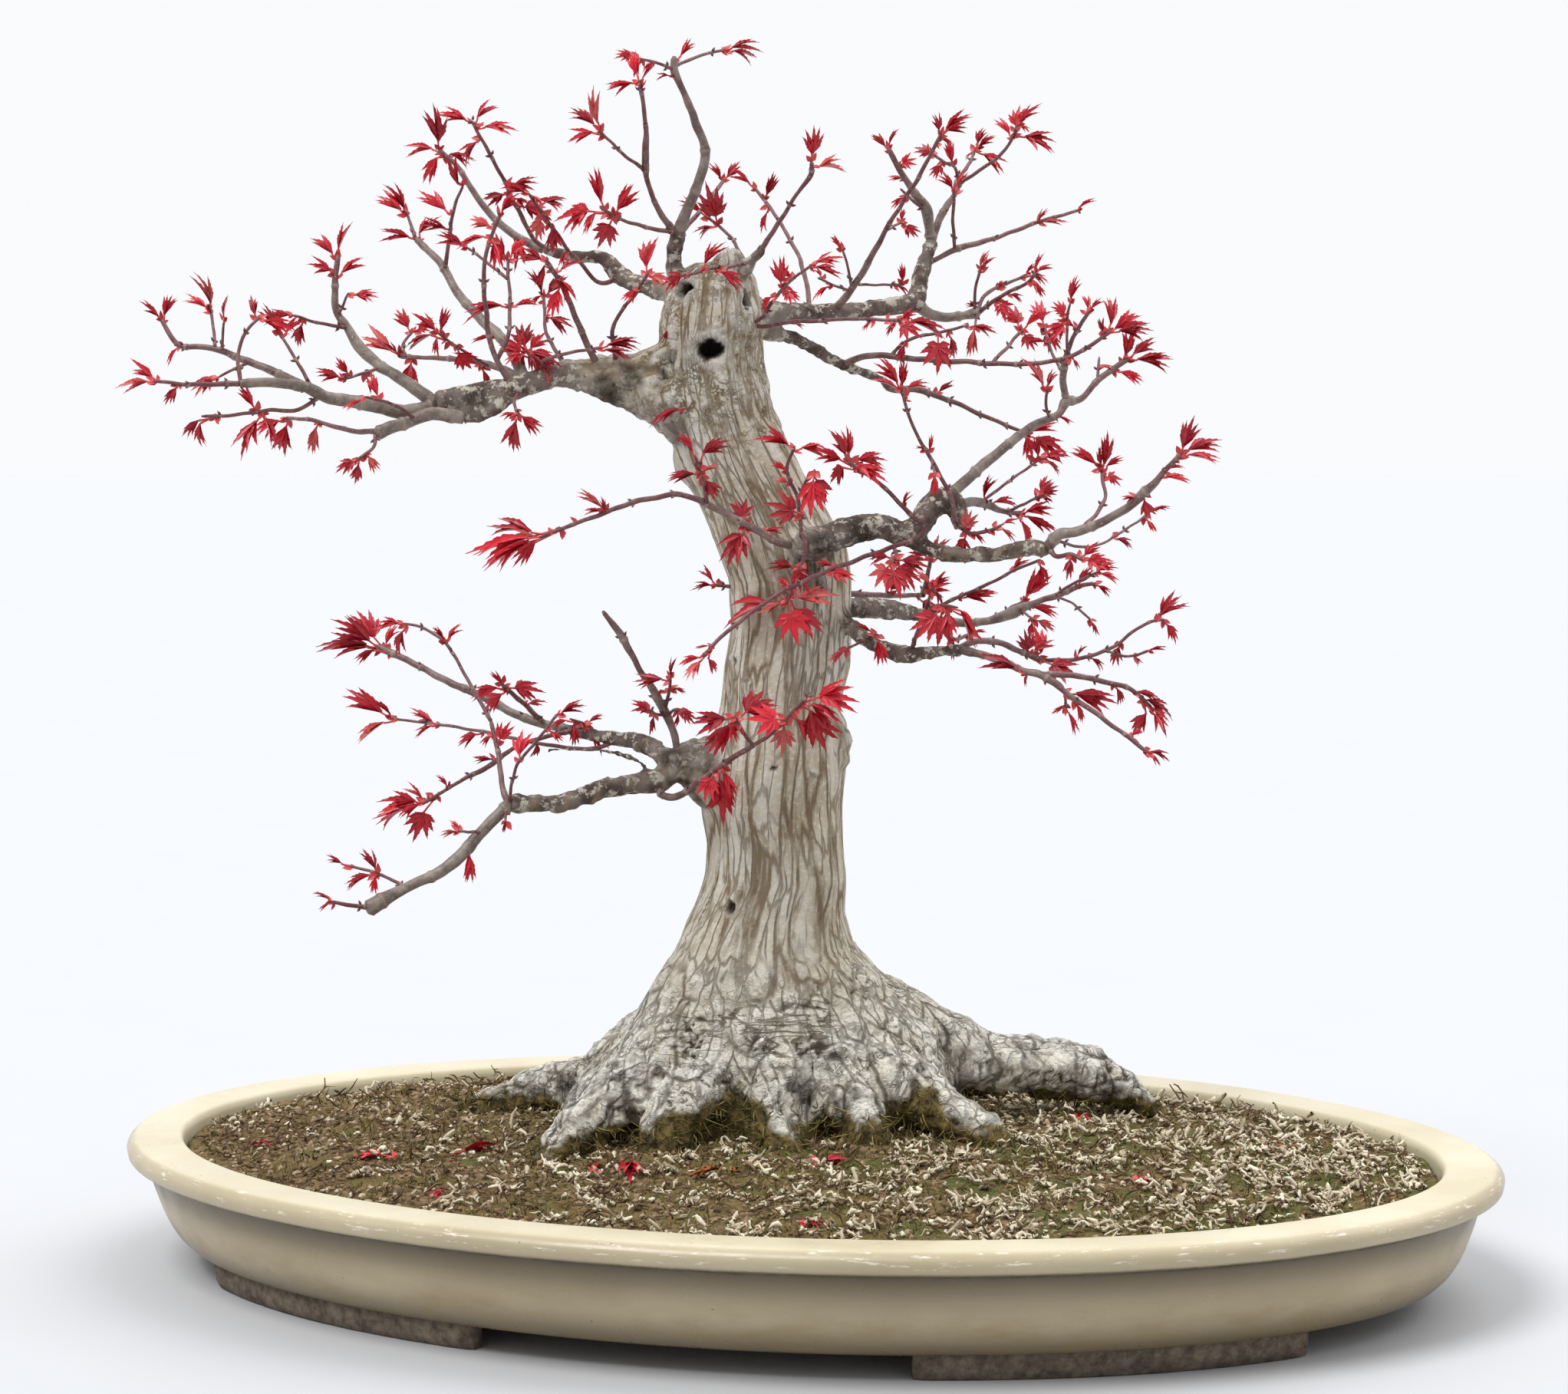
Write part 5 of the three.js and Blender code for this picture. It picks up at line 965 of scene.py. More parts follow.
    def done(self, colour, roughness=None, normal=None):
        self.put(self.shader.inputs["Base Color"], colour)
        if roughness:
            self.put(self.shader.inputs["Roughness"], roughness)
        if normal:
            self.put(self.shader.inputs["Normal"], normal)
        return self.material


def bark_finish():
    """Pale furrowed bark, darker on the limbs, with moss low down, dark hollows, painted shade and
    highlights.
    """
    f = Finish("bark", 0.8, 0.2)
    broad = f.noise(30, 4)
    fine = f.noise(2.2, 5, 0.65)
    patches = f.noise(1, 3, 0.5, f.along_bark(16, 16, 30))
    here = f.steps(patches, (0.36, 0.15), (0.52, 1.0))
    there = f.steps(patches, (0.5, 1.0), (0.62, 0.1))
    furrow = f.times(f.seams(f.along_bark(8, 8, 70), 0.7, 0.07), here)
    thread = f.times(f.seams(f.along_bark(4, 4, 24), 0.8, 0.085), there)
    haze = f.times(f.seams(f.along_bark(8, 8, 70), 0.7, 0.32), here)
    pale = f.blend(broad, 0.4, 0.62, (0.68, 0.61, 0.48), (0.86, 0.82, 0.73))
    pale = f.mix(f.times(haze, 0.42), pale, (0.44, 0.33, 0.18))
    shadow = f.noise(1, 4, 0.6, f.along_bark(7, 7, 60))
    pale = f.mix(f.steps(shadow, (0.52, 0.0), (0.7, 0.55)), pale, (0.45, 0.36, 0.23))
    pale = f.mix(f.steps(fine, (0.36, 0.55), (0.5, 0.0)), pale, (0.90, 0.885, 0.83))
    foot = f.blend(f.noise(17, 5, 0.6), 0.36, 0.58, (0.78, 0.715, 0.58), (0.95, 0.92, 0.83))
    foot = f.mix(f.steps(fine, (0.36, 0.5), (0.5, 0.0)), foot, (0.44, 0.385, 0.28))
    foot = f.mix(f.steps(f.noise(5, 5, 0.7), (0.57, 0.0), (0.66, 0.4)), foot, (0.36, 0.34, 0.28))
    colour = f.mix(f.mark("foot"), pale, foot)
    short = f.lines(f.noise(1, 3, 0.55, f.along_bark(3.6, 3.6, 7), 1.1), 0.035)
    short = f.times(short, f.steps(f.noise(9, 3), (0.42, 0.1), (0.6, 1.0)))
    short = f.times(short, f.mark("foot"))
    flaky = f.lines(f.noise(1, 3, 0.6, f.stretched(6, 6, 4.2), 1.2), 0.045)
    flaky = f.times(f.times(flaky, f.mark("flaky")),
                    f.steps(f.noise(11, 3), (0.42, 0.1), (0.56, 1.0)))
    scab = f.times(f.steps(f.noise(5.5, 5, 0.65), (0.52, 0.0), (0.6, 0.75)), f.mark("flaky"))
    colour = f.mix(scab, colour, (0.40, 0.31, 0.19))
    lines = f.most(f.most(furrow, f.times(thread, 0.8)), f.most(short, flaky))
    line_colour = f.mix(f.mark("foot"), (0.17, 0.105, 0.045), (0.07, 0.05, 0.03))
    colour = f.mix(f.times(lines, 0.8), colour, line_colour)
    fold = f.lines(f.noise(1, 3, 0.5, f.stretched(24, 24, 5.2), 0.7), 0.04)
    fold = f.times(f.times(fold, f.mark("fold")), 0.85)
    colour = f.mix(fold, colour, (0.12, 0.09, 0.055))
    limb = f.blend(f.noise(8, 4), 0.4, 0.62, (0.105, 0.072, 0.062), (0.25, 0.2, 0.17))
    lichen = f.steps(f.noise(4.5, 5, 0.7), (0.53, 0.0), (0.58, 0.9))
    limb = f.mix(lichen, limb, (0.66, 0.62, 0.52))
    colour = f.mix(f.mark("limb"), colour, limb)
    tan = f.mix(f.noise(2.5, 4), (0.13, 0.085, 0.05), (0.42, 0.335, 0.225))
    scar = f.times(f.mark("scar"), f.steps(f.noise(5, 3), (0.4, 0.25), (0.6, 0.8)))
    colour = f.mix(scar, colour, tan)
    colour = f.mix(f.mark("paleness"), colour, (0.70, 0.65, 0.53))
    crack = f.mix(f.mark("foot"), (0.17, 0.105, 0.045), (0.055, 0.042, 0.028))
    colour = f.mix(f.steps(f.mark("crack"), (0.2, 0.0), (0.8, 0.9)), colour, crack)
    # Painted highlight: bark that bulges out is made lighter.
    colour = f.mix(f.times(f.mark("ridge_highlight"), 0.55), colour, (0.90, 0.88, 0.81))
    # Painted shade: bark in hollows and creases is made darker.
    deep = f.steps(f.mark("cavity"), (0.25, 0.0), (1.0, 0.93))
    colour = f.mix(deep, colour, (0.05, 0.037, 0.023))
    # Partly real dark crust and partly painted shade under the limbs and in the hollows.
    stain = f.times(f.mark("stain"), f.steps(f.noise(5, 5, 0.7), (0.3, 1.0), (0.68, 0.3)))
    colour = f.mix(stain, colour, (0.035, 0.024, 0.016))
    green = f.blend(f.noise(7, 5, 0.7), 0.38, 0.62, (0.035, 0.026, 0.012), (0.27, 0.2, 0.07))
    colour = f.mix(f.mark("moss"), colour, green)
    colour = f.mix(f.mark("wound"), colour, (0.012, 0.009, 0.007))
    cuts = f.times(f.most(lines, fold), -0.9)
    wrinkled = f.times(f.noise(1, 4, 0.6, f.along_bark(4.5, 4.5, 9), 0.8), f.mark("foot"))
    relief = f.plus(f.plus(f.noise(1.6, 6, 0.7), f.times(wrinkled, 2.6)), cuts)
    return f.done(colour, normal=f.bump(relief, 1.3, 1.0))


def twig_finish():
    """Purplish red twigs that turn grey brown with age, with pale rings at the joints."""
    f = Finish("twig", 0.42, 0.45)
    patch = f.noise(7, 4, 0.6)
    old = f.blend(patch, 0.4, 0.64, (0.125, 0.088, 0.072), (0.27, 0.225, 0.185))
    young = f.blend(patch, 0.4, 0.62, (0.125, 0.032, 0.038), (0.19, 0.082, 0.08))
    colour = f.mix(f.mark("young"), old, young)
    colour = f.mix(f.steps(f.noise(1.0, 3), (0.62, 0.0), (0.68, 0.6)), colour, (0.42, 0.37, 0.32))
    colour = f.mix(f.steps(f.mark("ring"), (0.3, 0.0), (0.9, 0.6)), colour, (0.36, 0.29, 0.22))
    return f.done(colour, normal=f.bump(f.noise(0.8, 4), 0.25, 0.7))


def leaf_finish():
    """Crimson young leaves, deeper on some, with a fine net of veins."""
    f = Finish("leaf", 0.36, 0.45)
    shade = f.mix(f.mark("tone"), (0.27, 0.002, 0.010), (0.66, 0.009, 0.026))
    shade = f.mix(f.steps(f.noise(3.5, 4), (0.45, 0.0), (0.75, 0.45)), shade, (0.66, 0.03, 0.05))
    shade = f.mix(f.steps(f.mark("vein"), (0.45, 0.0), (1.0, 0.4)), shade, (0.70, 0.055, 0.07))
    shade = f.mix(f.mark("pale"), shade, (0.66, 0.14, 0.12))
    f.shader.inputs["Subsurface Weight"].default_value = 0.15
    f.shader.inputs["Subsurface Radius"].default_value = (0.002, 0.0005, 0.0004)
    f.shader.inputs["Subsurface Scale"].default_value = 1.0
    return f.done(shade, normal=f.bump(f.noise(0.9, 3), 0.12, 0.5))


def glaze_finish():
    """Cream glaze with stains, pinholes and a worn lip, over feet of bare brown clay, with painted
    shade below the lip.
    """
    f = Finish("cream_glaze", 0.3, 0.5)
    cloud = f.noise(55, 4, 0.5)
    colour = f.blend(cloud, 0.35, 0.65, (0.57, 0.50, 0.335), (0.66, 0.60, 0.43))
    # Painted shade: the lip's front face and the wall get darker copies of the glaze than the lit
    # top.
    colour = f.mix(f.mark("face"), colour, f.mix(cloud, (0.36, 0.295, 0.18), (0.53, 0.46, 0.31)))
    colour = f.mix(f.mark("wall"), colour, f.mix(cloud, (0.37, 0.295, 0.175), (0.54, 0.455, 0.30)))
    colour = f.mix(f.times(f.mark("shade"), 0.85), colour, (0.07, 0.045, 0.02))
    stain = f.steps(f.noise(1, 5, 0.6, f.stretched(30, 30, 10)), (0.42, 0.0), (0.72, 0.75))
    colour = f.mix(f.times(stain, f.mark("low")), colour, (0.27, 0.195, 0.085))
    pits = f.steps(f.cell(9), (0.0, 1.0), (0.075, 0.0))
    chosen = f.steps(f.noise(30, 2), (0.52, 0.0), (0.56, 1.0))
    colour = f.mix(f.times(pits, chosen), colour, (0.10, 0.06, 0.03))
    wear = f.steps(f.noise(1, 5, 0.75, f.stretched(13, 13, 1.6)), (0.58, 0.0), (0.63, 0.75))
    colour = f.mix(f.times(wear, f.mark("edge")), colour, (0.78, 0.74, 0.64))
    # Painted shade: a dark line in the groove under the lip, broken up by noise.
    groove_shade = f.steps(f.noise(9, 5, 0.7), (0.4, 0.3), (0.65, 0.85))
    colour = f.mix(f.times(groove_shade, f.mark("groove")), colour, (0.06, 0.042, 0.022))
    clay = f.blend(f.noise(5, 5, 0.7), 0.35, 0.7, (0.075, 0.055, 0.04), (0.24, 0.19, 0.14))
    colour = f.mix(f.mark("foot"), colour, clay)
    rough = f.most(f.steps(f.noise(12, 4), (0.3, 0.24), (0.7, 0.42)), f.mark("foot"))
    relief = f.plus(f.noise(16, 3), f.times(f.noise(1.2, 3), 0.15))
    return f.done(colour, rough, f.bump(relief, 0.5, 0.5))


def soil_finish():
    """Brown crumbs with green and olive moss between them."""
    f = Finish("soil", 0.95, 0.1)
    split = f.node("ShaderNodeSeparateColor", {0: f.cell(2.4, output="Color")})
    colour = f.mix(split, (0.035, 0.02, 0.01), (0.33, 0.215, 0.115))
    colour = f.mix(f.steps(f.noise(16, 5), (0.45, 0.0), (0.62, 0.9)), colour, (0.17, 0.132, 0.045))
    colour = f.mix(f.mark("green"), colour, (0.12, 0.125, 0.04))
    colour = f.mix(f.steps(f.noise(2.2, 4), (0.56, 0.0), (0.66, 0.6)), colour, (0.30, 0.235, 0.14))
    relief = f.plus(f.cell(2.2), f.noise(1.0, 4))
    return f.done(colour, normal=f.bump(relief, 1.4, 1.0))


def strand_finish(name, dark, light, roughness=0.8):
    """Loose strands, each of its own tone between a dark and a light colour."""
    f = Finish(name, roughness, 0.2)
    colour = f.mix(f.mark("tone"), dark, light)
    colour = f.mix(f.steps(f.noise(1.6, 3), (0.4, 0.35), (0.65, 0.0)), colour, dark)
    return f.done(colour, normal=f.bump(f.noise(0.7, 3), 0.3, 0.6))


def mesh_finish():
    f = Finish("screen_plastic", 0.55)
    colour = f.mix(f.noise(3, 3), (0.012, 0.013, 0.014), (0.03, 0.03, 0.032))
    return f.done(colour, normal=f.bump(f.noise(0.9, 3), 0.1, 0.5))


# Pot

def oval(inset, count):
    """Places across and back on an oval inside the pot's widest outline."""
    angles = np.radians(360.0 * np.arange(count) / count)
    return np.column_stack([
        (POT_LENGTH / 2 - inset) * np.cos(angles),
        (POT_DEPTH / 2 - inset) * np.sin(angles),
    ])


def at_height(flat, height):
    return np.column_stack([flat, np.full(len(flat), height)])


def share_of_oval(x, y, inset):
    """0 in the middle of the pot, 1 on the oval with this inset."""
    return np.hypot(x / (POT_LENGTH / 2 - inset), y / (POT_DEPTH / 2 - inset))


def rounded(corners, steps=5):
    """A line of corners, each but the ends turned into a small arc of its own radius."""
    line = [np.array(corners[0][:2], float)]
    for before, corner, after in zip(corners[:-2], corners[1:-1], corners[2:]):
        middle = np.array(corner[:2], float)
        back = np.array(before[:2], float) - middle
        ahead = np.array(after[:2], float) - middle
        reach = min(corner[2], np.linalg.norm(back) * 0.45, np.linalg.norm(ahead) * 0.45)
        start = middle + unit(back) * reach
        end = middle + unit(ahead) * reach
        for t in np.linspace(0, 1, steps):
            line.append((1 - t) ** 2 * start + 2 * t * (1 - t) * middle + t * t * end)
    line.append(np.array(corners[-1][:2], float))
    return np.array(line)


def build_pot(material):
    pot = Shape()
    profile = rounded(POT_PROFILE)
    points = np.concatenate([
        at_height(oval(inset, POT_SEGMENTS), height) for inset, height in profile
    ])
    outward = unit(points * (1, 1, 0))
    uneven = grain(points, (60, 60, 25), 3) * 0.35 + grain(points, (18, 18, 9), 4) * 0.12
    points = points + outward * np.where(points[:, 2] > FLOOR_TOP, uneven, 0)[:, None]
    inset = np.repeat(profile[:, 0], POT_SEGMENTS)
    height = points[:, 2]
    under_lip = ramp(height, 26, 46) ** 1.3 * ramp(height, 48.2, 47)
    # Painted shade: the wall, the lip's front face, the groove and the foot of the wall are made
    # darker.
    marks = {
        "wall": ramp(height, 48, 44), "low": ramp(height, 40, 14),
        "groove": ramp(np.abs(height - 46.4), 2.6, 0.9),
        "face": ramp(inset, 4.6, 2.2) * ramp(height, 46, 48),
        "shade": np.maximum(under_lip, ramp(height, 27, 11) * 0.8),
    }
    outside = (inset < 23.5) | (height < 13)
    marks = {name: np.where(outside, values, 0.0) for name, values in marks.items()}
    pot.add(points, skin_faces(len(profile), POT_SEGMENTS), foot=0.0,
            edge=(inset < 4.5) & (height > 51), **marks)
    cut_drains(pot.build("oval_pot", material, "glazed_pot", "pot"))
    feet = Shape()
    for start, end in FEET:
        add_foot(feet, start, end)
    feet.build("pot_feet", material, "glazed_pot", "pot")


def add_foot(pot, start, end):
    """A low curved foot under the wall, its corners softened and its lower edge chipped."""
    steps = 44
    section = [
        [FOOT_OUTER_INSET, FOOT_TOP], [FOOT_OUTER_INSET + 0.6, 4],
        [FOOT_OUTER_INSET + FOOT_TAPER, 0.9], [FOOT_OUTER_INSET + FOOT_TAPER + 1.2, 0],
        [FOOT_INNER_INSET - 1.0, 0], [FOOT_INNER_INSET, 0.9], [FOOT_INNER_INSET, FOOT_TOP],
    ]
    middle = (FOOT_OUTER_INSET + FOOT_INNER_INSET) / 2
    points = []
    for share in np.linspace(0, 1, steps):
        angle = math.radians(start + (end - start) * share)
        narrow = 0.35 if share in (0.0, 1.0) else 0.0
        for inset, height in section:
            inset = inset + (middle - inset) * narrow
            points.append([
                (POT_LENGTH / 2 - inset) * math.cos(angle),
                (POT_DEPTH / 2 - inset) * math.sin(angle),
                height,
            ])
    points = np.array(points)
    chips = np.maximum(grain(points, 5, 11) + grain(points, 2.2, 12) * 0.5 - 0.1, 0)
    points[:, 2] += np.where((points[:, 2] > 0.5) & (points[:, 2] < 6), chips * 0.8, 0)
    pot.add(points, skin_faces(steps, len(section)), foot=1.0)


def cut_drains(piece):
    sides = 40
    angles = 2 * np.pi * np.arange(sides) / sides
    for side in (-1, 1):
        circle = np.column_stack([
            side * DRAIN_OFFSET + DRAIN_RADIUS * np.cos(angles),
            DRAIN_RADIUS * np.sin(angles),
        ])
        levels = np.concatenate([at_height(circle, z) for z in (2.0, FLOOR_TOP + 5.0)])
        cutter = mesh_object("cutter", levels, skin_faces(2, sides), piece.data.materials[0])
        cut = piece.modifiers.new("drain", "BOOLEAN")
        cut.operation = "DIFFERENCE"
        cut.solver = "EXACT"
        cut.object = cutter
        apply_modifiers(piece)
        bpy.data.objects.remove(cutter)


def apply_modifiers(piece):
    graph = bpy.context.evaluated_depsgraph_get()
    mesh = bpy.data.meshes.new_from_object(piece.evaluated_get(graph), depsgraph=graph)
    piece.modifiers.clear()
    piece.data = mesh


def build_screen(side, name, node, material):
    """A fine square mesh over a drain hole: bars both ways, the second set a little higher."""
    screen = Shape()
    half = SCREEN_SIZE / 2
    count = int(SCREEN_SIZE / SCREEN_PITCH)
    for turned in (False, True):
        low = FLOOR_TOP + CLEARANCE + (0.35 if turned else 0.0)
        for k in range(count + 1):
            place = -half + SCREEN_BAR / 2 + (SCREEN_SIZE - SCREEN_BAR) * k / count
            along = np.linspace(-half, half, 3)
            path = [[place, s, low + 0.42] if turned else [s, place, low + 0.42] for s in along]
            points = tube(path, [SCREEN_BAR / 2] * 3, 8)
            points[:, 2] = low + 0.42 + (points[:, 2] - low - 0.42) * 0.85
            points[:, 0] += side * DRAIN_OFFSET
            screen.add(points, skin_faces(3, 8))
    screen.build(name, material, "mesh_screen", node)


# Trunk, roots and limbs

def column_at(heights):
    """Centre across, centre depth, half width and half depth of the trunk at true heights."""
    x, y, z = stems["trunk"]["path"].T
    return [np.interp(heights, z, values) for values in (x, y, *TRUNK_RINGS[:, 3:].T)]


def column_shape(shape):
    """The fluted trunk without its bark, drawn in between the roots."""
    levels = stems["trunk"]["path"][:, 2]
    heights = np.arange(levels[0], levels[-1], 3.0)
    x, y, wide, deep = column_at(heights)
    front_heights = np.interp(heights, levels, TRUNK_RINGS[:, 1])
    angles = 2 * np.pi * np.arange(COLUMN_SIDES) / COLUMN_SIDES
    between = np.ones(COLUMN_SIDES)
    for root in ROOTS:
        heading = math.atan2(root[3][2] - 26, root[3][1] + 6)
        turn = np.angle(np.exp(1j * (angles - heading)))
        between *= 1 - np.exp(-(turn / 0.26) ** 2)
    rings = []
    for i, height in enumerate(front_heights):
        flute = 1 + 0.045 * np.sin(3 * angles + height / 37)
        flute += 0.03 * np.sin(5 * angles - height / 23 + 1)
        flute = flute - 0.24 * between * ramp(height, 104, 66)
        rings.append(np.column_stack([
            x[i] + wide[i] * flute * np.cos(angles),
            y[i] + deep[i] * flute * np.sin(angles),
            np.full(COLUMN_SIDES, heights[i]),
        ]))
    shape.add(np.concatenate(rings), skin_faces(len(rings), COLUMN_SIDES))


def surface_point(across, height):
    """The place on the front of the trunk that is seen there, and the way out of it."""
    place = seen(across, height, -20)
    x, y, wide, deep = (value[0] for value in column_at([place[2]]))
    lean = np.clip((place[0] - x) / wide, -0.96, 0.96)
    point = np.array([x + lean * wide, y - deep * math.sqrt(1 - lean * lean), place[2]])
    return point, unit(np.array([lean / wide, -math.sqrt(1 - lean * lean) / deep, 0]))


def ball(centre, radius, rings=9, sides=16):
    shares = np.linspace(0.02, 0.98, rings)
    path = np.column_stack([np.full(rings, centre[0]), np.full(rings, centre[1]),
                            centre[2] - radius * np.cos(np.pi * shares)])
    return tube(path, radius * np.sin(np.pi * shares), sides), skin_faces(rings, sides)


def remeshed(piece, voxel):
    cover = piece.modifiers.new("skin", "REMESH")
    cover.mode = "VOXEL"
    cover.voxel_size = voxel * MM
    apply_modifiers(piece)
    return read(piece.data.vertices, "co", 3) / MM


def read(items, field, width, kind=float):
    """One field of many mesh items, a row for each."""
    values = np.zeros(len(items) * width, kind)
    items.foreach_get(field, values)
    return values.reshape(-1, width)


def averaged(values, edges):
    """The mean of each point's neighbours."""
    total = np.zeros_like(values)
    count = np.zeros(len(values))
    for a, b in ((0, 1), (1, 0)):
        for axis in range(values.shape[1]):
            total[:, axis] += np.bincount(edges[:, a], values[edges[:, b], axis], len(values))
        count += np.bincount(edges[:, a], minlength=len(values))
    return total / np.maximum(count, 1)[:, None]


def smoothed(points, edges, times, share):
    """Each point drawn towards its neighbours' mean, some times over."""
    for _ in range(times):
        points = points + (averaged(points, edges) - points) * share
    return points


def point_normals(piece, points):
    piece.data.vertices.foreach_set("co", (points * MM).ravel())
    piece.data.update()
    return read(piece.data.vertex_normals, "vector", 3)


def distance_to_stems(points, lines):
    """How far each point lies outside the nearest of some tapered lines, and how far along it."""
    best = np.full(len(points), 1e6)
    places = np.zeros(len(points))
    for path, radii in lines:
        lengths = np.concatenate([[0], np.cumsum(np.linalg.norm(np.diff(path, axis=0), axis=1))])
        for i in range(len(path) - 1):
            step = path[i + 1] - path[i]
            t = np.clip((points - path[i]) @ step / max(step @ step, 1e-9), 0, 1)
            gap = np.linalg.norm(points - path[i] - t[:, None] * step, axis=1)
            outside = gap - (radii[i] + (radii[i + 1] - radii[i]) * t)
            closer = outside < best
            best = np.where(closer, outside, best)
            places = np.where(closer, lengths[i] + t * np.linalg.norm(step), places)
    return best, places


def valley(values, width):
    """1 along the zero line of a noise, falling to 0 at a width to each side."""
    return 1 - ramp(np.abs(values), 0.0, width)


def flow_places(points, angle):
    """Places on a straightened trunk, with the roots counted as further down it."""
    x, y, wide, deep = column_at(np.maximum(points[:, 2], 140))
    outside = np.hypot(points[:, 0] - x, points[:, 1] - y) - np.minimum(wide, deep)
    outside = np.maximum(outside, 0) * ramp(points[:, 2], 150, 115)
    reach = 26 + 0.45 * outside
    down = points[:, 2] - 0.6 * outside
    return np.column_stack([np.cos(angle) * reach, np.sin(angle) * reach, down])


def furrow_pattern(points, angle):
    """Long wandering furrows up the trunk: how deep each point lies in one, from 0 to 1."""
    flat = flow_places(points, angle)
    bend = grain(flat, (15, 15, 40), 21) * 2.6 + grain(flat, (5, 5, 15), 22) * 0.75
    broad = valley(np.sin(angle * 15 + bend), 0.42)
    broad *= ramp(grain(flat, (9, 9, 42), 23), -0.35, 0.25)
    bend = grain(flat, (11, 11, 30), 24) * 2.4 + grain(flat, (4, 4, 12), 25) * 0.8
    narrow = valley(np.sin(angle * 26 + bend), 0.5) * ramp(grain(flat, (6, 6, 26), 26), -0.1, 0.3)
    return np.maximum(broad, narrow * 0.6)


def swayed(points, size, seed, reach):
    """The points moved about by smooth noise."""
    return points + np.column_stack([grain(points, size, seed + k) for k in (1, 2, 3)]) * reach


def plate_pattern(points, size, seed, width):
    """Cracks between bark plates."""
    gap = cells(swayed(points, 7, seed, 3.4), size, seed)[1]
    return 1 - ramp(gap, 0.02, width)


def gnarl_pattern(points, seed):
    """Short forked cracks of several sizes, thick in some places and missing in others."""
    total = np.zeros(len(points))
    for size, width, weight in ((15, 0.10, 1.0), (8, 0.13, 0.8), (4.2, 0.16, 0.5)):
        bent = swayed(points, size * 0.5, seed, size * 0.22)
        crack = valley(grain(bent, (size, size, size * 1.25), seed), width)
        patch = ramp(grain(points, size * 2.1, seed + 5), -0.25, 0.3)
        total = np.maximum(total, crack * patch * weight)
        seed += 10
    return total


def trunk_relief(points):
    """How far each point moves out, and the marks that colour it."""
    x, y, wide, deep = column_at(points[:, 2])
    across = (points[:, 0] - x) / wide
    away = (points[:, 1] - y) / deep
    from_column = (np.hypot(across, away) - 1) * np.minimum(wide, deep)
    from_column += np.maximum(points[:, 2] - 432, 0)
    angle = np.arctan2(away, across)
    from_limb, along = distance_to_stems(points, lines_of(row[0] for row in LIMBS))
    from_collar, _ = distance_to_stems(points, lines_of(WEBS))
    from_column = np.minimum(from_column, from_collar)
    limb = ramp(from_column - from_limb, -2.0, 3.0)
    height = points[:, 2]
    base = ramp(height, 160, 122)
    low = ramp(height, 116, 96)
    top = ramp(height, 352, 366)
    furrows = furrow_pattern(points, angle)
    blocks = plate_pattern(points, (6.5, 6.5, 7.5), 31, 0.16)
    blocks *= ramp(grain(points, 16, 30), -0.3, 0.3)
    blocks *= ramp(points[:, 0], -8, 10) * ramp(np.abs(height - 127), 17, 9)
    slits = gnarl_pattern(points * (1, 1, 0.45), 91) * ramp(np.abs(height - 146), 15, 7)
    wrinkles = plate_pattern(points, (17, 17, 4.4), 35, 0.14)
    wrinkles *= ramp(grain(points, 20, 34), -0.3, 0.3)
    fold = ramp(np.abs(height - 108), 17, 8) * ramp(np.abs(points[:, 0] + 14), 52, 30)
    flakes = plate_pattern(points, (13, 13, 7), 37, 0.12) * ramp(grain(points, 13, 38), -0.2, 0.35)
    gnarls = gnarl_pattern(points, 60)
    cracks = np.maximum(furrows * (1 - 0.3 * base) * (1 - 0.6 * fold), flakes * top)
    cracks = np.maximum(cracks, np.maximum(blocks, slits * 0.9))
    cracks = np.maximum(cracks, wrinkles * fold)
    cracks = np.maximum(cracks, low * gnarls * 0.9 * (1 - 0.6 * fold))
    lumps = grain(points, (15, 15, 34), 41) * 0.8 + grain(points, (6, 6, 18), 42) * 0.4
    flow = flow_places(points, angle)
    knobs = grain(points, 26, 46) * 1.8 + grain(points, 11, 47) * 1.5 + grain(points, 5, 48) * 1.0
    knobs += (grain(points, 2.7, 49) * 0.5 + grain(flow, (9, 9, 60), 52) * 2.4
              + grain(flow, (4.5, 4.5, 26), 53) * 0.9)
    lumps = lumps * (1 - low) + knobs * low + grain(points, 4.5, 43) * 0.45 * np.maximum(base, top)
    lumps += grain(points, (16, 16, 5), 54) * fold * 1.1 + grain(points, (9, 9, 12), 56) * top * 1.5
    moved = lumps - cracks * (0.85 + 0.4 * base)
    rings = grain(np.column_stack([along, np.zeros(len(along)), from_limb]), (3.2, 1, 6), 44)
    limb_moved = grain(points, 6, 45) * 0.6 + rings * 0.35 + grain(points, 2.4, 50) * 0.3
    limb_crack = valley(grain(points, 4, 51), 0.12) * 0.5
    rough = ramp(from_column, 16, 2)
    limb_moved = limb_moved * (1 + rough) - limb_crack * 0.6 * rough
    return {
        "moved": moved * (1 - limb) + limb_moved * limb,
        "crack": cracks * (1 - limb) + limb_crack * limb,
        "limb": limb * (0.72 + 0.28 * ramp(from_column, 2, 14)),
        "foot": ramp(height + grain(points, 14, 58) * 14, 150, 104) * (1 - limb * 0.5),
        "fold": fold * ramp(grain(points, 15, 59), -0.5, 0.2), "flow": flow,
    }


WEBS = ("leftWeb", "leftShoulder", "leftFill", "lowerWeb")
STUBS = ("paleStub", "topStub")


def lines_of(names):
    return [(stems[name]["path"], stems[name]["radii"]) for name in names]


def wire_scars():
    """Spiral ridges round the limbs that a training wire once held."""
    scars = []
    for name, (pitch, start, end) in WIRED.items():
        path, radii, places = flowing(stems[name]["path"], stems[name]["radii"], 1.0)
        forward = unit(np.gradient(path, axis=0))
        sideways = unit(np.cross(forward, (0.0, 0.0, 1.0)))
        upward = np.cross(sideways, forward)
        turn = (2 * np.pi * places / pitch)[:, None]
        turn = turn + grain(np.column_stack([places] * 3), 14, 57)[:, None] * 1.3
        ring = path + (np.cos(turn) * sideways + np.sin(turn) * upward) * (radii * 0.96)[:, None]
        held = (places >= start) & (places <= end)
        scars.append((ring[held], np.full(held.sum(), 1.15)))
    return scars


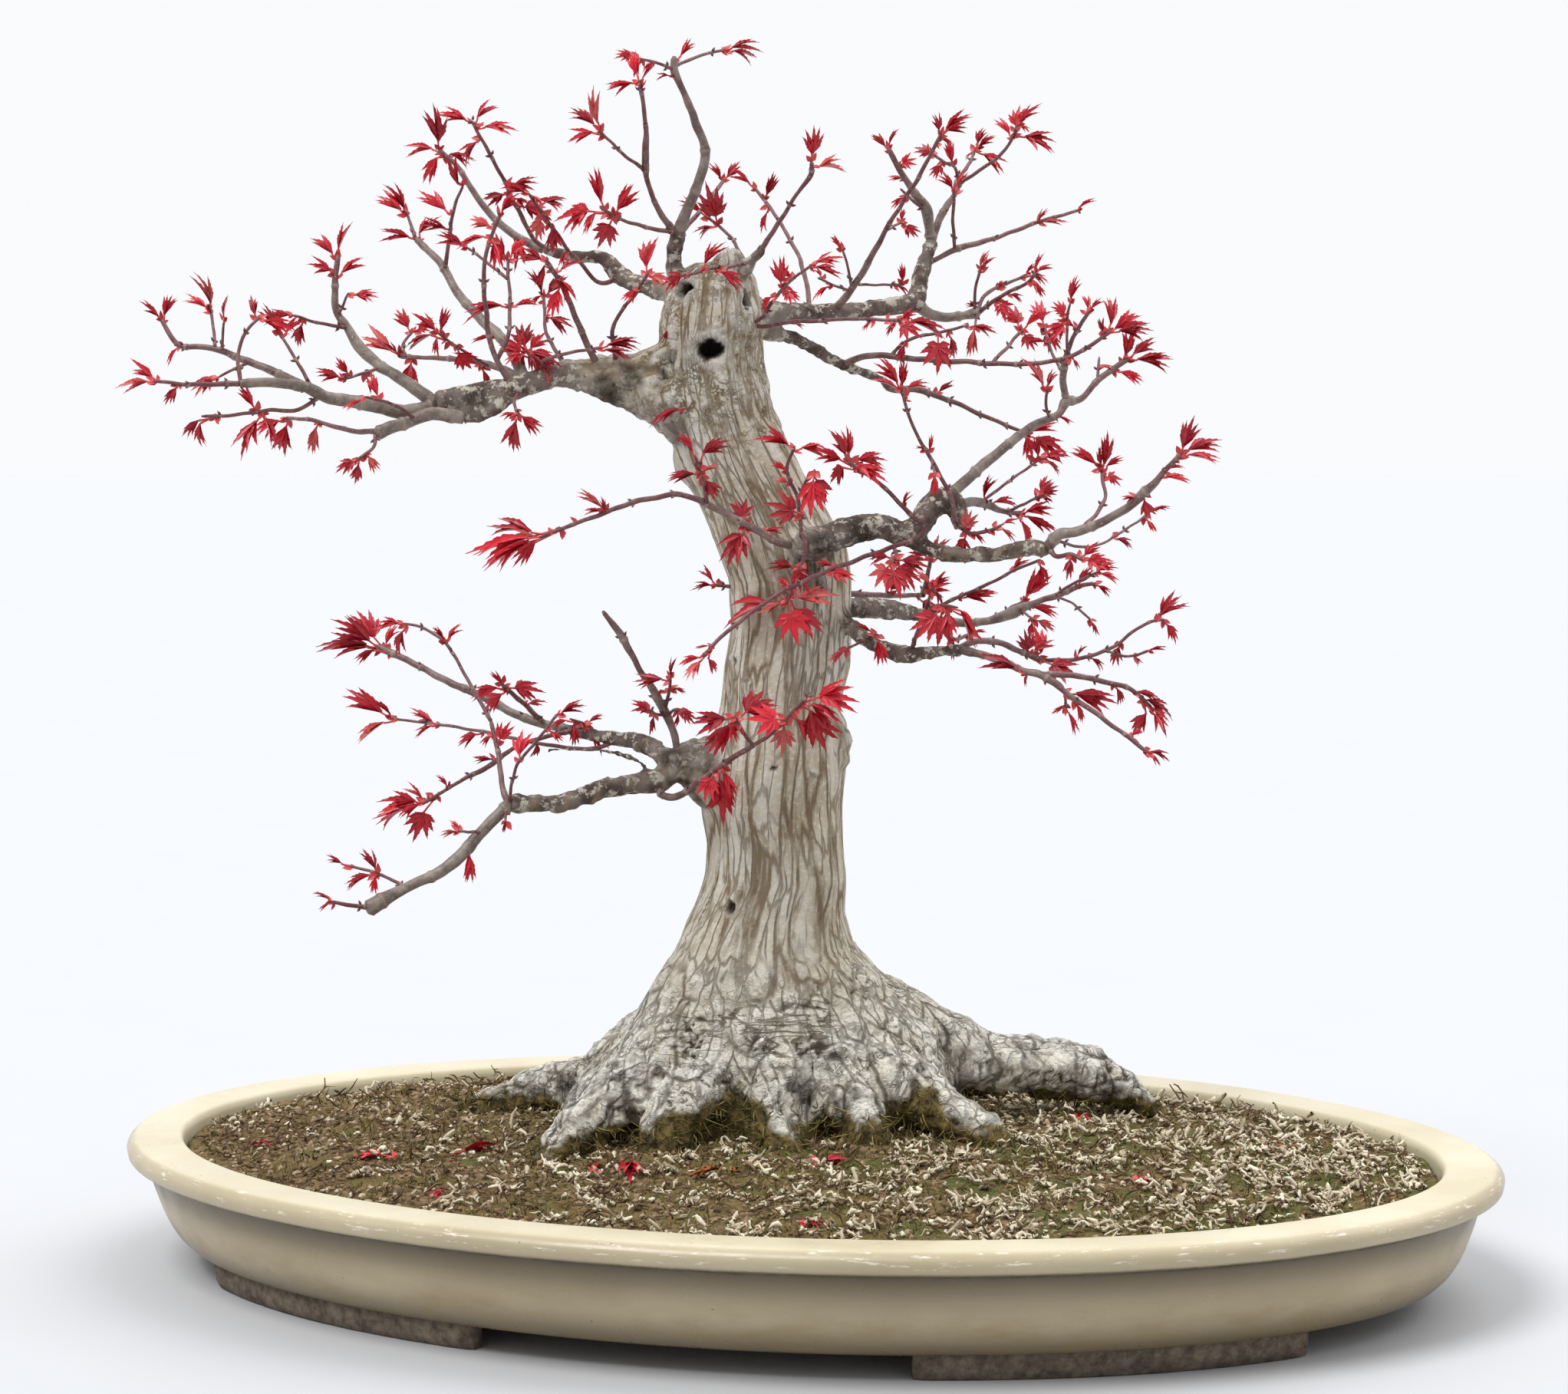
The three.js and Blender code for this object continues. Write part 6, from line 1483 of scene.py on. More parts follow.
def build_trunk(material):
    """One skin over the column, roots, limbs and knots, then its bark is raised and cut."""
    shape = Shape()
    column_shape(shape)
    curves = [flowing(np.array(row)[:, 1:], np.array(row)[:, 0], 3.0) for row in ROOTS]
    curves += [flowing(limb["path"], limb["radii"], 2.5) for limb in limbs]
    for path, radii, _ in curves:
        shape.add(tube(path, radii, STEM_SIDES), skin_faces(len(path), STEM_SIDES))
    scars = wire_scars()
    for path, radii in scars:
        shape.add(tube(path, radii, 8), skin_faces(len(path), 8))
    for across, height, radius in KNOTS:
        point, outward = surface_point(across, height)
        shape.add(*ball(point - outward * radius * 0.45, radius))
    piece = mesh_object("maple_trunk", np.concatenate(shape.points), shape.faces, material)
    points = remeshed(piece, VOXEL)
    edges = read(piece.data.edges, "vertices", 2, np.int64)
    points = smoothed(points, edges, 3, 0.5)
    column = ramp(distance_to_stems(points, lines_of(row[0] for row in LIMBS))[0], 1.0, 5.0)
    soft = (column * ramp(points[:, 2], 150, 120))[:, None]
    points = points + (smoothed(points, edges, 9, 0.6) - points) * soft
    normals = point_normals(piece, points)
    relief = trunk_relief(points)
    points = points + normals * relief["moved"][:, None]
    wound = np.zeros(len(points))
    paleness = ramp(distance_to_stems(points, lines_of(STUBS))[0], 2.0, 0.6)
    for across, height, radius, cut, darkness, raised, tall in HOLES:
        centre, outward = surface_point(across, height)
        away = points - centre
        out = away @ outward
        flat = away - out[:, None] * outward
        wide = tall ** 0.5 * (1 - 0.3 * ramp(flat[:, 0] - flat[:, 2] * 0.5, -radius * 0.4, radius))
        off = np.hypot(np.hypot(flat[:, 0], flat[:, 1]) * wide, flat[:, 2] / tall ** 0.5)
        above = ramp(flat[:, 2] - flat[:, 0] * 0.6, -radius, radius)
        off *= 1 + 0.3 * grain(points, radius * 1.1, 55)
        near = np.abs(out) < radius * 2.5 + 4
        sunk = np.where(near, ramp(off, radius * 1.1, radius * 0.8), 0)
        rim = np.where(near, np.exp(-((off - radius * 1.5) / (radius * 0.36)) ** 2), 0)
        rim = rim * (0.3 + 0.9 * above) * raised
        points = points + outward * (rim * radius * 0.62 - sunk * cut)[:, None]
        wound = np.maximum(wound, sunk * darkness)
        relief["crack"] *= 1 - np.minimum(rim, 1) * 0.7
        paleness = np.maximum(paleness, np.minimum(rim, 1) * 0.8)
    normals = point_normals(piece, points)
    cavity = np.sum((smoothed(points, edges, 12, 0.6) - points) * normals, axis=1)
    u, v = as_seen(points)
    facing = ramp(normals[:, 1], 0.35, -0.1) * ramp(points[:, 1], 45, 15)
    climb = np.interp(u, MOSS_TOP[:, 0], MOSS_TOP[:, 1])
    climb = climb + grain(points, 7, 76) * 5 + grain(points, 2.5, 77) * 2.5
    moss = np.maximum(moss_share(points, normals, cavity), ramp(v, climb + 2, climb - 2) * facing)
    scar = ramp(distance_to_stems(points, scars)[0], 0.9, 0.1)
    placed = on_pot(points)
    # Dark crust with painted shade on the front of the bark under the limbs and in the hollows.
    stain = np.zeros(len(points))
    for across, height, radius in DARK_CRUST_AND_SHADE:
        gap = np.hypot(u - across, v - height) * (1 + 0.3 * grain(points, radius, 78))
        patch = ramp(gap, radius * 1.2, radius * 0.5) * ramp(normals[:, 1], 0.5, 0.1)
        stain = np.maximum(stain, patch)
    marks = {
        "crack": relief["crack"] * np.maximum(relief["foot"], relief["limb"]),
        "limb": relief["limb"], "foot": relief["foot"], "wound": wound,
        "moss": moss, "scar": scar * relief["limb"], "paleness": paleness, "stain": stain,
        # Painted shade darkens the hollows and painted highlight lightens the bulges.
        "cavity": ramp(cavity, 0.15, 1.6), "ridge_highlight": ramp(-cavity, 0.1, 1.1) * (1 - relief["limb"]),
        "fold": relief["fold"], "flow": relief["flow"],
        "flaky": ramp(points[:, 2] + grain(points, 15, 79) * 12, 348, 366) * (1 - relief["limb"]),
    }
    for name, values in marks.items():
        set_mark(piece, name, values)
    normals = point_normals(piece, placed)
    piece.data.materials.clear()
    piece.data.materials.append(material)
    piece.data.shade_smooth()
    dress(piece, "bark", "trunk")
    return placed, normals, moss


def moss_share(points, normals, cavity):
    """Moss on the foot of the trunk: in the hollows between the roots and along the soil."""
    level = points[:, 2] - soil_level(on_pot(points))
    patch = grain(points, 22, 51) * 0.5 + grain(points, 8, 52) * 0.3
    near = ramp(level, 20, 2)
    grown = near * 1.15 + patch * 0.7 + ramp(cavity, 0, 1.5) * near - normals[:, 2] * 0.25
    return ramp(grown, 0.62, 1.0)


# Soil, moss and strands

def soil_level(points):
    """Height of the soil under some places."""
    points = np.asarray(points, float)
    x = points[..., 0]
    y = points[..., 1]
    reach = np.clip(share_of_oval(x, y, SOIL_EDGE_INSET), 0, 1)
    uneven = 1.3 * np.sin(x / 23) * np.cos(y / 19) + 0.8 * np.sin((x + y) / 11)
    return SOIL_EDGE_TOP + SOIL_MOUND * (1 - reach) ** 0.8 + uneven * ramp(1 - reach, 0, 0.06)


def soil_surface(points):
    """The soil's height with its clods and crumbs."""
    flat = np.column_stack([points[:, 0], points[:, 1], np.zeros(len(points))])
    clods = grain(flat, 19, 61) * 1.5 + grain(flat, 7, 62) * 0.9
    near, _, _ = cells(flat, 3.6, 63)
    return soil_level(points) + clods - near * 1.2 + 0.4


def build_soil(material):
    soil = Shape()
    walls = [
        [38 + 2 * CLEARANCE, FLOOR_TOP + CLEARANCE], [31.5, 19 + CLEARANCE], [27.5, 30],
        [SOIL_EDGE_INSET + 0.3, SOIL_EDGE_TOP - 3],
    ]
    rings = [at_height(oval(inset, SOIL_SIDES), height) for inset, height in walls]
    for scale in np.concatenate([[0.998], np.linspace(0.99, 0.12, SOIL_RINGS)]):
        flat = oval(SOIL_EDGE_INSET, SOIL_SIDES) * scale
        jitter = np.column_stack([grain(at_height(flat, k), 2.5, 64 + k) for k in (0, 1)])
        flat = flat + jitter * (0.5 if scale < 0.98 else 0)
        points = at_height(flat, 0.0)
        points[:, 2] = soil_surface(points)
        rings.append(points)
    points = np.concatenate(rings)
    green = ramp(grain(points * (1, 1, 0), 30, 65) + grain(points * (1, 1, 0), 9, 66) * 0.5
                 + points[:, 0] / 500, 0.05, 0.6)
    soil.add(points, skin_faces(len(rings), SOIL_SIDES), green=green)
    soil.build("potting_soil", material, "soil_and_moss", "soil")


def scattered(count, seed, weight):
    """Places on the soil, chosen at random and kept by a weight from 0 to 1."""
    draws = np.random.default_rng(seed)
    places = np.zeros((0, 3))
    while len(places) < count:
        angle = draws.uniform(0, 2 * np.pi, count)
        reach = np.sqrt(draws.uniform(0.02, 0.965, count))
        x = (POT_LENGTH / 2 - SOIL_EDGE_INSET) * reach * np.cos(angle)
        y = (POT_DEPTH / 2 - SOIL_EDGE_INSET) * reach * np.sin(angle)
        tried = np.column_stack([x, y, np.zeros(count)])
        kept = draws.uniform(0, 1, count) < weight(tried)
        places = np.concatenate([places, tried[kept]])
    places = places[:count]
    places[:, 2] = soil_surface(places)
    return places, draws


def add_strands(shape, paths, radii, sides, tones):
    """Many thin stems at once: paths are strand, step, place; each strand has one tone."""
    forward = unit(np.gradient(paths, axis=1))
    sideways = unit(np.cross(forward, (0.13, 0.21, 1.0)))
    upward = np.cross(sideways, forward)
    strands, steps = paths.shape[:2]
    angles = 2 * np.pi * np.arange(sides) / sides
    points = (paths[:, :, None, :]
              + radii[:, :, None, None] * (np.cos(angles)[:, None] * sideways[:, :, None, :]
                                           + np.sin(angles)[:, None] * upward[:, :, None, :]))
    one = np.array(skin_faces(steps, sides)[:-2])
    every = (one[None] + (np.arange(strands) * steps * sides)[:, None, None]).reshape(-1, 4)
    tone = np.repeat(tones, steps * sides)
    shape.add(points.reshape(-1, 3), every.tolist(), tone=tone)


def lying_strands(places, draws, length, radius, steps, curl, stand):
    """Curled strands that lie on the soil or stand up from it, thin at the ends."""
    count = len(places)
    heading = draws.uniform(0, 2 * np.pi, count)
    angle = heading[:, None] + np.cumsum(draws.normal(0, curl, (count, steps)), axis=1)
    spans = draws.uniform(*length, count)[:, None] / (steps - 1)
    moves = np.stack([np.cos(angle), np.sin(angle), angle * 0], axis=2) * spans[:, :, None]
    paths = places[:, None, :] + np.cumsum(moves, axis=1) - moves[:, :1] * steps / 2
    flat = paths.reshape(-1, 3)
    inside = share_of_oval(flat[:, 0], flat[:, 1], 30)
    flat[:, :2] /= np.maximum(inside, 1)[:, None]
    flat[:, 2] = soil_surface(flat)
    paths = flat.reshape(count, steps, 3)
    share = np.linspace(0, 1, steps)
    climb = np.cumsum(draws.normal(0, 0.5, (count, steps)), axis=1) * spans
    upright = draws.uniform(0, 1, count)[:, None] ** 3 * stand * share * spans * (steps - 1)
    paths[:, :, 2] += np.abs(climb + upright) + 0.3 + draws.uniform(0, 1.2, count)[:, None]
    taper = 0.35 + 0.65 * np.sin(np.pi * np.clip(share * 0.9 + 0.05, 0, 1)) ** 0.7
    radii = draws.uniform(*radius, count)[:, None] * taper
    return paths, radii * draws.uniform(0.45, 1.55, (count, steps))


def sphagnum_weight(points):
    """Where the pale strands lie thick: over the right of the pot and in drifts elsewhere."""
    drift = grain(points, 24, 71) * 0.9 + grain(points, 9, 72) * 1.1
    behind = ramp(points[:, 1], 60, 150) * 0.15
    return np.clip(0.16 + points[:, 0] / 560 + drift * 0.75 + behind, 0.015, 1)


def moss_weight(points):
    drift = grain(points, 32, 73) * 0.6 + grain(points, 11, 74) * 0.5
    near = np.exp(-((points[:, 0] - 10) / 130) ** 2 - ((points[:, 1] + 25) / 70) ** 2)
    return np.clip(0.2 + near * 0.5 + drift * 0.8, 0.02, 1)


def build_ground_cover(trunk_points, trunk_normals, trunk_moss):
    pale = Shape()
    tufts, draws = scattered(SPHAGNUM_TUFTS, 81, sphagnum_weight)
    places = np.repeat(tufts, STRANDS_IN_TUFT, axis=0)
    spread = draws.normal(0, 1, (len(places), 2))
    places[:, :2] += spread * draws.uniform(0.6, 2.8, (len(places), 1))
    flecks, _ = scattered(SPHAGNUM_FLECKS, 85,
                          lambda points: np.clip(sphagnum_weight(points) + 0.2, 0.15, 1))
    kinds = ((places, (1.8, 7.0), (0.35, 1.05)), (flecks, (1.2, 4.0), (0.35, 0.95)))
    for chosen, length, radius in kinds:
        paths, radii = lying_strands(chosen, draws, length, radius, 4, 0.95, 0.7)
        add_strands(pale, paths, radii, 4, draws.uniform(0, 1, len(paths)) ** 0.75)
    finish = strand_finish("sphagnum", (0.22, 0.145, 0.065), (0.93, 0.86, 0.67))
    pale.build("dried_sphagnum", finish, "soil_and_moss")

    brown = Shape()
    places, draws = scattered(FINE_ROOTS, 82, lambda points: np.full(len(points), 0.9))
    paths, radii = lying_strands(places, draws, (3, 9), (0.25, 0.55), 4, 0.6, 0.8)
    add_strands(brown, paths, radii, 3, draws.uniform(0, 1, len(paths)))
    finish = strand_finish("fine_root", (0.075, 0.04, 0.018), (0.26, 0.165, 0.085))
    brown.build("fine_roots", finish, "soil_and_moss")

    green = Shape()
    places, draws = scattered(MOSS_BLADES, 83, moss_weight)
    upright = np.tile((0.0, 0.0, 1.0), (len(places), 1))
    chosen = draws.choice(np.flatnonzero(trunk_moss > 0.55), TRUNK_MOSS_BLADES)
    places = np.concatenate([places, trunk_points[chosen]])
    upright = np.concatenate([upright, unit(trunk_normals[chosen] + (0, 0, -0.25))])
    lean = unit(upright + draws.normal(0, 0.5, upright.shape))
    length = draws.uniform(1.4, 4.4, len(places))
    length[-len(chosen):] *= 1.5
    share = np.array([0, 0.5, 1.0])
    droop = draws.normal(0, 0.35, upright.shape)
    paths = (places[:, None, :] + lean[:, None, :] * (length[:, None] * share)[:, :, None]
             + droop[:, None, :] * (length[:, None] * share ** 2)[:, :, None])
    radii = draws.uniform(0.28, 0.5, len(places))[:, None] * np.array([1.0, 0.8, 0.15])
    add_strands(green, paths, radii, 3, draws.uniform(0, 1, len(paths)))
    finish = strand_finish("moss_blade", (0.035, 0.032, 0.010), (0.38, 0.31, 0.10))
    green.build("moss", finish, "soil_and_moss")

    build_crumbs()


CRUMB_POINTS = unit(np.array([
    [0, 0, 1], [0.9, 0, 0.45], [0.28, 0.85, 0.45], [-0.72, 0.53, 0.45], [-0.72, -0.53, 0.45],
    [0.28, -0.85, 0.45], [0.72, 0.53, -0.45], [-0.28, 0.85, -0.45], [-0.9, 0, -0.45],
    [-0.28, -0.85, -0.45], [0.72, -0.53, -0.45], [0, 0, -1],
]))
CRUMB_FACES = np.array([
    (0, 1, 2), (0, 2, 3), (0, 3, 4), (0, 4, 5), (0, 5, 1), (1, 6, 2), (2, 7, 3), (3, 8, 4),
    (4, 9, 5), (5, 10, 1), (2, 6, 7), (3, 7, 8), (4, 8, 9), (5, 9, 10), (1, 10, 6), (6, 11, 7),
    (7, 11, 8), (8, 11, 9), (9, 11, 10), (10, 11, 6),
])


def build_crumbs():
    """Small hard grains of soil, each its own size and shape."""
    crumbs = Shape()
    places, draws = scattered(SOIL_CRUMBS, 84,
                              lambda points: np.clip(0.6 - points[:, 0] / 500, 0.1, 1))
    count = len(places)
    size = draws.uniform(0.6, 1.9, count)
    form = CRUMB_POINTS[None] * draws.uniform(0.7, 1.3, (count, 12, 1)) * size[:, None, None]
    form *= draws.uniform(0.7, 1.3, (count, 1, 3))
    points = places[:, None, :] + form
    faces = (CRUMB_FACES[None] + (np.arange(count) * 12)[:, None, None]).reshape(-1, 3)
    tone = np.repeat(draws.uniform(0, 1, count), 12)
    crumbs.add(points.reshape(-1, 3), faces.tolist(), tone=tone)
    finish = strand_finish("crumb", (0.06, 0.036, 0.02), (0.50, 0.37, 0.23), 0.95)
    crumbs.build("soil_crumbs", finish, "soil_and_moss", smooth=False)


# Twigs and leaves

NODE_GAP = (11, 24)
RING_HALF = 0.75
TWIG_STEP = 1.5


def add_twig(shape, stem, draws):
    """A stem with its swollen joints, bent a little between them."""
    path, radii, places = flowing(stem["path"], stem["radii"], TWIG_STEP)
    total = places[-1]
    seed = draws.randrange(1000)
    line = np.column_stack([places, np.zeros(len(places)), np.full(len(places), seed * 3.7)])
    sway = np.column_stack([grain(line, (9, 1, 1), seed + k) for k in range(3)])
    ends = np.sin(np.pi * np.clip(places / total, 0, 1)) ** 0.5
    path = path + sway * (ends * np.minimum(0.55, total / 60))[:, None]
    ring = np.zeros(len(places))
    at = draws.uniform(2, 6)
    joints = []
    while at < total:
        ring = np.maximum(ring, np.exp(-((places - at) / RING_HALF) ** 2))
        joints.append(at)
        at += draws.uniform(*NODE_GAP) * (1.25 if stem["radii"][0] > 2 else 1)
    sides = 10 if radii.max() > 1.8 else 8
    slim = 0.74 + 0.2 * ramp(radii, 1.2, 3.4)
    thick = radii * slim * (1 + 0.27 * ring + 0.08 * grain(line, (4, 1, 1), seed + 5))
    thick[-1] *= 0.55
    points = tube(path, thick, sides)
    young = ramp(radii, 2.6, 1.2)
    shape.add(on_pot(points), skin_faces(len(path), sides), ring=np.repeat(ring, sides),
              young=np.repeat(young, sides))
    for joint in joints:
        if radii[0] < 2.6 and draws.random() < 0.7:
            add_buds(shape, path, places, joint, np.interp(joint, places, radii), draws)


def add_buds(shape, path, places, joint, radius, draws):
    """A pair of small red buds, one each side of a joint."""
    index = int(np.clip(np.searchsorted(places, joint), 1, len(path) - 1))
    centre = path[index]
    ahead = unit(path[index] - path[index - 1])
    sideways = unit(np.cross(ahead, [draws.gauss(0, 1) for _ in range(3)]))
    for side in (-1, 1):
        out = unit(sideways * side + ahead * 0.9)
        start = centre + sideways * side * radius * 0.7
        line = [start, start + out * 0.9, start + out * 2.0]
        points = tube(line, [0.5, 0.62, 0.08], 5)
        shape.add(on_pot(points), skin_faces(3, 5), ring=0.0, young=1.0)


# Lobes of a leaf: angle from the middle one, and reach
LOBES = [[-112, 0.40], [-78, 0.66], [-40, 0.9], [0, 1], [40, 0.9], [78, 0.66], [112, 0.40]]
LEAF_PITCH = 1.7
LOBE_STEPS = 12
LOBE_WIDTH = 0.142


def back_along(stem, distance):
    """A place along a stem, back from its end."""
    path = stem["path"]
    for a, b in zip(path[::-1][:-1], path[::-1][1:]):
        span = np.linalg.norm(b - a)
        if distance <= span:
            return a + (b - a) * distance / span
        distance -= span
    return path[0]


def make_leaf(stem, index, row, draws):
    across, height, tip_across, tip_height, open_share = row
    root = nearest_seen(stem["path"], across, height)
    if np.linalg.norm(root - stem["path"][-1]) < 4:
        root = back_along(stem, 0.6 + LEAF_PITCH * index)
    reach = math.hypot(tip_across - across, tip_height - height)
    outward = (0.2 + 0.4 * draws.random()) * (1 if index % 2 else -1) * reach
    start = seen(across, height, root[1] + outward * 0.12)
    tip = seen(tip_across, tip_height, root[1] + outward)
    length = np.linalg.norm(tip - start)
    axis = unit(tip - start)
    sideways = (draws.random() - 0.5) * 0.9
    facing = np.array([sideways, -0.45 - 0.6 * open_share, 0.9 - 0.5 * open_share])
    normal = unit(facing - axis * np.dot(facing, axis))
    palm_at = 0.16 + 0.16 * open_share
    return {
        "root": root, "palm": start + axis * length * palm_at, "axis": axis,
        "side": np.cross(axis, normal), "normal": normal,
        "blade": length * (1 - palm_at), "open": open_share, "droop": 0.05 + 0.16 * draws.random(),
    }


def lobe_width(t):
    return np.where(t < 0.45, 0.42 + 0.58 * ramp(t, 0, 0.45), (np.clip(1 - t, 0, 1) / 0.55) ** 0.85)


def add_leaf(shape, leaf, draws):
    """Narrow toothed lobes from one palm, each folded along its rib, on a thin stalk.

    On a leaf that is still folded the lobes lie side by side and part only at their tips."""
    length = leaf["blade"]
    open_share = leaf["open"]
    tone = min(max(draws.gauss(0.45, 0.28), 0), 1)
    pale = 0.6 if draws.random() < 0.07 else 0.0
    crease = math.radians(62 - 44 * open_share)
    lobes = LOBES if open_share > 0.5 else LOBES[1:-1]
    t = np.linspace(0, 1, LOBE_STEPS)
    notch = np.arange(LOBE_STEPS) % 2 == 1
    tooth = np.where(notch, 1.08, 0.93)
    tooth[[0, -1]] = 1
    near_spread = 0.04 + 0.96 * open_share ** 1.7
    far_spread = 0.13 + 0.81 * open_share ** 1.25
    for angle, reach in lobes:
        lean = draws.gauss(0, 5) + angle
        reach = reach + (1 - reach) * 0.55 * (1 - open_share)
        turn = np.radians(lean * (near_spread + (far_spread - near_spread) * t ** 2.2))
        rise = draws.gauss(0, 0.16) * (1.15 - open_share)
        curl = draws.gauss(-0.12, 0.28) * (1.2 - open_share)
        ahead = unit(np.outer(np.cos(turn), leaf["axis"]) + np.outer(np.sin(turn), leaf["side"])
                     + np.outer(rise + curl * t * t, leaf["normal"]))
        span = length * reach * draws.uniform(0.9, 1.08)
        moves = ahead * span / (LOBE_STEPS - 1)
        rib = leaf["palm"] + np.concatenate([np.zeros((1, 3)), np.cumsum(moves[1:], axis=0)])
        distance = t * span
        rib = rib - np.outer(leaf["droop"] * distance * distance / length, leaf["normal"])
        flank = unit(np.cross(leaf["normal"], ahead))
        above = np.cross(ahead, flank)
        half = lobe_width(t) * length * LOBE_WIDTH * (0.78 + 0.34 * open_share) * tooth
        half = half * (0.72 + 0.28 * reach)
        forward = ahead * (np.where(notch, 0.04, 0.0) * span)[:, None]
        outward = half[:, None] * math.cos(crease) * flank
        upward = half[:, None] * math.sin(crease) * above
        points = np.concatenate([
            rib - outward + upward + forward, rib, rib + outward + upward + forward,
        ])
        n = LOBE_STEPS
        faces = []
        for k in range(n - 1):
            faces.append((k, k + 1, n + k + 1, n + k))
            faces.append((n + k, n + k + 1, 2 * n + k + 1, 2 * n + k))
        vein = np.concatenate([np.zeros(n), np.ones(n), np.zeros(n)])
        shape.add(on_pot(points), faces, tone=tone, vein=vein, pale=pale)
    middle = (leaf["root"] + leaf["palm"]) / 2 - leaf["normal"] * length * 0.03
    stalk, radii, _ = flowing([leaf["root"], middle, leaf["palm"]], [0.5, 0.4, 0.5], 1.6)
    shape.add(on_pot(tube(stalk, radii, 5)), skin_faces(len(stalk), 5), tone=tone, vein=0.6,
              pale=0.3)
    for side in (-1, 1):
        add_scale(shape, leaf, side, draws)


def add_scale(shape, leaf, side, draws):
    """A small pointed bud scale at the foot of a leaf."""
    start = leaf["root"]
    out = unit(leaf["axis"] + leaf["side"] * side * 0.8 + leaf["normal"] * draws.gauss(0, 0.3))
    flank = unit(np.cross(leaf["normal"], out))
    size = draws.uniform(2.5, 5.2)
    places = [(0, 0), (0.35, 0.3), (0.7, 0.2), (1, 0)]
    points = [start + out * size * a + flank * size * b for a, b in places]
    points += [start + out * size * a - flank * size * b for a, b in places[1:3]]
    points.append(start + out * size * 0.5 - leaf["normal"] * size * 0.14)
    faces = [(0, 1, 6), (1, 2, 6), (2, 3, 6), (3, 5, 6), (5, 4, 6), (4, 0, 6)]
    shape.add(on_pot(points), faces, tone=0.55, vein=0.5, pale=0.35)


# Leaves that fell on the soil: place across and back on the pot, size, and how dry
FALLEN = [
    [-162, -72, 17, 0], [-129, -58, 15, 0], [-50, -80, 19, 0.1], [-62, -84, 13, 0],
    [26, -48, 15, 0.1], [31, -10, 15, 0.2], [-10, -78, 17, 1], [158, -42, 9, 0],
    [-113, -129, 9, 0.1], [43, -136, 7, 0], [-228, -46, 7, 0], [112, 60, 12, 0],
    [-60, 118, 14, 0.1], [205, 40, 10, 0.6],
]


def build_fallen(material, dry_material):
    red = Shape()
    dry = Shape()
    draws = random.Random(DRAW_SEED + 9)
    for x, y, size, dryness in FALLEN:
        level = soil_surface(np.array([[x, y, 0.0]]))[0] + 2.2
        heading = draws.uniform(0, 2 * math.pi)
        axis = unit([math.cos(heading), math.sin(heading), draws.uniform(-0.1, 0.3)])
        normal = unit(np.array([draws.gauss(0, 0.3), draws.gauss(0, 0.3), 1.0]))
        normal = unit(normal - axis * np.dot(axis, normal))
        place = np.array([x, y, level])
        back = on_tree(place)
        leaf = {
            "root": on_tree(place - axis * size * 0.45), "palm": back, "axis": on_tree(axis),
            "side": np.cross(on_tree(axis), on_tree(normal)), "normal": on_tree(normal),
            "blade": size, "open": 0.35 + 0.3 * draws.random(), "droop": 0.3,
        }
        add_leaf(dry if dryness > 0.5 else red, leaf, draws)
    red.build("fallen_leaves", material, "twigs_and_leaves")
    dry.build("dry_leaves", dry_material, "twigs_and_leaves")


def on_tree(points):
    """The frame of the pot turned back into that of the tree."""
    x, y, z = points
    return np.array([
        x * math.cos(TREE_TURN) + y * math.sin(TREE_TURN),
        -x * math.sin(TREE_TURN) + y * math.cos(TREE_TURN),
        z,
    ])


def build_sprays(twig_material, leaf_material):
    draws = random.Random(DRAW_SEED)
    for name, rows in [*SPRAYS.items(), ("front_shoot", FRONT_SHOOT)]:
        twigs = Shape()
        leaves = Shape()
        for row in rows:
            stem = make_stem(row)
            add_twig(twigs, stem, draws)
            for index, leaf_row in enumerate(row[6]):
                add_leaf(leaves, make_leaf(stem, index, leaf_row, draws), draws)
        nodes = () if name == "front_shoot" else ("spray_" + name,)
        twigs.build("twigs_" + name, twig_material, "twigs_and_leaves", *nodes)
        if leaves.count:
            leaves.build("leaves_" + name, leaf_material, "twigs_and_leaves", *nodes)


# Camera, floor and light

def make_camera():
    level_right = Vector((1, 0, 0))
    forward = Vector((0, math.cos(PITCH), -math.sin(PITCH)))
    level_up = level_right.cross(forward)
    right = level_right * math.cos(ROLL) + level_up * math.sin(ROLL)
    up = level_up * math.cos(ROLL) - level_right * math.sin(ROLL)
    turn = Matrix.Rotation(TREE_TURN, 3, "Z")
    axes = Matrix((turn @ right, turn @ up, turn @ -forward)).transposed()
    eye = turn @ Vector((EYE_ACROSS, -EYE_DISTANCE, EYE_HEIGHT)) * MM
    data = bpy.data.cameras.new("camera")
    data.sensor_width = SENSOR_WIDTH
    data.lens = FOCAL_PIXELS * SENSOR_WIDTH / FRAME_PIXELS
    camera = bpy.data.objects.new("camera", data)
    camera.matrix_world = Matrix.LocRotScale(eye, axes, None)
    bpy.context.scene.collection.objects.link(camera)
    bpy.context.scene.camera = camera


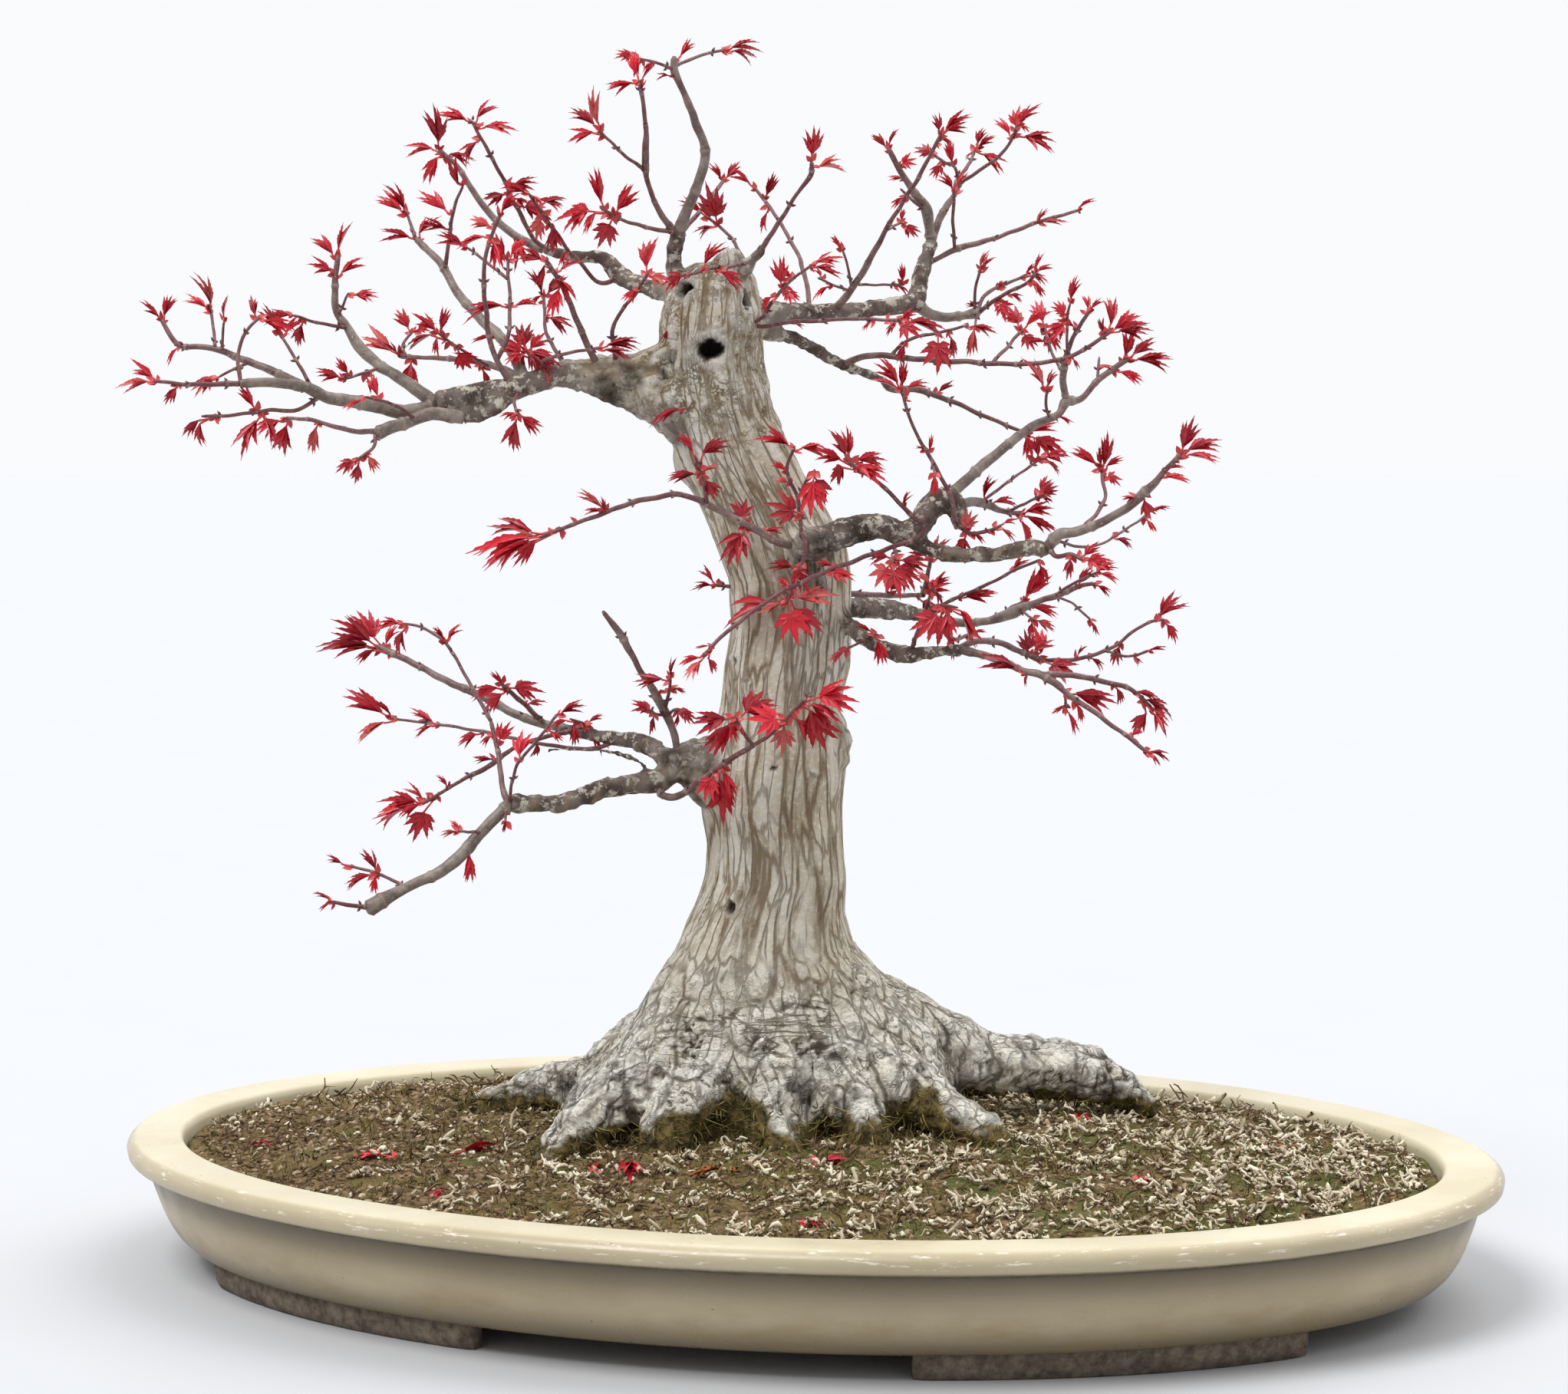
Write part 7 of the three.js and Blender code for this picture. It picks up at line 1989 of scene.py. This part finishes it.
def soft_sun(name, direction, spread, strength):
    data = bpy.data.lights.new(name, "SUN")
    data.angle = math.radians(spread)
    data.energy = strength
    lamp = bpy.data.objects.new(name, data)
    lamp.rotation_euler = Vector(direction).to_track_quat("-Z", "Y").to_euler()
    bpy.context.scene.collection.objects.link(lamp)


def make_studio():
    bpy.context.scene.view_settings.view_transform = "Standard"
    world = bpy.data.worlds.new("studio")
    world.use_nodes = True
    nodes, links = world.node_tree.nodes, world.node_tree.links
    background = nodes["Background"]
    way = nodes.new("ShaderNodeSeparateXYZ")
    links.new(nodes.new("ShaderNodeTexCoord").outputs["Generated"], way.inputs[0])
    walls = nodes.new("ShaderNodeMapRange")
    walls.interpolation_type = "SMOOTHSTEP"
    for key, value in (("From Min", -0.85), ("From Max", 0.15), ("To Min", 0.5), ("To Max", 0.98)):
        walls.inputs[key].default_value = value
    links.new(way.outputs["Y"], walls.inputs["Value"])
    links.new(walls.outputs["Result"], background.inputs["Strength"])
    background.inputs["Color"].default_value = (0.97, 0.98, 1.0, 1)
    bpy.context.scene.world = world
    finish = Finish("floor", 0.7, 0.1)
    tint = finish.mix(finish.noise(90, 2), (0.55, 0.56, 0.58), (0.57, 0.58, 0.60))
    material = finish.done(tint)
    half = FLOOR_SIZE / 2
    corners = [[-half, -half, 0], [half, -half, 0], [half, half, 0], [-half, half, 0]]
    floor = mesh_object("floor", corners, [(0, 1, 2, 3)], material)
    soft_sun("key", (0.5, 0.7, -1.4), 28, 2.1)
    soft_sun("back", (-0.6, -0.5, -1.2), 50, 1.1)


make_camera()
make_studio()
build_pot(glaze_finish())
screen_material = mesh_finish()
build_screen(-1, "left_screen", "drain_screen_left", screen_material)
build_screen(1, "right_screen", "drain_screen_right", screen_material)
build_soil(soil_finish())
trunk_surface = build_trunk(bark_finish())
build_ground_cover(*trunk_surface)
leaf_material = leaf_finish()
build_sprays(twig_finish(), leaf_material)
dry_material = strand_finish("dry_leaf", (0.30, 0.09, 0.03), (0.45, 0.16, 0.05), 0.6)
build_fallen(leaf_material, dry_material)
